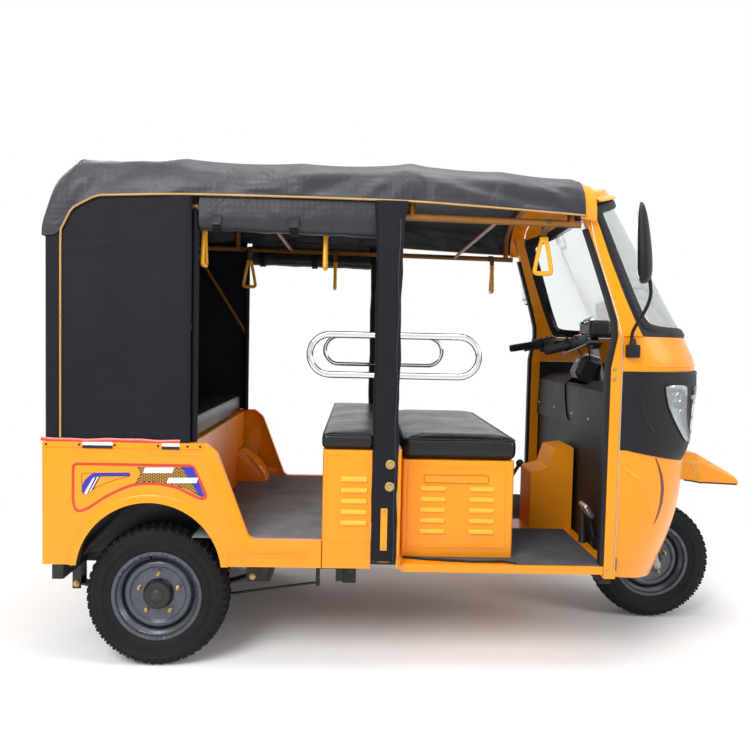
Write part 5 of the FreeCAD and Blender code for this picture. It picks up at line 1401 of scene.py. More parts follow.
# ---- seats ------------------------------------------------------------------------
@dataclass
class Seats(Assembly):
    """Leathercloth pads, swelled by simulated stuffing between their welts."""

    voxel: float = 8.0
    swell: float = 9.0
    pressure: float = 4.0
    steps: int = 20
    welt: float = 2.6

    def inflate(self, piece: Piece, pinned: Callable[[Vector], bool]) -> None:
        """Swells a remeshed pad with cloth pressure, each point moving no further than the cap.

        Args:
            piece: the pad's mesh object.
            pinned: says yes to points that stay, such as the base and the welts.
        """
        start = [vertex.co.copy() for vertex in piece.data.vertices]
        group = piece.vertex_groups.new(name="seated")
        group.add([i for i, spot in enumerate(start) if pinned(spot)], 1.0, "REPLACE")
        self.pick(piece)
        cloth = piece.modifiers.new("stuffing", "CLOTH")
        cloth.settings.use_pressure = True
        cloth.settings.uniform_pressure_force = self.pressure
        cloth.settings.effector_weights.gravity = 0.0
        cloth.settings.vertex_group_mass = "seated"
        cloth.point_cache.frame_start = 1
        cloth.point_cache.frame_end = self.steps
        for number in range(1, self.steps + 1):
            bpy.context.scene.frame_set(number)
        bpy.ops.object.modifier_apply(modifier=cloth.name)
        cap = self.swell * MM
        for vertex, spot in zip(piece.data.vertices, start):
            move = vertex.co - spot
            if move.length > cap:
                vertex.co = spot + move.normalized() * cap
        piece.vertex_groups.clear()
        bpy.context.scene.frame_set(1)

    def pad(self, name: str, node: str, low: Vector, high: Vector, up: int,
            notch: Sequence[tuple[Point, Point]] = (), corner: float = 16.0, finer: bool = True) -> None:
        """One pad: a rounded block, notched, remeshed, stuffed and welted.

        Args:
            name: the piece's name.
            node: the CAD node it stands for.
            low: lowest corner of the finished pad in millimetres.
            high: highest corner in millimetres.
            up: the axis number that the seat's face looks along, 2 for up and 0 for forwards.
            notch: blocks cut out of it, as pairs of corners.
            corner: radius of its edges in millimetres.
            finer: whether it gets one subdivision.
        """
        room = self.swell * 0.7
        inner_low = Vector(low) + Vector((room, room, room))
        inner_high = Vector(high) - Vector((room, room, room))
        inner_low[up] = low[up]
        piece = self.block(name, tuple(inner_low), tuple(inner_high), corner, 4)
        for number, (a, b) in enumerate(notch):
            cutter = self.block(f"{name}_cut_{number}", a, b, 0)
            self.modify(piece, "BOOLEAN", object=cutter, operation="DIFFERENCE")
            bpy.data.objects.remove(cutter)
        self.modify(piece, "REMESH", mode="VOXEL", voxel_size=self.voxel * MM)
        face = inner_high[up] - corner * 0.55
        rim = [(inner_low[i] + corner * 0.55, inner_high[i] - corner * 0.55) for i in range(3)]
        others = [i for i in range(3) if i != up]

        def stays(spot: Vector) -> bool:
            """Says whether a point belongs to the base or to the welt round the face.

            Args:
                spot: the point in metres.
            Returns:
                True where the point has to stay.
            """
            at = spot / MM
            if at[up] < inner_low[up] + 9:
                return True
            near = any(at[i] < rim[i][0] or at[i] > rim[i][1] for i in others)
            return near and abs(at[up] - face) < 7

        self.inflate(piece, stays)
        if finer:
            self.subdivide(piece, 1)
        self.finish(piece, "grained_vinyl", angle=60)
        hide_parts(node)
        self.build_welt(name, inner_low, inner_high, up, corner)

    def build_welt(self, name: str, low: Vector, high: Vector, up: int, corner: float) -> None:
        """Piping sewn round the edge of the pad's face.

        Args:
            name: the pad's name.
            low: the block's lowest corner in millimetres.
            high: its highest corner in millimetres.
            up: the axis number that the face looks along.
            corner: radius of the block's edges in millimetres.
        """
        a, b = (i for i in range(3) if i != up)
        # how far a 45 degree point of the rounded edge lies inside the block's corner
        cut = corner * 0.29
        loops = []
        for sa, sb in ((0, 0), (0, 1), (1, 1), (1, 0)):
            spot = Vector((0, 0, 0))
            spot[a] = (low[a] + cut * 0.9, high[a] - cut * 0.9)[sa]
            spot[b] = (low[b] + cut * 0.9, high[b] - cut * 0.9)[sb]
            spot[up] = high[up] - cut
            before, after = spot.copy(), spot.copy()
            inward_a, inward_b = (1, -1)[sa] * 14, (1, -1)[sb] * 14
            if (sa, sb) in ((0, 0), (1, 1)):
                before[a] += inward_a
                after[b] += inward_b
            else:
                before[b] += inward_b
                after[a] += inward_a
            loops += [before * MM, spot * MM, after * MM]
        line = self.bar(name + "_welt", loops + [loops[0]], self.welt, sides=2)
        self.finish(line, "vinyl_piping")

    def build(self) -> None:
        """Makes the four pads."""
        low, high = span("seat_pad_rear")
        notch = [((-231.5, 599, low.z - 5), (-137.5, 700, high.z + 20)),
                 ((-231.5, -700, low.z - 5), (-137.5, -599, high.z + 20))]
        self.pad("middle_pad", "seat_pad_rear", low, high, 2, notch, 17.0)
        low, high = span("seat_pad_front")
        self.pad("driver_pad", "seat_pad_front", low, high, 2, (), 26.0)
        low, high = span("rear_seat_cushion")
        self.pad("bench_cushion", "rear_seat_cushion", low, high, 2, (), 18.0, finer=False)
        low, high = span("rear_seat_back")
        self.pad("bench_back", "rear_seat_back", low, high, 0, (), 16.0, finer=False)


# ---- tub and seat boxes -----------------------------------------------------------
@dataclass
class BodyShell(Assembly):
    """Pressed tub, seat boxes, mats, rails, decals and tail lamps."""

    film_y: float = 625.4
    film: float = 0.25
    cell: float = 5.4
    rib_pitch: float = 15.0
    arch: Point = (-1013.0, 0.0, 358.0)
    outline_red: Outline = (
        (-1288, 750), (-1055, 750), (-869, 750), (-821, 642), (-836, 630), (-876, 647), (-927, 672),
        (-979, 683), (-1030, 685), (-1081, 679), (-1132, 658), (-1183, 630), (-1234, 594), (-1268, 580),
        (-1283, 591), (-1289, 625))
    window_line: Outline = (
        (-1259, 717), (-1091, 721), (-1089, 709), (-1132, 699), (-1174, 683), (-1213, 665), (-1240, 643),
        (-1250, 641), (-1257, 649))
    blue_film: Outline = (
        (-1256, 677), (-1246, 695), (-1225, 714), (-1211, 719), (-1092, 720), (-1090, 715), (-1092, 709),
        (-1204, 706), (-1216, 703), (-1232, 681), (-1243, 663), (-1252, 644), (-1257, 651))
    comb: Outline = (
        (-1064, 742), (-902, 743), (-874, 690), (-842, 641), (-889, 664), (-932, 679), (-979, 687),
        (-1030, 689), (-1072, 685), (-1053, 719))
    slash: Outline = (
        (-910, 745), (-870, 745), (-829, 644), (-838, 638), (-852, 652))
    mat_lip: Outline = (
        # x and y of the loose mat edge in front of the driver's box
        (-108, -528), (-60, -542), (30, -561), (140, -572), (258, -571), (303, -584))
    film_shift: Spot = (9.0, -3.0)
    red_band: Spot = (-1390.0, -906.0)
    lamp_width: float = 140.0
    louvres: dict[str, tuple[tuple[float, ...], float, float]] = field(default_factory=lambda: {
        # columns from the box's rear edge, height of the lowest row, and pitch, in millimetres
        "seat_box_rear": ((66.0,), 546.0, 39.0), "seat_box_front": ((68.0, 250.0), 492.0, 40.0)})
    stripes: tuple[tuple[str, Outline], ...] = (
        ("white_vinyl_film", ((-1250, 643), (-1240, 643), (-1212, 703), (-1218, 702))),
        ("purple_vinyl_film", ((-1240, 643), (-1233, 649), (-1204, 704), (-1212, 703))),
        ("white_vinyl_film", ((-1233, 649), (-1228, 652), (-1199, 705), (-1204, 704))),
        ("purple_vinyl_film", ((-1228, 652), (-1219, 659), (-1193, 706), (-1199, 705))))
    bars: tuple[Outline, ...] = (
        ((-1045, 721), (-1038, 741), (-936, 743), (-942, 723)),
        ((-962, 687), (-955, 706), (-851, 708), (-857, 689)))

    def film_piece(self, name: str, outline: Outline, layer: int, finish: str) -> Piece:
        """Film cut to an (x, z) outline on the tub's right side, with its twin on the left.

        Args:
            name: the piece's name without its side.
            outline: corners in millimetres.
            layer: how many films lie under it.
            finish: the finish's name.
        Returns:
            The right-hand film.
        """
        y = -self.film_y - layer * self.film
        spots = [point(x + self.film_shift[0], y, z + self.film_shift[1]) for x, z in outline]
        right = self.slab(name + "_right", spots, point(0, -self.film, 0))
        self.pair(right, finish, smooth=False)
        return right

    def ribbon(self, name: str, line: Outline, width: float, layer: int, finish: str) -> None:
        """Film of even width along a closed (x, z) line, on both sides of the tub.

        Args:
            name: the piece's name without its side.
            line: the corners of its middle line in millimetres.
            width: the film's width in millimetres.
            layer: how many films lie under it.
            finish: the finish's name.
        """
        rows = []
        count = len(line)
        for i in range(count + 1):
            before, here, after = (Vector((*line[(i + k) % count], 0)) for k in (-1, 0, 1))
            one, two = (here - before).normalized(), (after - here).normalized()
            way = (Vector((-one.y, one.x, 0)) + Vector((-two.y, two.x, 0))).normalized()
            reach = width / 2 / max(0.45, way.dot(Vector((-one.y, one.x, 0))))
            y = -self.film_y - layer * self.film
            a, b = here + way * reach, here - way * reach
            rows.append([point(a.x, y, a.y), point(b.x, y, b.y)])
        right = self.web(name + "_right", rows)
        right.data.transform(Matrix.Translation(point(self.film_shift[0], 0, self.film_shift[1])))
        self.thicken(right, self.film)
        self.pair(right, finish, smooth=False)

    @staticmethod
    def soften(line: Outline, radius: float) -> list[Spot]:
        """Rounds the corners of a closed (x, z) line.

        Args:
            line: the corners in millimetres.
            radius: how far from each corner the round starts, at most.
        Returns:
            The rounded line's points in millimetres.
        """
        spots = []
        for i, here in enumerate(line):
            corner = Vector(here)
            before, after = Vector(line[i - 1]), Vector(line[(i + 1) % len(line)])
            a = corner + (before - corner).normalized() * min(radius, (before - corner).length * 0.45)
            b = corner + (after - corner).normalized() * min(radius, (after - corner).length * 0.45)
            for share in (0.0, 0.25, 0.5, 0.75, 1.0):
                spot = a.lerp(corner, share).lerp(corner.lerp(b, share), share)
                spots.append((spot.x, spot.y))
        return spots

    @staticmethod
    def within(x: float, z: float, outline: Outline) -> bool:
        """Says whether a point of the side view lies inside an outline.

        Args:
            x: millimetres along the vehicle.
            z: millimetres above the floor.
            outline: the outline's (x, z) corners.
        Returns:
            True inside, False outside.
        """
        inside = False
        for (x0, z0), (x1, z1) in zip(outline, list(outline[1:]) + [outline[0]]):
            if (z0 > z) != (z1 > z) and x < (x1 - x0) * (z - z0) / (z1 - z0) + x0:
                inside = not inside
        return inside

    def build_decals(self) -> None:
        """Side films: red outline, striped tongue, honeycomb and plain white bars, without any words."""
        self.film_piece("comb_film", self.comb, 0, "black_vinyl_film")
        self.film_piece("blue_stripe", self.soften(self.blue_film, 6), 1, "blue_vinyl_film")
        for number, (finish, outline) in enumerate(self.stripes):
            self.film_piece(f"slant_stripe_{number}", outline, 2, finish)
        self.film_piece("blue_slash", self.slash, 2, "blue_vinyl_film")
        for number, outline in enumerate(self.bars):
            self.film_piece(f"white_bar_{number}", outline, 3, "white_vinyl_film")
        self.ribbon("window_line", self.soften(self.window_line, 8), 1.6, 0, "black_vinyl_film")
        self.ribbon("red_outline", self.soften(self.outline_red, 16), 9.4, 2, "red_vinyl_film")
        cells = []
        step_x, step_z = self.cell * 1.5, self.cell * math.sqrt(3)
        low_x, low_z = min(x for x, _ in self.comb), min(z for _, z in self.comb)
        for column in range(32):
            for row in range(14):
                x = low_x + column * step_x
                z = low_z + row * step_z + (step_z / 2 if column % 2 else 0)
                if not self.within(x, z, self.comb):
                    continue
                self.deselect()
                bpy.ops.mesh.primitive_circle_add(vertices=6, radius=self.cell * 0.74 * MM, fill_type="NGON")
                one = bpy.context.object
                turn = Matrix.Rotation(math.radians(90), 4, "X") @ Matrix.Rotation(math.radians(30), 4, "Z")
                spot = point(x + self.film_shift[0], -self.film_y - 1.4 * self.film, z + self.film_shift[1])
                one.data.transform(Matrix.Translation(spot) @ turn)
                cells.append(one)
        comb = self.join("comb_cells_right", cells)
        self.thicken(comb, self.film)
        self.pair(comb, "gold_vinyl_film", smooth=False)

    def build_rail(self) -> None:
        """Clamp strips, red bead and white bands where the cloths meet the tub."""
        self.finish(self.copy_node("clamp_strips", "clamp_strip_pair"), "yellow_enamel")
        rows = []
        for number in range(31):
            x = self.red_band[0] + (self.red_band[1] - self.red_band[0]) * number / 30
            wave = 1.6 * math.sin(x / 47) + 0.9 * math.sin(x / 19)
            rows.append([point(x, -629.6, 826.5 + wave * 0.4), point(x, -629.2, 832 + wave),
                         point(x, -626, 838 + wave)])
        band = self.web("red_band_right", rows)
        self.thicken(band, 1.4)
        self.pair(band, "red_vinyl_film", angle=60)
        for number, (x0, x1) in enumerate(((-1246, -1141), (-970, -908))):
            for word, z0, z1 in (("white", 814, 826.5), ("black", 803, 814)):
                band = self.block(f"{word}_band_{number}_right", (x0, -629.4, z0), (x1, -628.4, z1), 0.2, 1)
                self.pair(band, word + "_vinyl_film")
        for number, x in enumerate((-1372, -1257, -1134, -983, -880, -836)):
            self.bolt_pair(f"strip_screw_{number}", Vector((x, -628.3, 815)), 3.0, "chassis_black")

    def build_mats(self) -> None:
        """Ribbed rubber mats on the passengers' and the driver's floor."""
        mats = self.finish(self.copy_node("floor_mats", "mat_sheets"), "floor_rubber")
        # the faces forward of x = 0.2 m, on the driver's floor, take the darker rubber
        mats.data.materials.append(PAINT.get("dark_floor_rubber"))
        for face in mats.data.polygons:
            face.material_index = int(face.center.x > 0.2)
        top = {"rear": (-872, -412, 585, 481.2), "front": (306, 610, 588, 403.2)}
        for word, (x0, x1, half, z) in top.items():
            self.deselect()
            rib = self.bar(f"mat_ribs_{word}", [point(x0, -half, z), point(x1, -half, z)], 2.2, False, 1)
            ribs = [rib]
            count = int(2 * half / self.rib_pitch)
            for number in range(1, count + 1):
                y = number * self.rib_pitch
                if word == "front" and abs(y - half) < 110:
                    continue
                ribs.append(self.twin(rib, "rib", Matrix.Translation(point(0, y, 0))))
            self.finish(self.join(f"mat_ribs_{word}", ribs), "floor_rubber" if word == "rear"
                        else "dark_floor_rubber")
        rows = []
        for number in range(25):
            x = self.mat_lip[0][0] + (self.mat_lip[-1][0] - self.mat_lip[0][0]) * number / 24
            edge = between(self.mat_lip, x) + 1.6 * math.sin(x / 13)
            lift = 1.4 * math.sin(x / 31) + 0.8 * math.sin(x / 12)
            rows.append([point(x, -521.0, 402), point(x, (edge - 521) / 2, 402.4 + lift / 2),
                         point(x, edge, 402.8 + max(-1.0, lift))])
        lip = self.web("mat_lip_right", rows)
        self.thicken(lip, 3.2)
        edge = self.bar("mat_edge_right", [row[-1] for row in rows], 4.4, sides=2)
        self.finish(lip, "dark_floor_rubber", angle=50)
        self.finish(edge, "black_rubber", angle=60)
        self.finish(self.twin(lip, "mat_lip_left"), "dark_floor_rubber", angle=50)
        self.finish(self.twin(edge, "mat_edge_left"), "black_rubber", angle=60)

    def build_boxes(self) -> None:
        """Seat boxes with their louvres, lightened by a painted highlight, and the blank badge plate with its
        rim.
        """
        for node, name in (("seat_box_rear", "middle_seat_box"), ("seat_box_front", "driver_seat_box")):
            low, high = span(node)
            columns, first, pitch = self.louvres[node]
            face = -high.y + 6.5
            piece = self.copy_node(node, name, 12)
            self.pick(piece)
            bpy.ops.mesh.customdata_custom_splitnormals_clear()
            for vertex in piece.data.vertices:
                if abs(vertex.co.y) / MM > 3.5 - face:
                    vertex.co.y = math.copysign(-face * MM, vertex.co.y)
            with self.editing(piece):
                bpy.ops.mesh.remove_doubles(threshold=WELD)
                bpy.ops.mesh.dissolve_degenerate(threshold=WELD)
                bpy.ops.mesh.dissolve_limited(angle_limit=math.radians(0.6))
            self.smooth(piece, 12)
            self.modify(piece, "WEIGHTED_NORMAL", keep_sharp=True)
            self.finish(piece, "yellow_enamel", smooth=False)
            vent = self.block("vent", (low.x - 1, face - 8.4, -1.5), (low.x + 93, face + 1.5, 16.5), 4.6, 3)
            with self.faces(vent, lambda _, normal: normal.z > 0.5):
                bpy.ops.transform.translate(value=point(0, 2.4, 0))
            vents = [self.twin(vent, "vent", Matrix.Translation(point(x, 0, first + row * pitch)))
                     for x in columns for row in range(5)]
            bpy.data.objects.remove(vent)
            # the vents' lighter enamel is a painted highlight
            self.pair(self.join(f"{name}_vents_right", vents), "louvre_painted_highlight", angle=50)
        press = [point(x, -625.2, z) for x, z in ((-232, 482), (-391, 482), (-391, 793), (-232, 793))]
        self.pair(self.bar("box_press_right", press, 1.3, False, 1), "yellow_enamel")
        self.finish(self.copy_node("badge_plates", "badge_plate_pair"), "yellow_enamel")
        low, high = span("badge_plates")
        x0, x1, z0, z1, y = low.x + 3, high.x - 3, low.z + 3, high.z - 3, low.y - 0.2
        corners = ((x0 + 5, z0), (x1 - 5, z0), (x1, z0 + 5), (x1, z1 - 5), (x1 - 5, z1), (x0 + 5, z1),
                   (x0, z1 - 5), (x0, z0 + 5), (x0 + 5, z0))
        rim = [point(x, y, z) for x, z in corners]
        self.pair(self.bar("badge_rim_right", rim, 0.8, False, 1), "black_vinyl_film")

    def build_back(self) -> None:
        """Tail lamps with clear, amber and red panes, and the blank plate with its bracket."""
        low, high = span("tail_lamps")
        for side, word in SIDES:
            y0, y1 = sorted((side * (high.y - self.lamp_width + 4), side * (high.y - 4)))
            case = self.block(f"lamp_case_{word}", (low.x + 2, y0 - 4, low.z), (high.x, y1 + 4, high.z), 2.0)
            self.finish(case, "black_polypropylene")
            height = (high.z - low.z - 8) / 3
            for number, finish in enumerate(("white_lens", "amber_lens", "red_lens")):
                z = low.z + 4 + number * height
                pane = self.block(f"lamp_pane_{number}_{word}", (low.x - 1.5, y0, z + 0.8),
                                  (low.x + 4, y1, z + height - 0.8), 1.5)
                with self.faces(pane, lambda _, normal: normal.x < -0.9):
                    bpy.ops.mesh.inset(thickness=5 * MM, depth=1.5 * MM)
                self.finish(pane, finish)
            if word == "right":
                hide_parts("tail_lamps")
        self.finish(self.copy_node("plate_bracket", "plate_holder"), "chassis_black")
        low, high = span("plate_bracket")
        plate = self.block("blank_plate", (low.x - 1.2, -110, 506), (low.x - 0.1, 110, 614), 0.4)
        self.finish(plate, "white_vinyl_film")

    def underseal(self, name: str) -> None:
        """Blackens the faces of a panel that look at the wheel or at the road from inside the arch.

        Args:
            name: the finished panel's name.
        """
        axle = Vector(self.arch)

        def sprayed(centre: Vector, normal: Vector) -> bool:
            """Says whether a face looks into the arch.

            Args:
                centre: its centre in metres.
                normal: its normal.
            Returns:
                True where the panel is black.
            """
            spot = centre / MM
            across = math.copysign(590, spot.y) - spot.y if name == "wheel_house_pair" else 0.0
            way = Vector((axle.x - spot.x, across, axle.z - spot.z))
            inside = abs(spot.y) < self.film_y - 3.5 and way.length < 460
            return inside and normal.dot(way) > 0.12 * way.length

        self.second_finish(bpy.data.objects[name], "chassis_black", sprayed)

    def build(self) -> None:
        """Dresses the pressed panels and adds what is fixed to them."""
        for node, name, finish in (("side_panels", "tub_sides", "yellow_enamel"),
                                   ("rear_panel", "tub_back", "yellow_enamel"),
                                   ("floor_pan", "floor_sheet", "yellow_enamel"),
                                   ("seat_riser", "bench_riser", "yellow_enamel"),
                                   ("wheel_houses", "wheel_house_pair", "yellow_enamel"),
                                   ("side_rails", "loop_rails", "polished_chrome")):
            self.finish(self.copy_node(node, name, 30), finish, smooth=False)
            if finish == "yellow_enamel":
                self.underseal(name)
        self.build_boxes()
        self.build_mats()
        self.build_rail()
        self.build_decals()
        self.build_back()


# ---- front body -------------------------------------------------------------------
@dataclass
class FrontBody(Assembly):
    """Cowls, mask, lamps, posts, screen, mirrors, wiper and the front mudguard."""

    post_line: Outline = (
        (657, 372), (657, 500), (657, 700), (657, 900), (657, 1100), (657, 1190), (650, 1240), (628, 1330),
        (596, 1430), (566, 1530), (545, 1620), (537, 1690), (535, 1722))
    crescent: tuple[Point, ...] = (
        (800, 797, 2), (817, 765, 4), (832, 725, 6), (841, 680, 8), (839, 625, 7), (827, 580, 5),
        (813, 548, 2))
    fin: tuple[Point, ...] = (
        (672, 762, 2), (705, 742, 7), (740, 712, 11), (770, 672, 13), (790, 622, 11), (800, 568, 3))
    mask_crease: tuple[Point, ...] = (
        (736, 1062, 2), (730, 1030, 4), (730, 1000, 6), (737, 965, 7), (751, 933, 7), (769, 907, 6),
        (795, 873, 4), (814, 858, 2))
    rubber_section: Outline = (
        # inwards from the rubber's middle, and off its face
        (-12, 1.0), (-10, 6.5), (-4, 9.0), (6, 9.5), (16, 8.5), (23, 6.0), (25, 0.5))
    brow_section: Outline = ((24, 1.2), (16, 2.4), (9, 7), (5, 15), (0, 18), (-7, 18))
    lamp_wing: tuple[Point, ...] = (
        # z, rear edge x and front edge x of the lamp's side pane
        (1063, 838, 905), (1057, 819, 928), (1026, 825, 933), (989, 836, 937), (949, 858, 941),
        (910, 886, 947), (871, 918, 962), (852, 940, 968))
    mirror_rings: tuple[tuple[float, float, float, float], ...] = (
        # height, middle x, half depth along x, half width along y
        (-134, 2, 6, 42), (-130, 2, 20, 60), (-116, 1, 29, 69), (-92, 0, 33, 73), (-40, -2, 32, 74),
        (20, -6, 28, 67), (70, -9, 23, 56), (104, -11, 17, 44), (124, -12, 11, 31), (134, -13, 4, 14))

    def lay(self, piece: Piece, name: str, line: Sequence[Point], finish: str,
            lift: float, crown: float) -> None:
        """Strip of changing width that follows a curved panel, on both sides.

        Args:
            piece: the panel.
            name: the strip's name without its side.
            line: (x, z, half width) along it, in millimetres.
            finish: the finish's name.
            lift: how far it stands off the panel at its edges, in millimetres.
            crown: how much more it stands off at its middle.
        """
        spots = []
        for (x0, z0, w0), (x1, z1, w1) in zip(line, line[1:]):
            for i in range(5):
                share = i / 5
                spots.append((x0 + (x1 - x0) * share, z0 + (z1 - z0) * share, w0 + (w1 - w0) * share))
        spots.append(line[-1])
        rows = []
        for i, (x, z, half) in enumerate(spots):
            x0, z0, _ = spots[max(0, i - 2)]
            x1, z1, _ = spots[min(len(spots) - 1, i + 2)]
            way = Vector((-(z1 - z0), x1 - x0)).normalized()
            rows.append([self.touch(piece, x + way.x * half * k, z + way.y * half * k, -1,
                                    lift + crown * (1 - k * k)) for k in (-1, -0.5, 0, 0.5, 1)])
        right = self.web(name + "_right", rows)
        self.thicken(right, 0.4)
        self.pair(right, finish, angle=50)

    def build_posts(self, posts: Piece) -> None:
        """Silvery edge line along each post, and its screws.

        Args:
            posts: the panel of both posts.
        """
        line = [self.touch(posts, x, z, -1, 0.8) for x, z in self.post_line]
        line = [spot for spot in line if spot.length > self.FOUND]
        self.pair(self.bar("post_edge_right", line, 2.0, sides=2), "bright_zinc")
        for number, (x, z) in enumerate(((630, 1118), (630, 1082), (632, 388))):
            self.bolt_pair(f"post_bolt_{number}", self.touch(posts, x, z, -1, -0.3) / MM, 6.0)

    def build_mirrors(self) -> None:
        """Mirrors with a rounded black shell, a glass that faces the driver, and a bent arm."""
        low, high = span("mirrors")
        centre = Vector((652, -(high.y - 80), high.z - 140))
        rings = []
        for up, middle, deep, wide in self.mirror_rings:
            ring = []
            for i in range(28):
                angle = 2 * math.pi * i / 28
                c, s = math.cos(angle), math.sin(angle)
                x = middle + deep * math.copysign(abs(c) ** 0.62, c) * (1.0 if c > 0 else 0.45)
                y = wide * math.copysign(abs(s) ** 0.7, s)
                ring.append(Vector((x, y, up)))
            rings.append(ring)
        turn = Matrix.Rotation(math.radians(-22), 4, "Z")
        place = Matrix.Translation(centre * MM) @ turn
        shell = self.loft("mirror_shell_right", [[place @ (p * MM) for p in ring] for ring in rings])
        self.subdivide(shell, 1)
        panes = [[place @ (Vector((middle - deep * 0.45 - 1.6, wide * 0.86 * k, up * 0.95)) * MM)
                  for k in (-1, -0.8, -0.4, 0, 0.4, 0.8, 1)]
                 for up, middle, deep, wide in self.mirror_rings[1:-2]]
        glass = self.web("mirror_glass_right", panes)
        self.thicken(glass, 2.4)
        out = -(high.y - 246 + 18)
        base = Vector((688, out, low.z + 22))
        arm_line = [base, base + Vector((-6, 0, 40)), base + Vector((-8, -12, 74)),
                    base + Vector((6, -70, 132)), base + Vector((14, -104, 180)),
                    base + Vector((8, -118, 226)), base + Vector((-14, -128, 300))]
        arm = self.bar("mirror_arm_right", [p * MM for p in arm_line], 6.0)
        foot = self.block("mirror_foot_right", (666, out - 17, low.z), (710, out + 17.5, low.z + 46), 4.0, 3)
        boot = self.turned("mirror_boot_right", ((0, 0), (13, 0), (12, 10), (8, 24), (0, 24)),
                           point(688, out, low.z + 44), (0, 0, 1), 24)
        for piece, finish in ((shell, "black_polypropylene"), (glass, "mirror_glass"),
                              (arm, "black_polypropylene"), (foot, "black_polypropylene"),
                              (boot, "black_rubber")):
            self.pair(piece, finish, angle=40)
        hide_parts("mirrors")

    def build_lamps(self) -> None:
        """Headlamps: clear cover over a silvered housing with three bowls and their bulbs."""
        cover = self.copy_node("headlamps", "lamp_covers", 40)
        spots = [v.co for v in cover.data.vertices if v.co.y < 0]
        low = Vector([min(p[i] for p in spots) for i in range(3)])
        high = Vector([max(p[i] for p in spots) for i in range(3)])
        middle = (low + high) / 2
        inward = Vector((-math.cos(math.radians(48)), math.sin(math.radians(48)), 0))
        housing = bpy.data.objects.new("lamp_housing_right", cover.data.copy())
        bpy.context.collection.objects.link(housing)
        with self.faces(housing, lambda centre, _: centre.y > 0):
            bpy.ops.mesh.delete(type="FACE")
        place = Matrix.Translation(middle + inward * 0.024) @ Matrix.Diagonal((0.93, 0.93, 0.93, 1))
        housing.data.transform(place @ Matrix.Translation(-middle))
        self.pair(housing, "lamp_silver", angle=30)
        self.finish(cover, "lamp_cover", angle=40)
        face = Vector((0.80, -0.57, 0.12)).normalized()
        for number, (share, radius) in enumerate(((0.80, 25), (0.50, 30), (0.20, 19))):
            z = low.z + (high.z - low.z) * share
            near = [p for p in spots if abs(p.z - z) < 0.03]
            x, y = (sum(p[i] for p in near) / len(near) for i in (0, 1))
            seat = Vector((x, y, z)) + inward * 0.014
            dish = ((4, -radius * 0.75), (radius * 0.5, -radius * 0.62), (radius * 0.8, -radius * 0.34),
                    (radius, 0), (radius + 3, 1), (radius + 3, -2), (radius * 0.85, -radius * 0.42),
                    (radius * 0.5, -radius * 0.7), (4, -radius * 0.82))
            drop = ((0, -radius * 0.7), (4.5, -radius * 0.6), (5.0, -radius * 0.3), (3.4, -radius * 0.14),
                    (0, -radius * 0.1))
            bowl = self.turned(f"lamp_bowl_{number}_right", dish, seat, tuple(face), 40)
            bulb = self.turned(f"lamp_bulb_{number}_right", drop, seat, tuple(face), 20)
            for piece, finish in ((bowl, "polished_chrome"),
                                  (bulb, "amber_lens" if number == 2 else "white_lens")):
                self.pair(piece, finish, angle=50)

    def build_wing(self, mask: Piece) -> None:
        """The lamp's side pane, which wraps round the mask's corner, with its bezel and two bowls.

        Args:
            mask: the panel that the lamps sit in.
        """
        stations = []
        for (z0, a0, b0), (z1, a1, b1) in zip(self.lamp_wing, self.lamp_wing[1:]):
            stations += [(z0 + (z1 - z0) * k / 4, a0 + (a1 - a0) * k / 4, b0 + (b1 - b0) * k / 4)
                         for k in range(4)]
        stations.append(self.lamp_wing[-1])
        for name, lift, crown, finish in (("lamp_silver_side", 0.8, 1.0, "lamp_silver"),
                                          ("lamp_pane_side", 2.0, 7.0, "lamp_cover")):
            rows = []
            for z, rear, front in stations:
                rows.append([self.touch(mask, rear + (front - rear) * k / 10, z, -1,
                                        lift + crown * (1 - (k / 5 - 1) ** 2) ** 0.5) for k in range(11)])
            pane = self.web(name + "_right", rows)
            self.thicken(pane, 0.8)
            self.pair(pane, finish, angle=50)
        rim = [self.touch(mask, rear, z, -1, 1.5) for z, rear, _ in stations]
        rim += [self.touch(mask, front, z, -1, 1.5) for z, _, front in reversed(stations)]
        bezel = self.bar("lamp_bezel_right", rim + rim[:1], 2.6, sides=2)
        self.pair(bezel, "black_polypropylene", angle=60)
        for number, (x, z, radius) in enumerate(((884, 1015, 24), (903, 958, 18))):
            _, spot, normal, _ = mask.ray_cast(point(x, -BEYOND, z), Vector((0, 1, 0)))
            profile = ((0, 1), (radius * 0.4, 1), (radius * 0.5, 3.5), (radius * 0.9, 3.8), (radius, 2),
                       (radius, 0.4))
            bowl = self.turned(f"lamp_side_bowl_{number}_right", profile, spot, tuple(normal), 32)
            self.pair(bowl, "polished_chrome", angle=50)

    def build_creases(self, cowl: Piece, mask: Piece) -> None:
        """Rolled bead round the upper cowl and the mask's turned upper edge.

        Args:
            cowl: the upper cowl.
            mask: the panel under it.
        """
        # the mask's edge bead takes the cab's greyer plastic: a painted highlight along its top edge
        beads = ((cowl, "cowl_bead", 1131.0, 3.4, "yellow_enamel"),
                 (mask, "mask_edge", 1104.0, 3.6, "dash_polypropylene"))
        for piece, name, z, radius, finish in beads:
            line = []
            for number in range(61):
                turn = math.radians(-84 + 168 * number / 60)
                way = Vector((math.cos(turn), math.sin(turn), 0))
                hit, spot, _, _ = piece.ray_cast(point(660, 0, z) + way * (BEYOND * MM), -way)
                if hit:
                    line.append(spot)
            self.finish(self.bar(name, line, radius, sides=3), finish, angle=60)

    def crown_line(self, gasket: Piece) -> list[Vector]:
        """Finds the rubber's middle over the windscreen, eleven millimetres under its upper edge.

        Args:
            gasket: the flat rubber.
        Returns:
            Points in metres from its right corner to its left one.
        """
        line = []
        for y in range(-440, 441, 55):
            for z in range(1830, 1700, -2):
                if self.met(gasket, y, z)[0]:
                    line.append(self.met(gasket, y, z - 11)[1])
                    break
        return line

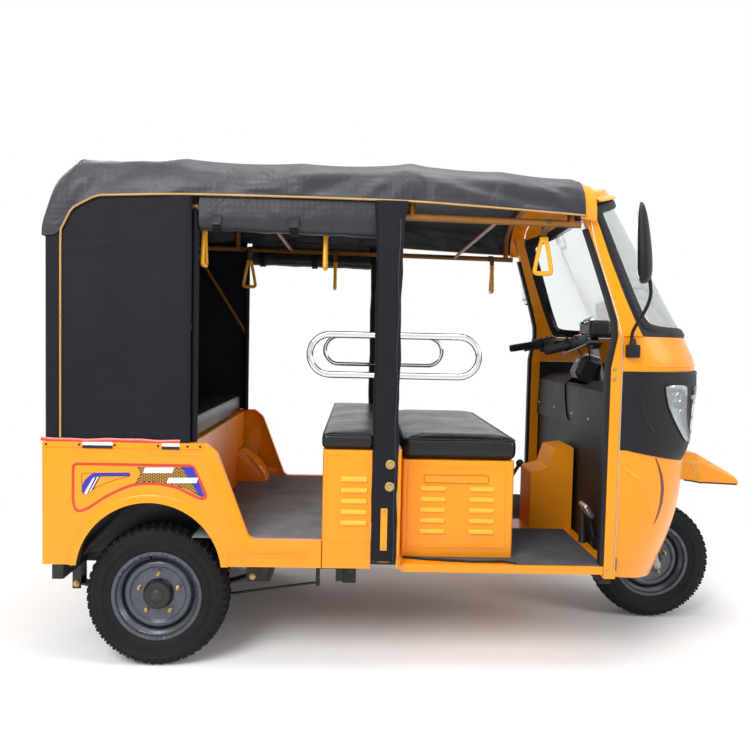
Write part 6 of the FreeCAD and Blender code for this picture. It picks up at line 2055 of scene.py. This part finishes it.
    def build_bead(self, gasket: Piece) -> None:
        """Moulded rubber all round the windscreen, its lip over the glass.

        Args:
            gasket: the flat rubber of the same frame, which it lies on.
        """
        side = ((596, 1716), (583, 1704), (578, 1688), (583, 1666), (594, 1640), (618, 1580), (641, 1520),
                (663, 1455), (684, 1390), (706, 1335), (726, 1290), (748, 1256))
        right = [self.touch(gasket, x, z, -1, -3.0) for x, z in side]
        right = [spot for spot in right if spot.length > self.FOUND]
        low = []
        for y in range(-540, 541, 60):
            hit, spot, normal = self.met(gasket, y, 1250)
            if hit and spot.x > 0.74:
                low.append(spot - normal * 0.003)
        left = mirrored([right])[0]
        crown = self.crown_line(gasket)
        half = len(crown) // 2
        # the loop starts and ends at the middle of the crown, where the brow hides the seam
        line = crown[half::-1] + right + low + left + crown[:half - 1:-1]
        rows = []
        for number, spot in enumerate(line):
            before = line[number - 1] if number else line[-2]
            after = line[number + 1] if number < len(line) - 1 else line[1]
            along = (after - before).normalized()
            _, _, normal, _ = gasket.closest_point_on_mesh(spot)
            away = (spot - point(400, 0, 1480)).normalized()
            normal = (away - along * away.dot(along)).normalized() if normal.dot(away) < 0.2 else normal
            inward = along.cross(normal).normalized()
            if inward.dot(point(760, 0, 1480) - spot) < 0:
                inward = -inward
            rows.append([spot + inward * (shift * MM) + normal * (lift * MM)
                         for shift, lift in self.rubber_section])
        rubber = self.web("screen_bead", rows)
        self.subdivide(rubber, 2)
        self.thicken(rubber, 2.0)
        self.finish(rubber, "black_rubber", angle=60)

    def build_brow(self, header: Piece) -> None:
        """Pressed brow that stands out over the windscreen's rubber.

        Args:
            header: the arched panel over the screen.
        """
        rows = []
        for number in range(61):
            y = -495 + 16.5 * number
            foot = None
            for z in range(1860, 1700, -1):
                hit, spot, normal = self.met(header, y, z)
                if hit:
                    foot = (spot / MM, normal)
                elif foot:
                    break
            if foot is None:
                continue
            spot, normal = foot
            rise = (Vector((0, 0, 1)) - normal * normal.z).normalized()
            rows.append([(spot + rise * up + normal * out) * MM for up, out in self.brow_section])
        brow = self.web("screen_brow", rows)
        self.subdivide(brow, 1)
        self.thicken(brow, 3.0)
        self.finish(brow, "yellow_enamel", angle=60)

    def build_wiper(self, screen: Piece) -> None:
        """Parked wiper: its arm, its blade and its pivot.

        Args:
            screen: the windscreen's glass.
        """
        spots = []
        for z in (1262, 1330, 1400, 1470):
            hit, spot, normal = self.met(screen, -150 + (z - 1262) * 0.55, z)
            if hit:
                spots.append(spot + normal * 0.012)
        if len(spots) > 2:
            self.finish(self.bar("wiper_arm", spots, 3.2, sides=2), "black_polypropylene")
            blade = [spots[-2] + Vector((-0.003, -0.16, 0.015)), spots[-1],
                     spots[-1] + Vector((0.004, 0.16, -0.02))]
            blade = [screen.closest_point_on_mesh(p) for p in blade]
            line = [spot + normal * 0.006 for _, spot, normal, _ in blade]
            self.finish(self.bar("wiper_blade", line, 4.0, sides=2), "black_rubber")
            pivot = self.turned("wiper_pivot", ((0, -10), (11, -10), (11, 4), (6, 9), (0, 9)), spots[0],
                                (1, 0, 0), 24)
            self.finish(pivot, "black_polypropylene")

    def build_guard(self) -> None:
        """Front mudguard with a rubber strip along its lower edge."""
        guard = self.finish(self.copy_node("mudguard", "front_mudguard"), "yellow_enamel")
        line = []
        for x in range(1130, 1396, 14):
            climb = (self.touch(guard, x, z) for z in range(590, 700, 2))
            lowest = next((spot for spot in climb if spot.length > self.FOUND), None)
            if lowest:
                line.append(lowest + point(0, -0.6, -1.5))
        if len(line) > 3:
            self.pair(self.bar("guard_edge_right", line, 3.2, sides=2), "black_rubber")
        for number, (x, z) in enumerate(((1165, 700), (1178, 668))):
            spot = self.touch(guard, x, z)
            if spot.length > self.FOUND:
                self.bolt_pair(f"guard_screw_{number}", spot / MM, 4.0, "bright_zinc")

    def build(self) -> None:
        """Dresses the front panels and builds what is fixed to them."""
        shown = {}
        for node, name, finish in (("front_posts", "post_pair", "yellow_enamel"),
                                   ("door_trims", "door_rubbers", "black_rubber"),
                                   ("upper_cowl", "cowl_top", "yellow_enamel"),
                                   ("lower_cowl", "cowl_bottom", "yellow_enamel"),
                                   ("nose_mask", "lamp_mask", "black_polypropylene"),
                                   ("header", "roof_header", "yellow_enamel"),
                                   ("screen_gasket", "screen_rubber", "black_rubber"),
                                   ("windscreen", "screen_glass", "laminated_glass")):
            shown[node] = self.finish(self.copy_node(node, name, 30), finish, smooth=False)
        self.build_posts(shown["front_posts"])
        self.lay(shown["lower_cowl"], "cowl_crescent", self.crescent, "dark_red_film", 0.5, 0.4)
        self.lay(shown["lower_cowl"], "cowl_fin", self.fin, "yellow_enamel", 0.1, 3.2)
        self.lay(shown["nose_mask"], "mask_crease", self.mask_crease, "black_polypropylene", 0.1, 3.0)
        self.build_mirrors()
        self.build_lamps()
        self.build_wing(shown["nose_mask"])
        self.build_creases(shown["upper_cowl"], shown["nose_mask"])
        self.build_bead(shown["screen_gasket"])
        self.build_brow(shown["header"])
        self.build_wiper(shown["windscreen"])
        self.build_guard()


# ---- driver's place ---------------------------------------------------------------
@dataclass
class Cockpit(Assembly):
    """Dashboard, tunnel, handlebar with its switches, levers, meter and the hanging handles."""

    handle_turn: tuple[tuple[str, float, bool], ...] = (
        # which handle, its x in millimetres, whether it hangs edge-on to the side
        ("rear", -850, True), ("middle", -414, True), ("front", 384, False))
    dash_face: Outline = ((845, 652), (1020, 662), (1050, 704))
    patch_grid: tuple[tuple[float, ...], tuple[float, ...]] = (
        # the rows' heights and the columns' places across, in millimetres
        (850, 900, 950, 1000, 1018, 1030), (-160, -80, 0, 80, 160))
    patch_back: float = 7.0
    # heights of the handles' grips and of their necks
    grip_z: float = 1452.0
    neck_z: float = 1590.0

    def build_panels(self) -> None:
        """Plastic panels, the yellow tunnel with its pressed frames, and their screws."""
        for node, name, finish in (("dashboard", "dash_panel", "dash_polypropylene"),
                                   ("front_bulkhead", "bulkhead_sheet", "dash_polypropylene"),
                                   ("centre_tunnel", "tunnel_cover", "tunnel_enamel"),
                                   ("control_levers", "lever_pair", "black_switch_plastic")):
            self.finish(self.copy_node(node, name, 28), finish, smooth=False)
        # a fold of the bulkhead sheet closes its gap to the floor
        low, high = span("front_bulkhead")
        toe = self.block("toe_board", (low.x + 1, low.y + 8, low.z - 34),
                         (low.x + 4, high.y - 8, low.z + 12), 1.0)
        self.finish(toe, "dash_polypropylene")
        low, high = span("centre_tunnel")
        for number in range(3):
            x = low.x + 28 + number * 46
            line = [(x, 480), (x, 520), (x + 4, 526), (x + 26, 526), (x + 30, 520), (x + 30, 480)]
            for side, word in SIDES:
                y = low.y - 0.8 if side < 0 else high.y + 0.8
                press = self.bar(f"tunnel_press_{number}_{word}", [point(px, y, pz) for px, pz in line], 1.8,
                                 sides=1)
                self.finish(press, "yellow_enamel")
        pad = self.block("pedal_pad", (-10, -40, -30), (10, 40, 30), 6.0, 3)
        tilt = Matrix.Rotation(math.radians(-35), 4, "Y")
        pad.data.transform(Matrix.Translation(point(621, -380, 556)) @ tilt)
        self.finish(pad, "bright_zinc")
        screws = ((640, -545), (641, -300), (641, -80), (641, 200), (641, 480))
        for number, (x, y) in enumerate(screws):
            self.bolt(f"dash_screw_{number}", Vector((x, y, 905)), 4.0, (-1, 0, 0), finish="bright_zinc")

    def build_bar(self) -> None:
        """Handlebar with ribbed grips, switch blocks, brake lever and cables."""
        steer = "steering"
        self.finish(self.copy_node("handlebar", "steering_bar"), "black_switch_plastic", steer)
        grips = self.copy_node("grips", "bar_grips")
        self.finish(grips, "black_rubber", steer)
        for side, word in SIDES:
            spots = [v.co.copy() for v in grips.data.vertices if v.co.y * side > 0]
            outer = max(spots, key=lambda p: p.y * side)
            inner = min(spots, key=lambda p: p.y * side)
            outer_ring = [p for p in spots if (p - outer).length < 0.045]
            inner_ring = [p for p in spots if (p - inner).length < 0.045]
            end = sum(outer_ring, Vector()) / len(outer_ring)
            start = sum(inner_ring, Vector()) / len(inner_ring)
            way = (start - end).normalized()
            length = (start - end).length
            ribs = []
            for i in range(12):
                spot = end + way * (length * (0.1 + 0.8 * i / 11))
                ribs.append(self.turned("rib", ((16.8, -1.6), (18.4, -1.0), (18.4, 1.0), (16.8, 1.6)), spot,
                                        tuple(way), 24, True))
            self.finish(self.join(f"grip_ribs_{word}", ribs), "black_rubber", steer)
            seat = start + way * 0.030
            turn = Vector((1, 0, 0)).rotation_difference(way).to_matrix().to_4x4()
            place = Matrix.Translation(seat) @ turn
            switch = self.block(f"switch_block_{word}", (-24, -24, -22), (30, 22, 26), 6.0, 3)
            switch.data.transform(place)
            self.finish(switch, "black_switch_plastic", steer)
            for number, (x, z, finish) in enumerate(((-8, 26, "red_lens"), (14, 26, "amber_lens"))):
                key = self.block(f"switch_key_{number}_{word}", (x - 6, -8, z), (x + 6, 6, z + 6), 1.8)
                key.data.transform(place)
                self.finish(key, finish, steer)
            lever = [seat + Vector((0.034, 0, -0.004)), end * 0.5 + seat * 0.5 + Vector((0.062, 0, -0.006)),
                     end + Vector((0.066, 0, -0.010))]
            self.finish(self.bar(f"brake_lever_{word}", lever, 4.2),
                        "cast_aluminium" if side < 0 else "black_switch_plastic", steer)
        low, high = span("instrument_pod")
        pod = self.finish(self.copy_node("instrument_pod", "meter_case"), "black_switch_plastic", steer)
        middle = (low + high) / 2
        back = Vector((-0.4, 0, 0.45))
        hit, spot, normal, _ = pod.ray_cast(middle * MM + back, -back.normalized())
        if hit:
            dial = self.turned("meter_dial", ((0, -2), (34, -2), (34, 1.6), (31, 3), (30, 1.2), (0, 1.2)),
                               spot, tuple(normal), 40)
            self.finish(dial, "white_lens", steer)
            ring = self.turned("meter_ring", ((34, -3), (38, -3), (38, 3), (36, 5), (34, 3)), spot,
                               tuple(normal), 40, True)
            self.finish(ring, "polished_chrome", steer)

    def build_column(self) -> None:
        """Faceted plastic cover round the steering column, with the key's lock and a bright clamp."""
        place = Matrix.Translation(point(728, 0, 1092)) @ Matrix.Rotation(math.radians(22), 4, "Y")
        cover = self.block("column_cover", (-58, -58, -54), (40, 58, 54), 20.0, 1)
        cover.data.transform(place)
        self.finish(cover, "black_switch_plastic", "steering", 20)
        lock = self.turned("key_lock", ((0, -3), (13, -3), (13, 5), (10, 8), (4, 8), (3, 5), (0, 5)),
                           place @ point(-58, -24, 18), tuple(place.to_3x3() @ Vector((-1, 0, 0))), 28)
        self.finish(lock, "bright_zinc", "steering")
        clamp = self.block("column_clamp", (-30, -40, 54), (24, 40, 68), 5.0, 2)
        clamp.data.transform(place)
        self.finish(clamp, "bright_zinc", "steering")

    def build_patch(self) -> None:
        """Plastic panel set into the dash's slot, so that the cab doesn't look into the cowl."""
        heights, places = self.patch_grid
        rows = [[point(between(self.dash_face, z) + self.patch_back, y, z) for y in places] for z in heights]
        patch = self.web("column_panel", rows)
        self.thicken(patch, 2.0)
        self.finish(patch, "dash_polypropylene", angle=40)

    def build_cables(self) -> None:
        """Control cables from the switch blocks down beside the steering column."""
        runs = ((-0.215, 0.018), (-0.190, 0.030), (0.200, 0.022))
        for number, (y, bow) in enumerate(runs):
            side = math.copysign(1, y)
            line = [Vector((0.606, y, 1.205)), Vector((0.640, y * 0.86, 1.232 + bow)),
                    Vector((0.686, y * 0.6, 1.225)), Vector((0.716, side * 0.052, 1.165)),
                    Vector((0.738, side * 0.044, 1.085)), Vector((0.768, side * 0.040, 1.020))]
            self.finish(self.bar(f"control_cable_{number}", line, 3.4), "black_rubber", "steering")

    def build_handles(self) -> None:
        """Hanging grab handles: a moulded ring with a grip, on a webbing strap looped round the rail."""
        shown = None
        for word, x, edge_on in self.handle_turn:
            low_z, top = self.grip_z, self.neck_z
            share = (x + 1285) / 1785
            rail_y, rail_z = 592 - 26 * share, 1662 - 30 * share
            y = rail_y - 58
            for side, name in SIDES:
                flat = edge_on if side < 0 else (word != "rear")
                line = [(0, top - 6), (-8, top - 10), (-13, top - 22), (-31, low_z + 22), (-30, low_z + 11),
                        (-20, low_z + 8), (20, low_z + 8), (30, low_z + 11), (31, low_z + 22),
                        (13, top - 22), (8, top - 10), (0, top - 6)]
                spots = [(Vector((0, a, b)) if flat else Vector((a, 0, b))) for a, b in line]
                where = Vector((x, side * y, 0))
                ring = self.bar(f"handle_ring_{word}_{name}", [(where + p) * MM for p in spots], 8.0)
                width = (7.4, 24) if flat else (24, 7.4)
                grip = self.block(f"handle_grip_{word}_{name}", (x - width[0], side * y - width[1], low_z),
                                  (x + width[0], side * y + width[1], low_z + 17), 5.0, 3)
                half = 10 if flat else 16
                other = 12 if flat else 7
                neck = self.block(f"handle_neck_{word}_{name}", (x - half, side * y - other, top - 20),
                                  (x + half, side * y + other, top + 4), 4.0, 3)
                ring = self.join(f"handle_ring_{word}_{name}", [ring, grip, neck])
                self.finish(ring, "handle_plastic")
                if shown is None:
                    shown = ring
                    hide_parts("grab_handles")
                outer = side * (rail_y + 14.2)
                inner = side * y
                loop = [(inner, top - 2), (inner, rail_z - 20), (inner + side * 8, rail_z + 4),
                        (side * (rail_y - 14), rail_z + 14.6), (side * rail_y, rail_z + 15.2),
                        (outer, rail_z + 6), (outer - side * 3, rail_z - 9),
                        (side * (rail_y - 12), rail_z - 13.4), (inner + side * 9, rail_z - 16),
                        (inner + side * 2.6, rail_z - 24), (inner + side * 2.6, top)]
                strip = [[point(x - 11, a, b), point(x + 11, a, b)] for a, b in loop]
                strap = self.web(f"handle_strap_{word}_{name}", strip)
                self.subdivide(strap, 2)
                self.thicken(strap, 1.8)
                self.finish(strap, "webbing", angle=50)

    def build(self) -> None:
        """Builds the driver's controls and the hanging handles."""
        self.build_panels()
        self.build_bar()
        self.build_column()
        self.build_patch()
        self.build_cables()
        self.build_handles()


# ---- wheels -----------------------------------------------------------------------
@dataclass(frozen=True)
class Wheel:
    """One wheel: its word, its body, its centre in millimetres and which way is out."""

    word: str
    body: str
    centre: Point
    out: int


@dataclass
class Wheels(Assembly):
    """Treaded tyres, stepped steel rims, hubs with their nuts, and the fork."""

    wheels: tuple[Wheel, ...] = (
        Wheel("right", "wheel_right", (-1001, -524, 258), -1),
        Wheel("left", "wheel_left", (-1001, 524, 258), 1), Wheel("front", "wheel_front", (1027, 0, 258), -1))
    sidewall: float = 91.0
    tread_blocks: int = 52
    nut_circle: float = 74.0
    valve_circle: float = 138.0

    def build_tyre(self, wheel: Wheel) -> None:
        """Tyre carcass turned in high detail, with shoulder lugs and centre blocks.

        Args:
            wheel: which wheel.
        """
        low, high = span(f"tyre_{wheel.word}")
        centre = (low + high) / 2
        radius, half = (high.z - low.z) / 2, (high.y - low.y) / 2
        bead = radius - self.sidewall
        profile = [(bead - 12, -half * 0.70), (bead, -half * 0.845), (bead + 12, -half * 0.90),
                   (bead + 27, -half * 0.96), (bead + 49, -half * 0.995),
                   (radius - 28, -half * 0.97), (radius - 16, -half * 0.88), (radius - 9, -half * 0.74),
                   (radius - 5.5, -half * 0.45), (radius - 4.5, 0)]
        profile += [(r, -a) for r, a in profile[-2::-1]]
        carcass = self.turned(f"tyre_carcass_{wheel.word}", profile, centre * MM, (0, 1, 0), 96, True)
        self.finish(carcass, "tyre_rubber", wheel.body, 50)
        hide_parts(f"tyre_{wheel.word}")
        lug = self.block("lug", (-6.2, half * 0.50, -6.5), (6.2, half * 0.90, 3.6), 1.2, 1)
        with self.faces(lug, lambda centre, _: centre.y / MM > half * 0.85):
            bpy.ops.transform.translate(value=(0, 0.0005, -0.0065))
        middle = self.block("middle", (-8.5, -half * 0.22, -4), (8.5, half * 0.22, 4.4), 1.0, 1)
        rungs = self.block("rungs", (-3.6, half * 0.80, -14), (3.6, half * 0.965, -6), 1.0, 1)
        pattern = ((lug, 0.0, 1), (lug, 0.5, -1), (middle, 0.25, 1), (rungs, 0.5, 1), (rungs, 0.0, -1))
        blocks = []
        for i in range(self.tread_blocks):
            for shape, shift, mirror in pattern:
                angle = 2 * math.pi * (i + shift) / self.tread_blocks
                place = Matrix.Translation(centre * MM) @ Matrix.Rotation(angle, 4, "Y")
                outer = Matrix.Translation(point(0, 0, radius - 4.6))
                place = place @ outer @ Matrix.Diagonal((1, mirror, 1, 1))
                one = self.twin(shape, "block", place)
                if mirror < 0:
                    one.data.flip_normals()
                blocks.append(one)
        for shape in (lug, middle, rungs):
            bpy.data.objects.remove(shape)
        self.finish(self.join(f"tyre_tread_{wheel.word}", blocks), "tyre_rubber", wheel.body, 40)
        for number, share in enumerate((0.30, 0.62)):
            r = bead + self.sidewall * share
            y = centre.y + wheel.out * half * (0.975 if share < 0.5 else 0.985)
            ring = self.turned(f"tyre_ring_{number}_{wheel.word}",
                               ((r - 2.2, 0), (r, 1.6), (r + 2.2, 0), (r, -1.6)),
                               point(centre.x, y, centre.z), (0, 1, 0), 96, True)
            self.finish(ring, "tyre_rubber", wheel.body, 60)

    def build_centre(self, wheel: Wheel) -> None:
        """Rim, hub, five nuts on their studs, the cap and the valve.

        Args:
            wheel: which wheel.
        """
        centre = Vector(wheel.centre)
        rim = self.copy_node(f"rim_{wheel.word}", f"rim_steel_{wheel.word}", 28)
        self.finish(rim, "wheel_enamel", wheel.body)
        hub = self.copy_node(f"hub_{wheel.word}", f"hub_drum_{wheel.word}", 28)
        self.finish(hub, "drum_black", wheel.body)
        nuts = [around(centre.xz, self.nut_circle, 72 * i + 18) for i in range(5)]
        self.second_finish(hub, "yellow_zinc",
                           lambda c, _: min((c.xz / MM - nut).length for nut in nuts) < 11.5
                           and (c.y / MM - centre.y) * wheel.out > 14.5)
        if wheel.word != "front":
            low, high = span(f"hub_{wheel.word}")
            face = low.y if wheel.out < 0 else high.y
            cap = self.turned(f"hub_cap_{wheel.word}",
                              ((0, -6), (23, -6), (23, 1), (19, 5), (11, 7.5), (0, 8)),
                              point(centre.x, face, centre.z), (0, wheel.out, 0), 40)
            self.finish(cap, "chassis_black", wheel.body, 40)
        for number, nut in enumerate(nuts):
            spot = self.touch(hub, nut.x, nut.y, wheel.out)
            if spot.length > self.FOUND:
                stud = self.turned(f"wheel_stud_{number}_{wheel.word}",
                                   ((0, -4), (5, -4), (5, 5), (3.6, 6.6), (0, 6.6)), spot,
                                   (0, wheel.out, 0), 18)
                self.finish(stud, "yellow_zinc", wheel.body)
        # the front wheel shows a valve on both sides
        seat = around(centre.xz, self.valve_circle, 100)
        for side in (-1, 1) if wheel.word == "front" else (wheel.out,):
            spot = self.touch(rim, seat.x, seat.y, side)
            if spot.length > self.FOUND:
                valve = self.turned(f"tyre_valve_{wheel.word}_{'near' if side < 0 else 'far'}",
                                    ((0, -2), (4, -2), (3.4, 16), (2.4, 22), (0, 22)), spot,
                                    (0, side, 0), 16)
                self.finish(valve, "black_rubber", wheel.body)

    def build(self) -> None:
        """Builds the three wheels and dresses the fork."""
        for wheel in self.wheels:
            self.build_tyre(wheel)
            self.build_centre(wheel)
        fork = self.finish(self.copy_node("fork", "front_fork", 30), "fork_silver", "steering")
        for number, (x, z) in enumerate(((1000, 300), (985, 332))):
            spot = self.touch(fork, x, z)
            if spot.length > self.FOUND:
                self.bolt(f"fork_bolt_{number}", spot / MM, 7.0, body="steering")


# ---- underside --------------------------------------------------------------------
@dataclass
class Underbody(Assembly):
    """Chassis, springs, axle, brake rod and the engine under the driver's seat."""

    fin_count: int = 9

    def build_engine(self) -> None:
        """Engine cases with a finned barrel, a cover with its bolts and the exhaust stub."""
        self.finish(self.copy_node("engine", "engine_case", 30), "engine_block")
        low, high = span("engine")
        for number in range(self.fin_count):
            z = low.z + 40 + number * 20
            fin = self.block(f"engine_fin_{number}", (low.x + 150, low.y - 9, z),
                             (high.x - 20, high.y + 9, z + 6), 1.5)
            self.finish(fin, "cast_aluminium")
        middle = Vector((low.x + 80, low.z + 110))
        cover = self.turned("clutch_cover", ((0, 0), (84, 0), (84, 10), (70, 20), (0, 24)),
                            point(middle.x, low.y, middle.y), (0, -1, 0), 48)
        self.finish(cover, "cast_aluminium")
        for number in range(6):
            spot = around(middle, 76, 60 * number)
            self.bolt(f"cover_bolt_{number}", Vector((spot.x, low.y - 12, spot.y)), 4.5, finish="bright_zinc")

    def build_springs(self) -> None:
        """Leaf springs with their clips, shackle bolts and brackets."""
        self.finish(self.copy_node("leaf_springs", "leaf_pack", 28), "chassis_black")
        for number, (x, z, y) in enumerate(((-1345, 250, 428), (-676, 286, 428))):
            for side, word in SIDES:
                self.bolt(f"spring_bolt_{number}_{word}", Vector((x, side * y, z)), 8.0, (0, side, 0))

    def build(self) -> None:
        """Dresses what hangs under the floor."""
        for node, name in (("chassis_frame", "frame_rails"), ("floor_bearers", "bearer_set"),
                           ("head_frame", "steering_frame"), ("rear_axle", "axle_beam"),
                           ("brake_rod", "brake_linkage")):
            self.finish(self.copy_node(node, name, 30), "chassis_black", smooth=False)
        self.build_engine()
        self.build_springs()


# ---- everything -------------------------------------------------------------------
def main() -> None:
    """Builds each sub-assembly in order."""
    logging.basicConfig(level=logging.INFO, format="%(name)s %(message)s")
    for assembly in (Studio(), Canopy(), Seats(), BodyShell(), FrontBody(), Cockpit(), Wheels(),
                     Underbody()):
        LOG.info("building %s", type(assembly).__name__)
        assembly.build()


if __name__ == "__main__":
    main()
